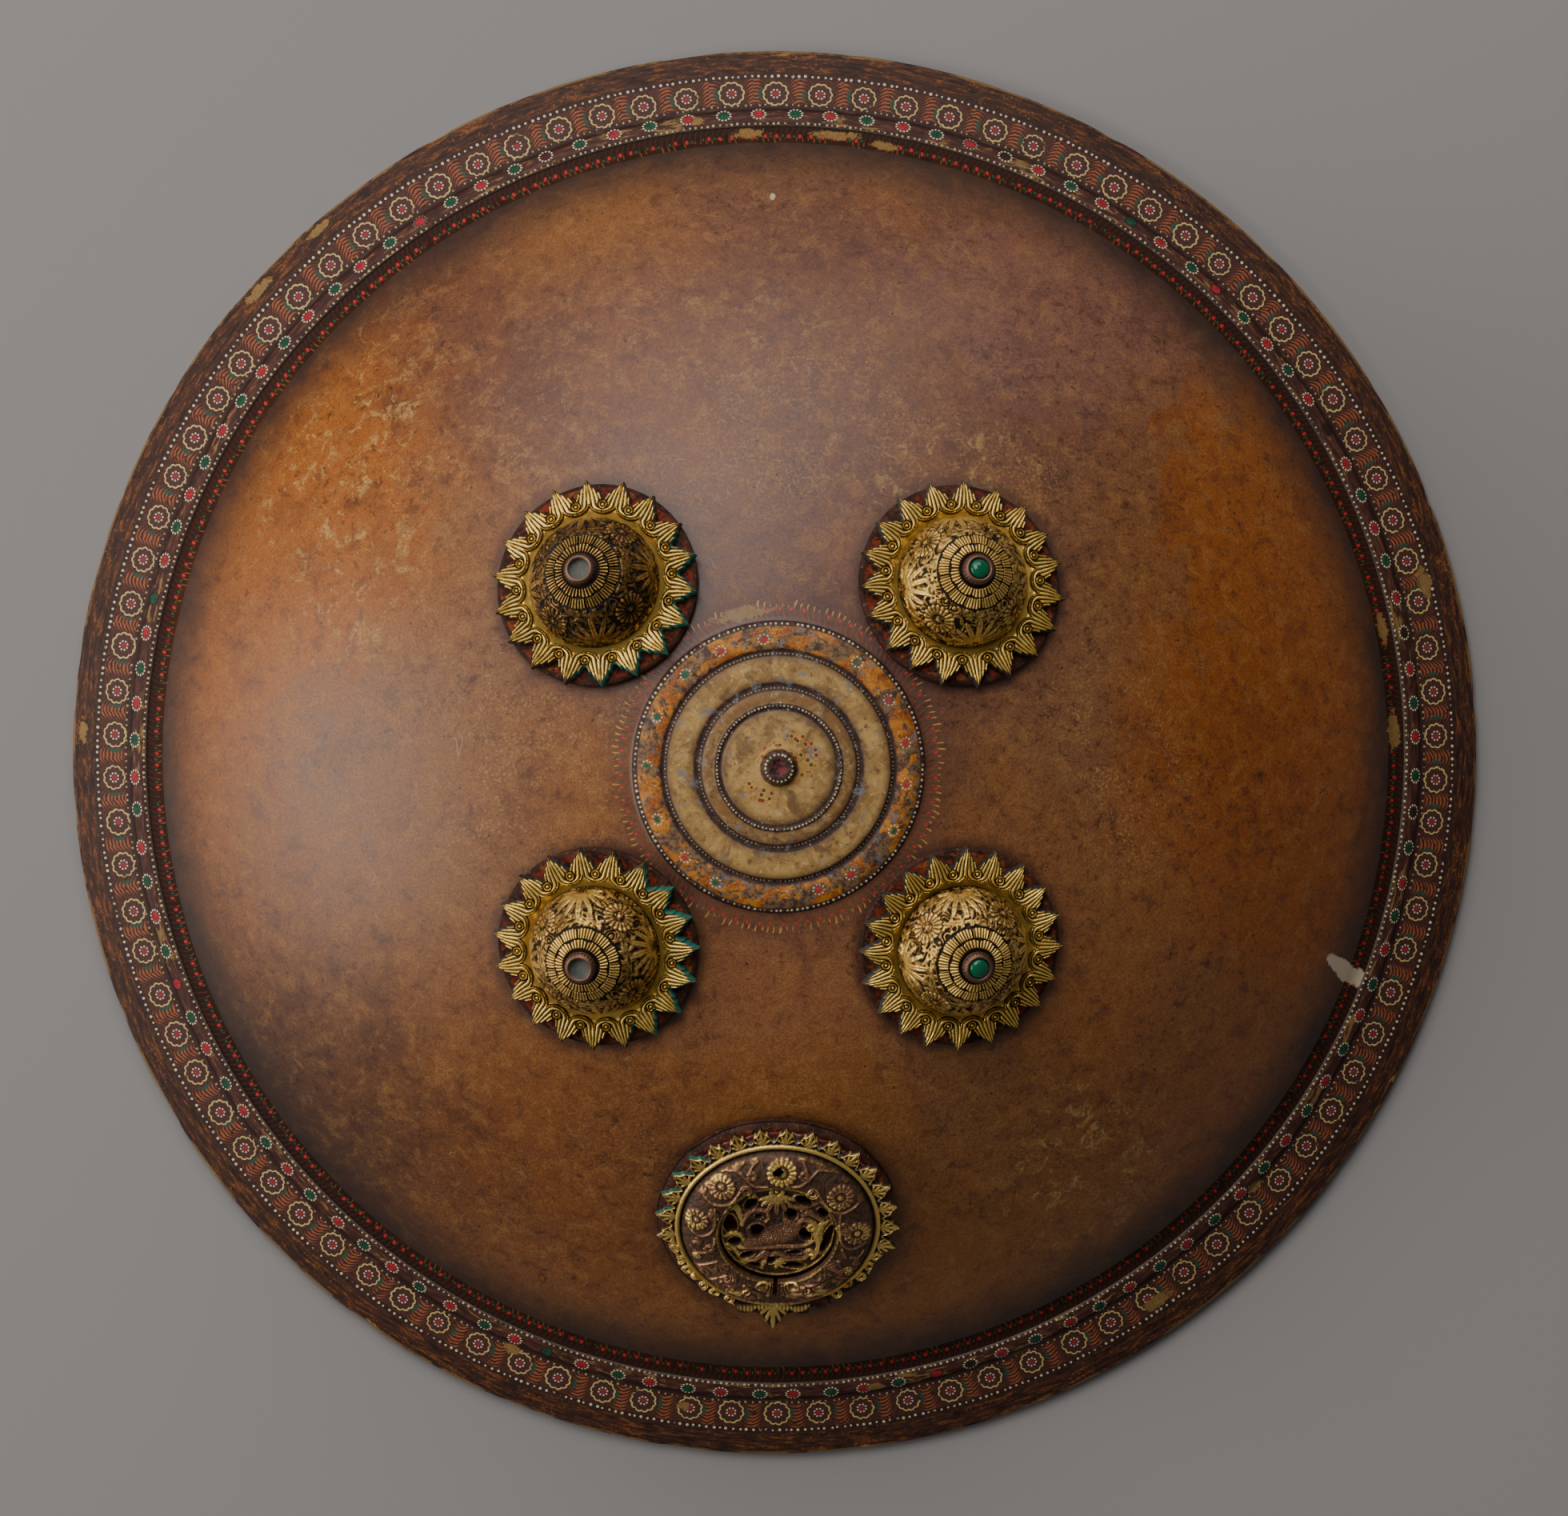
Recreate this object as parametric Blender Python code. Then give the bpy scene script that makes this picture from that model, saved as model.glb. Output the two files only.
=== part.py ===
"""Round hide shield with a painted rim, four gilt bosses and a pierced crest boss.

It lies on its rim with the domed face up. The origin is under the middle of the dome, on the surface
that the rim rests on. +Z is up through the dome and +Y points away from the crest boss.
Run it with: blender --background --python part.py
"""

import math

import bmesh
import bpy
from mathutils import Matrix, Vector

MM = 0.001

# Clearance between two pieces that touch.
GAP = 0.3 * MM

# The hide plate: a dome with a bead and a sloping rim, all in one piece.
RIM_RADIUS = 260 * MM
DOME_RADIUS = 305 * MM
WALL = 5.5 * MM
FIELD_RADIUS = 225 * MM
COVE_RADIUS = 231.4 * MM
COVE_DROP = 4.9 * MM
BEAD_WIDTH = 6.2 * MM
BEAD_HEIGHT = 2.8 * MM
RIM_SLOPE = math.radians(25)
EDGE_HEIGHT = 4.6 * MM
EDGE_ROUND = 1.2 * MM
FOOT_WIDTH = 3.2 * MM
PLATE_SEGMENTS = 48
FIELD_STEPS = 5
INNER_STEPS = 5
BEAD_STEPS = 3

# The turned medallion at the middle of the plate. Its outline gives shares of its radius and of its lift.
MEDALLION_RADIUS = 51.5 * MM
MEDALLION_LIFT = 6.6 * MM
MEDALLION_OUTLINE = (
    (0.0, 1.0),
    (0.105, 0.82),
    (0.148, 0.59),
    (0.408, 0.52),
    (0.439, 0.33),
    (0.765, 0.33),
    (0.808, 0.14),
    (0.901, 0.29),
)

# Four bosses on a circle round the middle.
BOSS_DISTANCE = 90 * MM
# Each boss's name, its turn round the middle, its number of leaves, and whether its stone is still there.
BOSS_NAMES = ("upper_right", "upper_left", "lower_left", "lower_right")
BOSS_ANGLES = (45, 135, 225, 315)
BOSS_LEAF_COUNTS = (19, 18, 19, 20)
BOSS_STONES = (True, False, False, True)

# Leather pad under a boss.
PAD_RADIUS = 36.4 * MM
PAD_TOP = 1.6 * MM
PAD_SEGMENTS = 20
PAD_SEAT = GAP + 0.25 * MM

# Cast leaf collar of a boss.
COLLAR_BORE = 23.0 * MM
COLLAR_BEAD_RADIUS = 26.4 * MM
COLLAR_HEIGHT = 3.4 * MM
LEAF_TIP_RADIUS = 37.2 * MM
LEAF_VALLEY_RADIUS = 29.6 * MM
LEAF_SHOULDER_RADIUS = 33.6 * MM
LEAF_SHOULDER_SHARE = 0.56
LEAF_DROOP = 1.0 * MM

# Embossed dome of a boss, a hollow shell open below.
BOSS_DOME_HEIGHT = 23.4 * MM
BOSS_DOME_WALL = 1.2 * MM
BOSS_DOME_SEGMENTS = 24
BOSS_DOME_RINGS = 5
BOSS_CUP_SHARES = (0.92, 0.6, 0.0)
ROSETTE_RADIUS = 14.5 * MM
ROSETTE_LIFT = 0.8 * MM
ROSETTE_PETALS = 8

# Setting on top of a boss, and the stone in it.
COLLET_RADIUS = 5.7 * MM
COLLET_HEIGHT = 3.4 * MM
COLLET_FLOOR = 0.9 * MM
COLLET_LIP = 2.0 * MM
COLLET_SEGMENTS = 10
GEM_HEIGHT = 3.3 * MM
GEM_GIRDLE = 1.4 * MM

# Crest boss near the edge, with its leather pad and a disc of felt.
CREST_DISTANCE = 163 * MM
CREST_TURN = 270
CREST_PAD_RADIUS = 43.4 * MM
CREST_PAD_TOP = 2.0 * MM
CREST_PAD_SEGMENTS = 30
CREST_PAD_CHAMFER = 2.6 * MM
CREST_PAD_POINT = 3.6 * MM
CREST_PAD_LOSS = 5.6 * MM
CREST_PAD_LOSS_START = -38
CREST_PAD_LOSS_END = 14
FELT_RADIUS = 40.8 * MM
FELT_THICKNESS = 1.0 * MM

# Cast collar of the crest: leaves round most of it, scrolls below, and a finial leaf.
CREST_BORE = 35.0 * MM
CREST_RING_RADIUS = 36.9 * MM
CREST_RING_HEIGHT = 3.0 * MM
CREST_PLATE = 1.5 * MM
CREST_LEAF_TIP = 41.8 * MM
CREST_LEAF_VALLEY = 38.4 * MM
CREST_LEAF_PITCH = 12.5
CREST_LEAF_FIRST = -14
CREST_LEAF_COUNT = 17
SCROLL_RADIUS = 40.4 * MM
SCROLL_DIP = 1.2 * MM
SCROLL_STEPS = 4
FINIAL_RADIUS = 45 * MM
FINIAL_WING_RADIUS = 41.4 * MM
FINIAL_WAIST_RADIUS = 38.2 * MM
FINIAL_TURN = 268
FINIAL_WING_ANGLE = 18
NOTCH_RADIUS = 37.2 * MM
NOTCH_TURN = 294
NOTCH_HALF_ANGLE = 5

# Embossed ring plate of the crest, a shell that arches over its hollow.
ARCH_HEIGHT = 7.4 * MM
ARCH_WALL = 1.2 * MM
ARCH_SEGMENTS = 32
HEAD_LIFT = 1.6 * MM
HEAD_ANGLE = 30
HEAD_HALF_WIDTH = 24
SLOT_WIDTH = 1.6 * MM
SLOT_LENGTH = 7.0 * MM
FLOWER_HOLE_RADIUS = 2.1 * MM

# Pierced disc in the middle of the crest.
PIERCED_RADIUS = 20.6 * MM
OPENWORK_DRAWN_RADIUS = 20.6
PIERCED_THICKNESS = 1.8 * MM
PIERCED_DEPTH = 2.6 * MM
PIERCED_SEGMENTS = 32
HOLE_SIDES = 6
# Each hole of the openwork, drawn in a disc of that radius: across, up, half width, half height, and its lean.
OPENWORK_HOLES = (
    (-17.0, 3.4, 2.3, 4.0, 8),
    (-15.4, -4.6, 2.4, 2.0, 30),
    (-9.6, 12.6, 1.9, 3.0, -35),
    (-6.8, 7.2, 1.4, 1.2, 0),
    (-7.2, 0.6, 2.8, 2.8, 0),
    (4.8, 8.2, 2.2, 2.5, 20),
    (9.2, 14.0, 3.2, 1.8, -30),
    (16.2, 8.4, 1.6, 2.3, 35),
    (9.8, -1.0, 2.0, 3.0, 20),
    (17.6, -3.6, 1.7, 6.0, -18),
    (-11.0, -10.6, 2.8, 1.4, 20),
    (-2.4, -12.8, 1.7, 1.9, -30),
    (6.0, -9.4, 2.6, 1.0, 0),
    (5.6, -15.4, 4.0, 1.5, -8),
    (-8.2, -15.2, 2.6, 1.1, -18),
)

# Leather thong end that shows in the notch of the crest's collar.
TAB_LENGTH = 5.6 * MM
TAB_WIDTH = 4.4 * MM
TAB_THICKNESS = 1.6 * MM

# Two leather grips inside the dome, each held by two clenched rivets.
GRIP_WIDTH = 22 * MM
GRIP_THICKNESS = 3.2 * MM
GRIP_ROOM = 36 * MM
GRIP_TAIL = 11 * MM
GRIP_BEND_SHARE = 0.5
GRIP_STEPS = 20
RIVET_PLATE_RADIUS = 9.5 * MM
RIVET_PLATE_THICKNESS = 1.4 * MM
RIVET_HEAD_RADIUS = 4.2 * MM
RIVET_HEAD_HEIGHT = 2.2 * MM
RIVET_SEGMENTS = 10

SMOOTH_ANGLE = math.radians(32)


# Heights that follow from the sizes above.
def rim_slope_height(radius):
    """Height of the rim's sloping top at a radius."""
    return EDGE_HEIGHT + (RIM_RADIUS - EDGE_ROUND - radius) * math.tan(RIM_SLOPE)


BEAD_OUTER_RADIUS = COVE_RADIUS + BEAD_WIDTH
COVE_HEIGHT = rim_slope_height(BEAD_OUTER_RADIUS) + BEAD_HEIGHT
DOME_CENTRE = COVE_HEIGHT + COVE_DROP - math.sqrt(DOME_RADIUS**2 - FIELD_RADIUS**2)
COLLAR_FOOT = PAD_TOP + GAP
BOSS_DOME_RADIUS = COLLAR_BORE - GAP
COLLET_FOOT = COLLAR_FOOT + BOSS_DOME_HEIGHT + GAP
FELT_FOOT = CREST_PAD_TOP + GAP
CREST_FOOT = FELT_FOOT + FELT_THICKNESS + GAP
ARCH_TOP = CREST_FOOT + ARCH_HEIGHT
PIERCED_TOP = ARCH_TOP - PIERCED_DEPTH


def sphere_height(radius, sphere_radius=DOME_RADIUS):
    """Height of the dome at a distance from the middle."""
    return DOME_CENTRE + math.sqrt(sphere_radius**2 - radius**2)


def dome_fall(radius):
    """How far the dome falls away below its tangent plane at a distance from where that touches."""
    return DOME_RADIUS - math.sqrt(DOME_RADIUS**2 - radius**2)


def seat(distance, turn):
    """Frame of a boss: origin on the dome, local Z along its normal and local Y towards the middle."""
    tilt = math.asin(distance / DOME_RADIUS)
    return (
        Matrix.Translation((0, 0, DOME_CENTRE))
        @ Matrix.Rotation(math.radians(turn + 90), 4, "Z")
        @ Matrix.Rotation(tilt, 4, "X")
        @ Matrix.Translation((0, 0, DOME_RADIUS))
    )


# Materials, one for each kind of surface.
def finish(name, hex_colour, roughness, metallic=0.0):
    """Principled material with an sRGB colour."""
    channels = [int(hex_colour[i : i + 2], 16) / 255 for i in (0, 2, 4)]
    linear = [c / 12.92 if c < 0.04045 else ((c + 0.055) / 1.055) ** 2.4 for c in channels]
    material = bpy.data.materials.new(name)
    material.use_nodes = True
    shader = material.node_tree.nodes["Principled BSDF"]
    shader.inputs["Base Color"].default_value = (*linear, 1)
    shader.inputs["Roughness"].default_value = roughness
    shader.inputs["Metallic"].default_value = metallic
    return material


# Mesh helpers.
def polar(radius, degrees, height=0.0):
    """Point at an angle round the local Z axis."""
    angle = math.radians(degrees)
    return Vector((radius * math.cos(angle), radius * math.sin(angle), height))


def add_object(name, bm, material, frame=None):
    """Closes the bmesh into a named object, in the frame given."""
    bmesh.ops.remove_doubles(bm, verts=bm.verts, dist=0.01 * MM)
    bmesh.ops.recalc_face_normals(bm, faces=bm.faces)
    mesh = bpy.data.meshes.new(name)
    bm.to_mesh(mesh)
    bm.free()
    mesh.shade_smooth()
    mesh.set_sharp_from_angle(angle=SMOOTH_ANGLE)
    mesh.materials.append(material)
    piece = bpy.data.objects.new(name, mesh)
    if frame is not None:
        piece.matrix_world = frame
    bpy.context.scene.collection.objects.link(piece)
    return piece


def spin_outline(outline, segments, closed=False):
    """Turns an outline of (radius, height) points once round the Z axis."""
    bm = bmesh.new()
    verts = [bm.verts.new((radius, 0, height)) for radius, height in outline]
    pairs = list(zip(verts, verts[1:]))
    if closed:
        pairs.append((verts[-1], verts[0]))
    edges = [bm.edges.new(pair) for pair in pairs]
    bmesh.ops.spin(
        bm,
        geom=verts + edges,
        cent=(0, 0, 0),
        axis=(0, 0, 1),
        angle=math.tau,
        steps=segments,
        use_merge=True,
    )
    return bm


def stitch(bm, lower, upper):
    """Joins two closed loops of vertices, or a point and a loop, with triangles."""
    if len(lower) == 1:
        for k, corner in enumerate(upper):
            bm.faces.new((lower[0], corner, upper[(k + 1) % len(upper)]))
        return
    low, up = 0, 0
    while low < len(lower) or up < len(upper):
        next_low = (low + 1) / len(lower)
        next_up = (up + 1) / len(upper)
        a = lower[low % len(lower)]
        b = upper[up % len(upper)]
        if next_low <= next_up and low < len(lower):
            low += 1
            bm.faces.new((a, lower[low % len(lower)], b))
        else:
            up += 1
            bm.faces.new((a, upper[up % len(upper)], b))


def loft(loops, ring=False):
    """Skins closed loops of points, from the first to the last, and closes the ends or joins them in a ring."""
    bm = bmesh.new()
    rows = [[bm.verts.new(point) for point in loop] for loop in loops]
    for lower, upper in zip(rows, rows[1:]):
        stitch(bm, lower, upper)
    if ring:
        stitch(bm, rows[-1], rows[0])
    else:
        for row in (rows[0], rows[-1]):
            if len(row) > 2:
                bm.faces.new(row)
    bmesh.ops.triangulate(bm, faces=[f for f in bm.faces if len(f.verts) > 4])
    return bm


def cutter(name, bm, frame):
    """Object that a Boolean subtracts, left out of the model itself."""
    piece = add_object(name, bm, None, frame)
    piece.hide_render = True
    piece.display_type = "WIRE"
    return piece


def cut(target, tool):
    """Subtracts a cutter from a piece."""
    modifier = target.modifiers.new("Cut", "BOOLEAN")
    modifier.operation = "DIFFERENCE"
    modifier.object = tool


# The plate.
def plate_outline():
    """Outer face from the middle to the foot, then the inner face back to the middle."""
    outer = []
    for share, rise in MEDALLION_OUTLINE:
        radius = share * MEDALLION_RADIUS
        outer.append((radius, sphere_height(radius) + rise * MEDALLION_LIFT))
    for step in range(FIELD_STEPS + 1):
        radius = MEDALLION_RADIUS + (FIELD_RADIUS - MEDALLION_RADIUS) * step / FIELD_STEPS
        outer.append((radius, sphere_height(radius)))
    middle = (FIELD_RADIUS + COVE_RADIUS) / 2
    outer.append((middle, COVE_HEIGHT + COVE_DROP * 0.28))
    outer.append((COVE_RADIUS, COVE_HEIGHT))
    foot = rim_slope_height(BEAD_OUTER_RADIUS)
    for step in range(1, BEAD_STEPS + 1):
        angle = math.pi * step / BEAD_STEPS
        radius = COVE_RADIUS + BEAD_WIDTH * (1 - math.cos(angle)) / 2
        base = COVE_HEIGHT + (foot - COVE_HEIGHT) * step / BEAD_STEPS
        outer.append((radius, base + BEAD_HEIGHT * 0.5 * math.sin(angle)))
    outer.append((RIM_RADIUS - EDGE_ROUND, EDGE_HEIGHT))
    outer.append((RIM_RADIUS, EDGE_HEIGHT - EDGE_ROUND))
    outer.append((RIM_RADIUS, EDGE_ROUND))
    outer.append((RIM_RADIUS - EDGE_ROUND, 0))
    outer.append((RIM_RADIUS - EDGE_ROUND - FOOT_WIDTH, 0))
    inner_sphere = DOME_RADIUS - WALL
    inner_edge = FIELD_RADIUS - WALL * math.sin(math.asin(FIELD_RADIUS / DOME_RADIUS))
    inner = [(COVE_RADIUS, COVE_HEIGHT - WALL / math.cos(RIM_SLOPE))]
    for step in range(INNER_STEPS + 1):
        radius = inner_edge * (1 - step / INNER_STEPS)
        inner.append((radius, sphere_height(radius, inner_sphere)))
    return outer + inner


def make_plate(material):
    bm = spin_outline(plate_outline(), PLATE_SEGMENTS)
    return add_object("shield_plate", bm, material)


# The four bosses.
def pad_loops(radius_at, top, chamfer, segments):
    """Pad with a flat top and an underside that follows the dome."""
    angles = [360 * k / segments for k in range(segments)]
    loops = [[Vector((0, 0, PAD_SEAT))]]
    for share in (0.5, 1.0):
        loops.append(
            [
                polar(radius_at(a) * share, a, PAD_SEAT - dome_fall(radius_at(a) * share))
                for a in angles
            ]
        )
    if chamfer:
        loops.append([polar(radius_at(a), a, top - chamfer) for a in angles])
        loops.append([polar(radius_at(a) - chamfer, a, top) for a in angles])
    else:
        loops.append([polar(radius_at(a), a, top) for a in angles])
    return loops


def make_pad(name, frame, material):
    bm = loft(pad_loops(lambda angle: PAD_RADIUS, PAD_TOP, 0, PAD_SEGMENTS))
    return add_object(name, bm, material, frame)


def leaf_outline(count, height, tip, valley, shoulder):
    """Pointed leaves round a circle: a valley, a shoulder, a tip and a shoulder for each leaf."""
    pitch = 360 / count
    points = []
    for k in range(count):
        start = k * pitch
        share = LEAF_SHOULDER_SHARE / 2
        points.append(polar(valley, start, height))
        points.append(polar(shoulder, start + pitch * (0.5 - share), height))
        points.append(polar(tip, start + pitch * 0.5, height))
        points.append(polar(shoulder, start + pitch * (0.5 + share), height))
    return points


def make_collar(name, frame, leaves, material):
    """Ring with a cove beside the dome, a bead of eyes, and a leaf for each eye."""
    half = [360 * k / (2 * leaves) for k in range(2 * leaves)]
    top = COLLAR_FOOT + COLLAR_HEIGHT
    loops = [
        [polar(COLLAR_BORE, a, COLLAR_FOOT) for a in half],
        [polar(COLLAR_BEAD_RADIUS, a, top) for a in half],
        leaf_outline(
            leaves,
            top - LEAF_DROOP,
            LEAF_TIP_RADIUS,
            LEAF_VALLEY_RADIUS,
            LEAF_SHOULDER_RADIUS,
        ),
        leaf_outline(
            leaves,
            COLLAR_FOOT,
            LEAF_TIP_RADIUS,
            LEAF_VALLEY_RADIUS,
            LEAF_SHOULDER_RADIUS,
        ),
    ]
    return add_object(name, loft(loops, ring=True), material, frame)


def boss_dome_radius(height_share):
    """Radius of the boss's dome at a share of its height."""
    return BOSS_DOME_RADIUS * math.sqrt(1 - height_share**2)


def make_boss_dome(name, frame, material):
    """Hollow dome with a lobed rosette round its top."""
    angles = [360 * k / BOSS_DOME_SEGMENTS for k in range(BOSS_DOME_SEGMENTS)]
    crown = COLLET_RADIUS + GAP
    crown_share = math.sqrt(1 - (crown / BOSS_DOME_RADIUS) ** 2)
    loops = []
    for ring in range(BOSS_DOME_RINGS + 1):
        share = math.sin(math.pi / 2 * ring / BOSS_DOME_RINGS)
        share = min(share, crown_share)
        radius = boss_dome_radius(share)
        height = COLLAR_FOOT + BOSS_DOME_HEIGHT * share / crown_share
        loop = []
        for a in angles:
            lobe = 0.5 + 0.5 * math.cos(math.radians(a * ROSETTE_PETALS))
            inside = crown < radius < ROSETTE_RADIUS
            grown = radius + ROSETTE_LIFT * lobe if inside else radius
            loop.append(polar(grown, a, height))
        loops.append(loop)
    inner_radius = BOSS_DOME_RADIUS - BOSS_DOME_WALL
    inner_height = BOSS_DOME_HEIGHT - BOSS_DOME_WALL
    coarse = angles[::2]
    cup = []
    for share in BOSS_CUP_SHARES:
        radius = inner_radius * math.sqrt(1 - share**2)
        cup.append([polar(radius, a, COLLAR_FOOT + inner_height * share) for a in coarse])
    return add_object(name, loft(cup + loops), material, frame)


def collet_inner_radius():
    """Inside radius of the setting."""
    return COLLET_RADIUS - COLLET_LIP


def make_collet(name, frame, material):
    """Cup with a rolled, beaded lip."""
    inner = collet_inner_radius()
    outline = (
        (0, COLLET_FOOT),
        (COLLET_RADIUS * 0.94, COLLET_FOOT),
        (COLLET_RADIUS, COLLET_FOOT + COLLET_HEIGHT * 0.5),
        (COLLET_RADIUS * 0.86, COLLET_FOOT + COLLET_HEIGHT),
        (inner, COLLET_FOOT + COLLET_HEIGHT * 0.9),
        (inner, COLLET_FOOT + COLLET_FLOOR),
        (0, COLLET_FOOT + COLLET_FLOOR),
    )
    return add_object(name, spin_outline(outline, COLLET_SEGMENTS), material, frame)


def make_gem(name, frame, material):
    """Round cabochon that fills the setting."""
    radius = collet_inner_radius() - GAP
    foot = COLLET_FOOT + COLLET_FLOOR + GAP
    outline = (
        (0, foot + GEM_HEIGHT),
        (radius * 0.62, foot + GEM_HEIGHT * 0.84),
        (radius, foot + GEM_GIRDLE),
        (radius, foot),
        (0, foot),
    )
    return add_object(name, spin_outline(outline, COLLET_SEGMENTS), material, frame)


def make_boss(place, turn, leaves, has_stone, materials):
    """Pad, collar, dome and setting of one boss, with its stone where that is still there."""
    frame = seat(BOSS_DISTANCE, turn)
    stem = f"boss_{place}"
    make_pad(f"{stem}_pad", frame, materials["pad"])
    make_collar(f"{stem}_collar", frame, leaves, materials["gilt"])
    make_boss_dome(f"{stem}_dome", frame, materials["embossed"])
    make_collet(f"{stem}_setting", frame, materials["copper"])
    if has_stone:
        make_gem(f"{stem}_stone", frame, materials["stone"])


# The crest boss.
def crest_pad_radius(degrees):
    """Outline of the crest's pad: round, pointed under the finial, and broken away on one side."""
    from_point = abs((degrees - FINIAL_TURN + 180) % 360 - 180)
    radius = CREST_PAD_RADIUS + CREST_PAD_POINT * max(0, 1 - from_point / 24)
    signed = (degrees + 180) % 360 - 180
    if CREST_PAD_LOSS_START < signed < CREST_PAD_LOSS_END:
        radius -= CREST_PAD_LOSS
    return radius


def make_crest_pad(frame, material):
    loops = pad_loops(crest_pad_radius, CREST_PAD_TOP, CREST_PAD_CHAMFER, CREST_PAD_SEGMENTS)
    return add_object("crest_pad", loft(loops), material, frame)


def make_crest_felt(frame, material):
    outline = (
        (0, FELT_FOOT + FELT_THICKNESS),
        (FELT_RADIUS, FELT_FOOT + FELT_THICKNESS),
        (FELT_RADIUS, FELT_FOOT),
        (0, FELT_FOOT),
    )
    bm = spin_outline(outline, CREST_PAD_SEGMENTS)
    return add_object("crest_felt", bm, material, frame)


def crest_outline():
    """Outer edge of the crest's collar as (angle, radius): leaves, scrolls, the finial and the notch."""
    keys = []
    for k in range(CREST_LEAF_COUNT):
        turn = CREST_LEAF_FIRST + k * CREST_LEAF_PITCH
        keys.append((turn, CREST_LEAF_TIP))
        keys.append((turn + CREST_LEAF_PITCH / 2, CREST_LEAF_VALLEY))
    left_end = keys[-1][0]
    wing = FINIAL_TURN - FINIAL_WING_ANGLE
    for k in range(1, SCROLL_STEPS + 1):
        turn = left_end + (wing - left_end) * k / (SCROLL_STEPS + 1)
        keys.append((turn, SCROLL_RADIUS - SCROLL_DIP * (k % 2)))
    keys.append((wing, FINIAL_WING_RADIUS))
    keys.append((FINIAL_TURN - FINIAL_WING_ANGLE / 2, FINIAL_WAIST_RADIUS))
    keys.append((FINIAL_TURN, FINIAL_RADIUS))
    keys.append((FINIAL_TURN + FINIAL_WING_ANGLE / 2, FINIAL_WAIST_RADIUS))
    keys.append((FINIAL_TURN + FINIAL_WING_ANGLE, FINIAL_WING_RADIUS))
    notch_end = NOTCH_TURN + NOTCH_HALF_ANGLE
    keys.append((NOTCH_TURN - NOTCH_HALF_ANGLE, NOTCH_RADIUS))
    keys.append((notch_end, NOTCH_RADIUS))
    right_end = 360 + CREST_LEAF_FIRST - CREST_LEAF_PITCH / 2
    for k in range(1, SCROLL_STEPS + 1):
        turn = notch_end + (right_end - notch_end) * k / (SCROLL_STEPS + 1)
        keys.append((turn, SCROLL_RADIUS - SCROLL_DIP * (k % 2)))
    keys.append((right_end, CREST_LEAF_VALLEY))
    return keys


def make_crest_collar(frame, material):
    keys = crest_outline()
    top = CREST_FOOT + CREST_RING_HEIGHT
    plate = CREST_FOOT + CREST_PLATE
    loops = [
        [polar(CREST_BORE, a, CREST_FOOT) for a, _ in keys],
        [polar(CREST_BORE, a, top - CREST_PLATE / 2) for a, _ in keys],
        [polar((CREST_BORE + CREST_RING_RADIUS) / 2, a, top) for a, _ in keys],
        [polar(CREST_RING_RADIUS, a, plate) for a, _ in keys],
        [polar(radius, a, plate) for a, radius in keys],
        [polar(radius, a, CREST_FOOT) for a, radius in keys],
    ]
    return add_object("crest_collar", loft(loops, ring=True), material, frame)


def head_swell(degrees):
    """Share of the horn heads' swelling at an angle: two lumps either side of the finial."""
    side = abs((degrees - FINIAL_TURN + 180) % 360 - 180)
    return max(0, 1 - abs(side - HEAD_ANGLE) / HEAD_HALF_WIDTH)


def make_crest_plate(frame, material):
    """Arched ring that ends in two heads, with a slot between them and a hole in its flower."""
    outer = CREST_BORE - GAP
    inner = PIERCED_RADIUS + GAP
    width = outer - inner
    section = (
        (outer - ARCH_WALL, 0.0, 0),
        (outer, 0.0, 0),
        (outer - 0.03 * width, 0.42, 0.2),
        (outer - 0.32 * width, 0.82, 1),
        (outer - 0.72 * width, 1.0, 1),
        (inner, 1.0, 0.4),
        (inner, 0.84, 0.4),
        (outer - 0.50 * width, 0.74, 1),
    )
    angles = [360 * k / ARCH_SEGMENTS for k in range(ARCH_SEGMENTS)]
    loops = []
    for radius, rise, swell in section:
        loops.append(
            [
                polar(
                    radius,
                    a,
                    CREST_FOOT + ARCH_HEIGHT * rise + HEAD_LIFT * swell * head_swell(a),
                )
                for a in angles
            ]
        )
    plate = add_object("crest_plate", loft(loops, ring=True), material, frame)
    middle = (outer + inner) / 2
    drill = bmesh.new()
    bmesh.ops.create_cone(
        drill,
        cap_ends=True,
        segments=8,
        radius1=FLOWER_HOLE_RADIUS,
        radius2=FLOWER_HOLE_RADIUS,
        depth=4 * ARCH_HEIGHT,
        matrix=Matrix.Translation((0, middle, ARCH_TOP)),
    )
    cut(plate, cutter("cut_flower_hole", drill, frame))
    slot = bmesh.new()
    bmesh.ops.create_cube(slot, size=1)
    place = polar(inner + SLOT_LENGTH / 2, FINIAL_TURN, ARCH_TOP)
    bmesh.ops.transform(
        slot,
        verts=slot.verts,
        matrix=Matrix.Translation(place)
        @ Matrix.Rotation(math.radians(FINIAL_TURN), 4, "Z")
        @ Matrix.Diagonal((SLOT_LENGTH, SLOT_WIDTH, 4 * ARCH_HEIGHT, 1)),
    )
    cut(plate, cutter("cut_head_slot", slot, frame))
    return plate


def hole_outline(across, up, half_width, half_height, lean):
    """Points of one openwork hole in the plane of the disc."""
    turn = Matrix.Rotation(math.radians(lean), 2)
    points = []
    for k in range(HOLE_SIDES):
        angle = math.tau * (k + 0.5) / HOLE_SIDES
        corner = turn @ Vector((half_width * math.cos(angle), half_height * math.sin(angle)))
        points.append((across + corner.x, up + corner.y))
    return points


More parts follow.
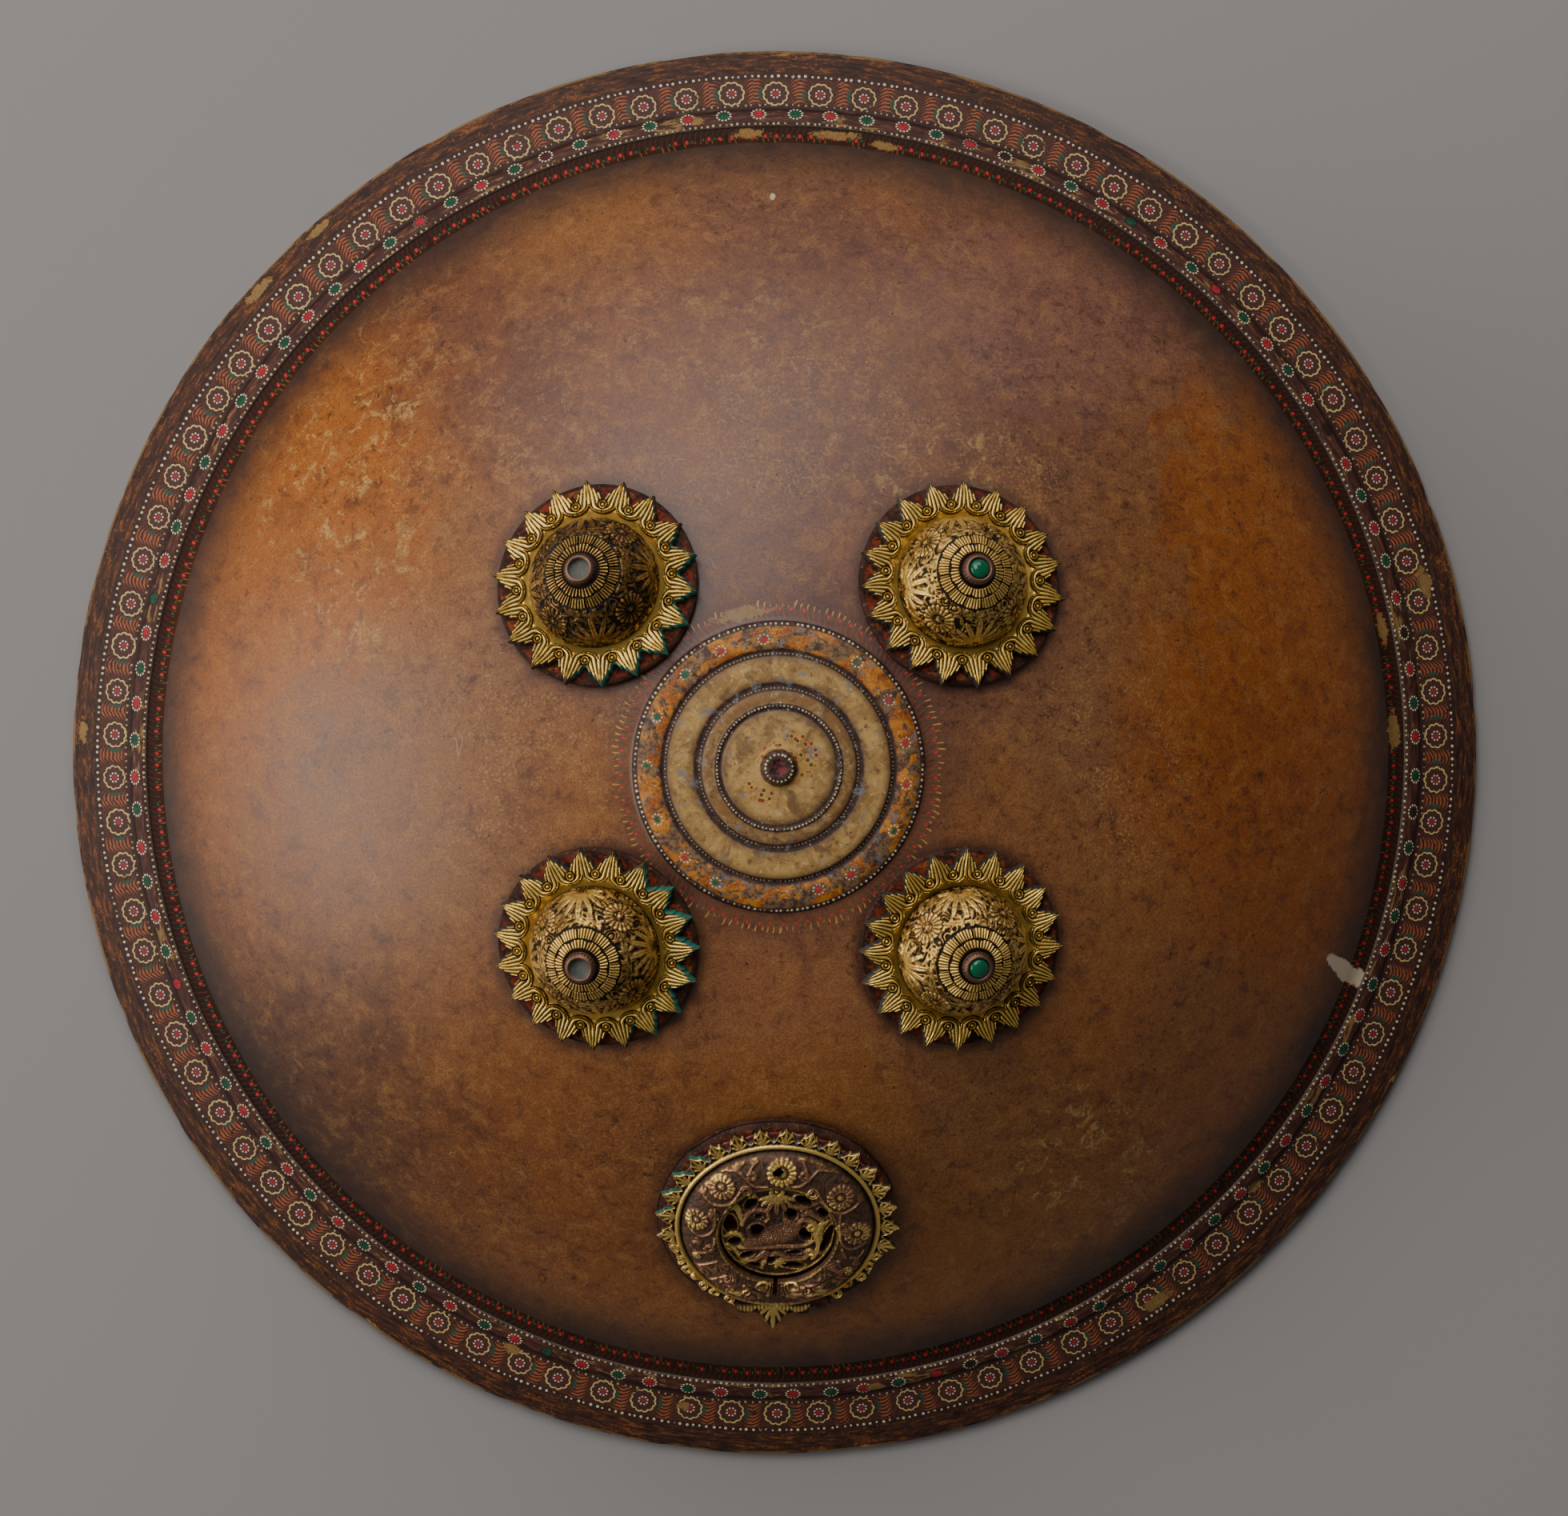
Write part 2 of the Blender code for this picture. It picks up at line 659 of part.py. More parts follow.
def make_crest_pierced(frame, material):
    """Openwork disc with a raised figure across its middle."""
    foot = PIERCED_TOP - PIERCED_THICKNESS
    outline = (
        (0, PIERCED_TOP + PIERCED_THICKNESS * 0.5),
        (PIERCED_RADIUS * 0.5, PIERCED_TOP + PIERCED_THICKNESS * 0.3),
        (PIERCED_RADIUS, PIERCED_TOP),
        (PIERCED_RADIUS, foot),
        (0, foot),
    )
    bm = spin_outline(outline, PIERCED_SEGMENTS)
    disc = add_object("crest_pierced", bm, material, frame)
    scale = PIERCED_RADIUS / OPENWORK_DRAWN_RADIUS
    holes = bmesh.new()
    for hole in OPENWORK_HOLES:
        low, high = foot - 2 * PIERCED_THICKNESS, PIERCED_TOP + 2 * PIERCED_THICKNESS
        points = hole_outline(*hole)
        bottom = [holes.verts.new((x * scale, y * scale, low)) for x, y in points]
        top = [holes.verts.new((x * scale, y * scale, high)) for x, y in points]
        holes.faces.new(bottom)
        holes.faces.new(top)
        for k in range(HOLE_SIDES):
            n = (k + 1) % HOLE_SIDES
            holes.faces.new((bottom[k], bottom[n], top[n], top[k]))
    cut(disc, cutter("cut_openwork", holes, frame))
    return disc


def make_crest_tab(frame, material):
    """Short end of a thong that lies on the felt in the collar's notch."""
    bm = bmesh.new()
    bmesh.ops.create_cube(bm, size=1)
    place = polar(
        NOTCH_RADIUS + 2 * GAP + TAB_WIDTH / 2,
        NOTCH_TURN,
        CREST_FOOT + TAB_THICKNESS / 2,
    )
    bmesh.ops.transform(
        bm,
        verts=bm.verts,
        matrix=Matrix.Translation(place)
        @ Matrix.Rotation(math.radians(NOTCH_TURN), 4, "Z")
        @ Matrix.Diagonal((TAB_WIDTH, TAB_LENGTH, TAB_THICKNESS, 1)),
    )
    return add_object("crest_tab", bm, material, frame)


def make_crest(materials):
    frame = seat(CREST_DISTANCE, CREST_TURN)
    make_crest_pad(frame, materials["pad"])
    make_crest_felt(frame, materials["felt"])
    make_crest_collar(frame, materials["gilt"])
    make_crest_plate(frame, materials["embossed"])
    make_crest_pierced(frame, materials["embossed"])
    make_crest_tab(frame, materials["thong"])


# The grips inside the dome.
def grip_gap():
    """Room between the dome's inside and a grip's flat end, so that its corners clear the hollow."""
    inner = DOME_RADIUS - WALL
    panel = FIELD_RADIUS / INNER_STEPS / 2
    reach = math.hypot(panel, GRIP_WIDTH / 2)
    return GAP + inner - math.sqrt(inner**2 - reach**2)


def grip_path(half_angle):
    """Middle of a grip, as (angle from its middle, distance from the dome's centre)."""
    outer = DOME_RADIUS - WALL - grip_gap() - GRIP_THICKNESS / 2
    tail = half_angle + GRIP_TAIL / outer
    lift_off = half_angle - GRIP_TAIL / outer
    points = []
    for k in range(GRIP_STEPS + 1):
        angle = -tail + 2 * tail * k / GRIP_STEPS
        share = min(1, max(0, 1 - abs(angle) / lift_off) / GRIP_BEND_SHARE)
        points.append((angle, outer - GRIP_ROOM * share * share * (3 - 2 * share)))
    return points


def make_grip(name, side, material):
    """Leather band that bows inwards between the two bosses on one side."""
    across = BOSS_DISTANCE * math.sqrt(0.5)
    out = Vector((side * across, 0, math.sqrt(DOME_RADIUS**2 - 2 * across**2))).normalized()
    along = Vector((0, 1, 0))
    wide = out.cross(along)
    half_angle = math.asin(across / DOME_RADIUS)
    path = [
        out * radius * math.cos(angle) + along * radius * math.sin(angle)
        for angle, radius in grip_path(half_angle)
    ]
    loops = []
    for k, point in enumerate(path):
        before, after = path[max(0, k - 1)], path[min(len(path) - 1, k + 1)]
        normal = (after - before).cross(wide).normalized() * (GRIP_THICKNESS / 2)
        edge = wide * (GRIP_WIDTH / 2)
        loops.append(
            [point + edge + normal, point + edge - normal, point - edge - normal, point - edge + normal]
        )
    frame = Matrix.Translation((0, 0, DOME_CENTRE))
    return add_object(name, loft(loops), material, frame)


def make_rivet(name, turn, material):
    """Round plate with the clenched head of a rivet, on the inner face of a grip's end."""
    sagitta = DOME_RADIUS - math.sqrt(DOME_RADIUS**2 - RIVET_PLATE_RADIUS**2)
    top = -(WALL + grip_gap() + GRIP_THICKNESS + GAP + 2 * sagitta)
    low = top - RIVET_PLATE_THICKNESS
    outline = (
        (0, top),
        (RIVET_PLATE_RADIUS, top),
        (RIVET_PLATE_RADIUS, low),
        (RIVET_HEAD_RADIUS, low),
        (RIVET_HEAD_RADIUS * 0.7, low - RIVET_HEAD_HEIGHT * 0.7),
        (0, low - RIVET_HEAD_HEIGHT),
    )
    frame = seat(BOSS_DISTANCE, turn)
    return add_object(name, spin_outline(outline, RIVET_SEGMENTS), material, frame)


def main():
    for piece in list(bpy.data.objects):
        bpy.data.objects.remove(piece)
    materials = {
        "hide": finish("lacquered_hide", "6B3F24", 0.42),
        "pad": finish("lacquered_leather", "4A2A22", 0.6),
        "gilt": finish("gilt_copper", "C9A24E", 0.34, 1.0),
        "embossed": finish("worn_gilt_copper", "7A6238", 0.42, 1.0),
        "copper": finish("bare_copper", "7B5548", 0.45, 1.0),
        "stone": finish("green_glass", "0E7A52", 0.08),
        "felt": finish("red_felt", "8E2A2E", 0.95),
        "thong": finish("brown_leather", "5C3626", 0.7),
        "iron": finish("forged_iron", "4B4541", 0.55, 1.0),
    }
    make_plate(materials["hide"])
    for place, turn, leaves, has_stone in zip(BOSS_NAMES, BOSS_ANGLES, BOSS_LEAF_COUNTS, BOSS_STONES):
        make_boss(place, turn, leaves, has_stone, materials)
        make_rivet(f"grip_rivet_{place}", turn, materials["iron"])
    make_crest(materials)
    make_grip("grip_right", 1, materials["thong"])
    make_grip("grip_left", -1, materials["thong"])


main()
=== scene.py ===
"""Finished looks of a round hide shield that lies on its rim with the domed face up."""

import math

import bmesh
import bpy
import numpy as np
from mathutils import Matrix, Vector


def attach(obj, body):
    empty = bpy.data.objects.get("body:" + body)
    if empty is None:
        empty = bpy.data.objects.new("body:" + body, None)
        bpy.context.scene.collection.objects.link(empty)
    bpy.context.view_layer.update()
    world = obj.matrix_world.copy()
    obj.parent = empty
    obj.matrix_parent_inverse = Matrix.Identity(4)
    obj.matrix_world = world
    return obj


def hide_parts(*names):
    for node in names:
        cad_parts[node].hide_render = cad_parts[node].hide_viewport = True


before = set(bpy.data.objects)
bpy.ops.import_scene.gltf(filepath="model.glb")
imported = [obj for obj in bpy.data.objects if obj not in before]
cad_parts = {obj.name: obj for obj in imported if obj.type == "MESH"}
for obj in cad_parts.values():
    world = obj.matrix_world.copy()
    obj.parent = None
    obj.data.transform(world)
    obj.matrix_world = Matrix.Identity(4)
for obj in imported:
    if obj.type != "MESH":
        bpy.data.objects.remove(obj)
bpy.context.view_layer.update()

bl_info = {
    "name": "Round hide shield",
    "version": (1, 0, 0),
    "blender": (4, 5, 0),
    "location": "3D View > Sidebar > Shield",
    "description": "Builds the finished pieces of a domed hide shield over its packed frame",
    "category": "Object",
}

MM = 0.001

# Steps round each turned piece, fine enough for its relief and under 200,000 triangles.
PAD_STEPS, CREST_PAD_STEPS = 144, 240
LEAF_STEPS = 36
DOME_STEPS, DOME_ROWS = 336, 92
CUP_STEPS, SMALL_STEPS = 160, 72
CREST_COLLAR_STEPS, CREST_PLATE_STEPS, OPENWORK_STEPS = 736, 576, 352

# Turns of the crest's finial and of the notch in its collar, in degrees.
FINIAL, NOTCH = 268, 294


def linear(hex_colour):
    """Linear RGB of an sRGB hex colour."""
    channels = [int(hex_colour[i : i + 2], 16) / 255 for i in (0, 2, 4)]
    return tuple(c / 12.92 if c < 0.04045 else ((c + 0.055) / 1.055) ** 2.4 for c in channels)


def length(name, millimetres, description):
    """Length property, in metres."""
    return bpy.props.FloatProperty(
        name=name, default=millimetres * MM, description=description, unit="LENGTH", precision=5
    )


def angle(name, degrees, description):
    """Angle property, in radians."""
    return bpy.props.FloatProperty(
        name=name, default=math.radians(degrees), description=description, unit="ROTATION", subtype="ANGLE"
    )


def colour(name, hex_colour, description):
    """Colour property, in linear RGB."""
    return bpy.props.FloatVectorProperty(
        name=name, default=linear(hex_colour), description=description, subtype="COLOR", min=0, max=1
    )


def count(name, number, description):
    """Whole number property."""
    return bpy.props.IntProperty(name=name, default=number, description=description, min=1)


def power(name, watts, description):
    """Power of a lamp, in watts."""
    return bpy.props.FloatProperty(name=name, default=watts, description=description, unit="POWER")


class PlateSettings(bpy.types.PropertyGroup):
    """Sizes and colours of the hide plate."""

    rim_radius: length("Rim radius", 260, "Outer edge of the rim")
    dome_radius: length("Dome radius", 305, "Radius of the sphere that the dome is part of")
    wall: length("Wall", 5.5, "Thickness of the hide")
    field_radius: length("Field radius", 225, "Where the dome ends")
    cove_radius: length("Cove radius", 231.4, "Inner foot of the bead")
    cove_drop: length("Cove drop", 4.9, "Fall from the dome's end to the bead's foot")
    bead_width: length("Bead width", 6.2, "Width of the half-round bead")
    bead_height: length("Bead height", 2.8, "Height of the bead's outer flank")
    rim_slope: angle("Rim slope", 25, "Slope of the rim")
    edge_height: length("Edge height", 4.6, "Height of the rim at its edge")
    edge_round: length("Edge round", 1.2, "Rounding of the edge")
    foot_width: length("Foot width", 3.2, "Flat ring that the rim rests on")
    steps: count("Steps", 448, "Steps round the plate")
    hide: colour("Hide", "85542E", "Brown of the lacquered hide")
    # Colour of the painted shade round the pads.
    pad_shade: colour("Dark hide", "361A12", "Darkest brown")
    hide_orange: colour("Orange brown", "935A24", "Warm brown of the lower right")
    hide_cream: colour("Worn cream", "D2AA62", "Bare hide where the lacquer is gone")
    band: colour("Border ground", "4A2A22", "Ground of the painted border")
    border: colour("Plain border", "52301E", "Plain outer border")
    border_worn: colour("Worn border", "96541E", "Orange brown where the border is rubbed")
    dot: colour("Dots", "E2D6AC", "Cream white dots")
    gold: colour("Gold paint", "C2A258", "Gold outline of the painted flowers")
    red: colour("Red paint", "C22C36", "Red centres and jewels")
    green: colour("Green paint", "1E5E3C", "Green strokes and jewels")
    orange: colour("Orange paint", "A85A34", "Orange leaf strokes")


class BossSettings(bpy.types.PropertyGroup):
    """Sizes and colours of the four bosses."""

    distance: length("Distance", 90, "Seat of each boss from the middle")
    pad_radius: length("Pad radius", 36.4, "Leather pad")
    pad_top: length("Pad top", 1.6, "Top of the pad above the seat")
    pad_seat: length("Pad seat", 0.55, "Underside of the pad above the seat")
    gap: length("Gap", 0.3, "Clearance between two pieces")
    bore: length("Bore", 23, "Inner edge of the collar")
    leaf_tip: length("Leaf tip", 37.3, "Radius of the leaves' tips")
    leaf_valley: length("Leaf valley", 30.3, "Radius of the notches between leaves")
    eye_radius: length("Eye circle", 28.0, "Circle of the round eyes")
    dome_height: length("Dome height", 23.4, "Height of the embossed dome")
    setting_radius: length("Setting radius", 5.7, "Cup on top of a dome")
    setting_lip: length("Setting lip", 2.0, "Width of the cup's lip")
    gilt: colour("Gilt", "FFD56A", "Bright gilding")
    gilt_deep: colour("Deep gilt", "A07A38", "Gilding in the shade of the relief")
    patina: colour("Patina", "22160E", "Dark patina in the grooves")
    copper: colour("Copper", "8A6450", "Bare brown copper")
    verdigris: colour("Verdigris", "1F6E5A", "Green corrosion at leaf tips")
    stone: colour("Stone", "06704A", "Green glass")
    pad: colour("Pad leather", "4A2A1E", "Dark lacquered leather of the pads")
    pad_red: colour("Pad red", "8E3018", "Red and orange paint left on the pads")


class CrestSettings(bpy.types.PropertyGroup):
    """Sizes and colours of the crest boss."""

    distance: length("Distance", 163, "Seat of the crest from the middle")
    pad_radius: length("Pad radius", 43.4, "Leather pad")
    pad_top: length("Pad top", 2.0, "Top of the pad above the seat")
    felt_radius: length("Felt radius", 40.8, "Red cloth disc")
    felt_thickness: length("Felt thickness", 1.0, "Thickness of the cloth")
    bore: length("Bore", 35, "Inner edge of the collar")
    arch_height: length("Arch height", 7.4, "Height of the embossed ring plate")
    pierced_radius: length("Pierced radius", 20.6, "Openwork disc")
    pierced_depth: length("Pierced depth", 2.6, "How far the disc lies below the arch")
    copper: colour("Coppery patina", "70503A", "Worn coppery brown")
    felt: colour("Felt", "8E2630", "Faded red cloth")
    thong: colour("Thong", "4E2C1E", "Brown leather")


class GripSettings(bpy.types.PropertyGroup):
    """Sizes of the two grips."""

    width: length("Width", 22, "Width of a leather band")
    thickness: length("Thickness", 3.2, "Thickness of a band")
    room: length("Room", 36, "Room for the fingers")
    tail: length("Tail", 11, "Length beyond each rivet")
    rivet_radius: length("Rivet plate", 9.5, "Radius of a rivet's plate")
    head_radius: length("Rivet head", 4.2, "Radius of a rivet's head")


class StageSettings(bpy.types.PropertyGroup):
    """Camera, light and floor."""

    distance: length("Camera distance", 2100, "Camera above the floor")
    forward: length("Camera forward", 75, "Camera towards +Y of the middle")
    side: length("Camera side", -20, "Camera towards +X of the middle")
    floor: colour("Floor", "96918E", "Pale warm grey floor")
    key: power("Left window", 34.0, "Power of the soft light at the left")
    fill: power("Back window", 33.0, "Power of the soft light behind")
    overhead: power("Overhead", 20.0, "Power of the light above")


# Mesh tools.
def deselect():
    """Nothing selected, object mode."""
    if bpy.context.object and bpy.context.object.mode != "OBJECT":
        bpy.ops.object.mode_set(mode="OBJECT")
    bpy.ops.object.select_all(action="DESELECT")


def draw(name, points, closed=False):
    """Object whose mesh is a line through the points, given in millimetres."""
    deselect()
    edges = [(k, k + 1) for k in range(len(points) - 1)]
    if closed:
        edges.append((len(points) - 1, 0))
    mesh = bpy.data.meshes.new(name)
    mesh.from_pydata([Vector(p) * MM for p in points], edges, [])
    piece = bpy.data.objects.new(name, mesh)
    bpy.context.scene.collection.objects.link(piece)
    piece.select_set(True)
    bpy.context.view_layer.objects.active = piece
    return piece


def turn(name, outline, steps, closed=False):
    """Spins an outline of (radius, height) over one sector, and doubles the sector to a full turn."""
    piece = draw(name, [(radius, 0, height) for radius, height in outline], closed)
    sectors = 1
    while steps % 2 == 0 and steps > 24:
        steps //= 2
        sectors *= 2
    bpy.ops.object.mode_set(mode="EDIT")
    bpy.ops.mesh.select_all(action="SELECT")
    bpy.ops.mesh.spin(steps=steps, angle=math.tau / sectors, center=(0, 0, 0), axis=(0, 0, 1))
    while sectors > 1:
        bpy.ops.mesh.select_all(action="SELECT")
        bpy.ops.mesh.duplicate()
        bpy.ops.transform.rotate(value=math.tau / sectors, orient_axis="Z", center_override=(0, 0, 0))
        sectors //= 2
    bpy.ops.mesh.select_all(action="SELECT")
    bpy.ops.mesh.remove_doubles(threshold=0.004 * MM)
    bpy.ops.mesh.normals_make_consistent(inside=False)
    bpy.ops.object.mode_set(mode="OBJECT")
    return piece


def points_of(piece):
    """Vertex positions in millimetres as an array."""
    flat = np.empty(len(piece.data.vertices) * 3)
    piece.data.vertices.foreach_get("co", flat)
    return flat.reshape(-1, 3) / MM


def move_points(piece, points):
    """Puts vertex positions, in millimetres, back into a mesh."""
    piece.data.vertices.foreach_set("co", (np.asarray(points) * MM).ravel())
    piece.data.update()


def store(piece, name, values):
    """Keeps one number per vertex as a named attribute."""
    layer = piece.data.attributes.new(name, "FLOAT", "POINT")
    layer.data.foreach_set("value", np.asarray(values, dtype=np.float32).ravel())


def store_place(piece):
    """Keeps each vertex's place in the piece's own frame, in metres."""
    layer = piece.data.attributes.new("place", "FLOAT_VECTOR", "POINT")
    layer.data.foreach_set("vector", (points_of(piece) * MM).astype(np.float32).ravel())


def finish_piece(piece, material, nodes=(), place=None, sharp=50):
    """Puts a piece in its place, shades it, gives it its material and ties it to the frame."""
    store_place(piece)
    if place is not None:
        piece.data.transform(place)
    deselect()
    piece.select_set(True)
    bpy.context.view_layer.objects.active = piece
    bpy.ops.object.shade_smooth_by_angle(angle=math.radians(sharp))
    if material is not None:
        piece.data.materials.append(material)
    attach(piece, "root")
    if nodes:
        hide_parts(*nodes)
    return piece


# Number patterns for the relief.
def hashed(cells, seed):
    """Random numbers from 0 to 1, one for each whole-number cell."""
    mixed = (
        cells[:, 0] * 73856093
    ) ^ (cells[:, 1] * 19349663) ^ (cells[:, 2] * 83492791) ^ (seed * 2654435761)
    mixed = (mixed ^ (mixed >> 13)) * 1274126177
    mixed = (mixed ^ (mixed >> 16)) & 0xFFFFFF
    return mixed / 0xFFFFFF


def seed_of(name):
    """Whole number of a piece's name, so that like pieces differ."""
    return sum(ord(letter) for letter in name)


def cloud(points, size, seed=1):
    """Smooth noise from 0 to 1, with features of a size in millimetres."""
    scaled = np.asarray(points, dtype=float) / size
    if scaled.shape[1] == 2:
        scaled = np.column_stack([scaled, np.zeros(len(scaled))])
    base = np.floor(scaled).astype(np.int64)
    part = scaled - base
    part = part * part * (3 - 2 * part)
    total = np.zeros(len(scaled))
    for dx in (0, 1):
        for dy in (0, 1):
            for dz in (0, 1):
                weight = np.ones(len(scaled))
                for axis, step in enumerate((dx, dy, dz)):
                    weight = weight * (part[:, axis] if step else 1 - part[:, axis])
                total += weight * hashed(base + np.array([dx, dy, dz]), seed)
    return total


def smooth(value, low, high):
    """Smooth step from 0 to 1."""
    share = np.clip((value - low) / (high - low), 0, 1)
    return share * share * (3 - 2 * share)


def bump(value, centre, width):
    """Rounded ridge of height 1."""
    return np.exp(-(((value - centre) / width) ** 2))


def leaflet(x, y, angle, size, width, start=0.0):
    """Height from 0 to 1 of a ribbed leaflet that starts near the origin and points along an angle."""
    c, s = math.cos(math.radians(angle)), math.sin(math.radians(angle))
    along = ((x * c + y * s) - start) / size
    across = -x * s + y * c
    half = width * np.sqrt(np.clip(along * (1 - along) * 4, 0, 1)) * (0.65 + 0.35 * along) + 1e-6
    body = np.clip(1 - (across / half) ** 2, 0, 1) ** 0.5
    body = body * (1 - 0.35 * bump(across, 0, width * 0.18))
    return np.where((along > 0) & (along < 1), body, 0)


def daisy(x, y, radius, petals, core=0.3):
    """Height from 0 to 1 of a ribbed flower with a domed core."""
    rho = np.hypot(x, y) / radius
    phi = np.arctan2(y, x)
    edge = 0.92 + 0.08 * np.abs(np.cos(petals / 2 * phi))
    ribs = np.abs(np.cos(petals / 2 * phi)) ** 0.7
    lift = smooth(rho, core, core + 0.15) * smooth(-rho, -edge, -edge + 0.12)
    outer = lift * (0.35 + 0.65 * ribs) * (0.6 + 0.4 * rho)
    step = 1 - 0.1 * bump(rho, 0.66, 0.05)
    middle = np.sqrt(np.clip(1 - (rho / (core * 0.85)) ** 2, 0, 1)) * 0.9
    return np.maximum(outer * step, middle)


def scroll(x, y, radius, direction=1, thickness=0.42):
    """Height from 0 to 1 of a vine that curls once and a bit round the origin."""
    rho = np.hypot(x, y)
    phi = np.arctan2(y * direction, x)
    best = np.zeros_like(rho)
    for lap in (0, 1):
        target = radius * (0.30 + 0.70 * (phi + math.pi + lap * math.tau) / (2 * math.tau))
        best = np.maximum(best, bump(rho, target, thickness))
    return best * (rho < radius * 1.15)


# Shader tools. Patterns are measured in millimetres.
def add(tree, kind, *inputs, output=None, **settings):
    """Adds a shader node with inputs in order, settings, and inputs by name, and gives one output."""
    node = tree.nodes.new("ShaderNode" + kind)
    named = {key: settings.pop(key) for key in list(settings) if key[0].isupper()}
    for key, value in settings.items():
        setattr(node, key, value)
    in_use = [socket for socket in node.inputs if socket.enabled]
    for socket, value in [*zip(in_use, inputs), *((node.inputs[key], named[key]) for key in named)]:
        if isinstance(value, bpy.types.NodeSocket):
            tree.links.new(value, socket)
        elif socket.type == "RGBA":
            socket.default_value = (*(linear(value) if isinstance(value, str) else value), 1)
        else:
            socket.default_value = value
    return node.outputs[output] if output else next(socket for socket in node.outputs if socket.enabled)


def mask(tree, *parts):
    """Product of masks, shares and soft steps from 0 to 1, each given as (value, low, high)."""
    result = None
    for part in parts:
        if isinstance(part, tuple):
            part = add(tree, "MapRange", *part, interpolation_type="SMOOTHSTEP")
        result = part if result is None else add(tree, "Math", result, part, operation="MULTIPLY")
    return result


def coat(tree, under, over, *masks):
    """Colour of a coat of paint laid over another where the product of its masks is 1."""
    return add(tree, "Mix", mask(tree, *masks), under, over, data_type="RGBA")


def dice(tree, number):
    """Three random numbers for a whole number."""
    white = add(tree, "TexWhiteNoise", W=number, noise_dimensions="1D", output="Color")
    return add(tree, "SeparateColor", white).node.outputs


def between(tree, value, low, high, soft):
    """Mask that is 1 between two limits."""
    rise = mask(tree, (value, low - soft, low + soft))
    fall = mask(tree, (value, high - soft, high + soft, 1.0, 0.0))
    return mask(tree, rise, fall)


def material(name, roughness, metallic=0.0, **constants):
    """Principled material and its tree, with plain values set on the shader."""
    made = bpy.data.materials.new(name)
    made.use_nodes = True
    shader = made.node_tree.nodes["Principled BSDF"]
    shader.inputs["Roughness"].default_value = roughness
    shader.inputs["Metallic"].default_value = metallic
    for key, value in constants.items():
        shader.inputs[key.replace("_", " ")].default_value = value
    return made, made.node_tree, shader


def connect(
    tree, shader, colour_socket=None, roughness=None, metallic=None, height=None, depth=0.1, strength=1.0
):
    """Links the pattern's results to the shader. Depth is the bump's height in millimetres."""
    if colour_socket is not None:
        tree.links.new(colour_socket, shader.inputs["Base Color"])
    if roughness is not None:
        tree.links.new(roughness, shader.inputs["Roughness"])
    if metallic is not None:
        tree.links.new(metallic, shader.inputs["Metallic"])
    if height is not None:
        raised = add(tree, "Bump", Height=height, Distance=depth * MM, Strength=strength)
        tree.links.new(raised, shader.inputs["Normal"])


def place_in_mm(tree):
    """Object coordinates in millimetres."""
    source = add(tree, "TexCoord", output="Object")
    return add(tree, "VectorMath", source, (1000, 1000, 1000), operation="MULTIPLY")


class Polar:
    """Distance from the middle of the shield, turn round it, and a place that has no seam."""

    def __init__(self, tree):
        self.place = place_in_mm(tree)
        self.x, self.y, _ = add(tree, "SeparateXYZ", self.place).node.outputs
        flat = add(tree, "CombineXYZ", self.x, self.y)
        self.radius = add(tree, "VectorMath", flat, operation="LENGTH")
        angle_socket = add(tree, "Math", self.y, self.x, operation="ARCTAN2")
        self.turn = add(tree, "Math", angle_socket, math.tau, operation="DIVIDE")
        self.direction = add(tree, "VectorMath", flat, operation="NORMALIZE")

    def streak(self, tree, ring, stretch):
        """Place for patterns drawn out round a ring: distances across it count more."""
        round_ring = add(tree, "VectorMath", self.direction, (ring, ring, ring), operation="MULTIPLY")
        across = add(tree, "Math", self.radius, stretch, operation="MULTIPLY")
        lift = add(tree, "CombineXYZ", Z=across)
        return add(tree, "VectorMath", round_ring, lift, operation="ADD")


def cell_round(tree, turn_socket, number, offset=0.0):
    """Number of the cell that a turn falls in, and the place in the cell from -0.5 to 0.5."""
    scaled = add(tree, "Math", turn_socket, number, offset, operation="MULTIPLY_ADD")
    index = add(tree, "Math", scaled, operation="FLOOR")
    part = add(
        tree, "Math", add(tree, "Math", scaled, index, operation="SUBTRACT"), 0.5, operation="SUBTRACT"
    )
    return index, part


def disc(tree, x, y, size, soft=0.1):
    """Mask of a disc round (x, y) = 0."""
    distance = add(
        tree, "Math",
        add(tree, "Math", x, x, add(tree, "Math", y, y, operation="MULTIPLY"), operation="MULTIPLY_ADD"),
        operation="SQRT",
    )
    gap = add(tree, "Math", size, distance, operation="SUBTRACT")
    return mask(tree, (gap, -soft, soft))


def dot_row(tree, radius, turn_socket, ring, number, size, wobble=0.12, soft=0.12):
    """Mask of a row of hand-painted dots round a ring."""
    index, part = cell_round(tree, turn_socket, number)
    first, second, third = dice(tree, add(tree, "Math", index, ring, operation="ADD"))
    pitch = math.tau * ring / number
    shift = add(tree, "Math", first, 0.3, -0.15, operation="MULTIPLY_ADD")
    x = add(tree, "Math", add(tree, "Math", part, shift, operation="ADD"), pitch, operation="MULTIPLY")
    y = add(
        tree, "Math", second, 2 * wobble, add(tree, "Math", radius, ring + wobble, operation="SUBTRACT"),
        operation="MULTIPLY_ADD",
    )
    grown = add(tree, "Math", third, 0.45 * size, 0.74 * size, operation="MULTIPLY_ADD")
    return disc(tree, x, y, grown, soft)


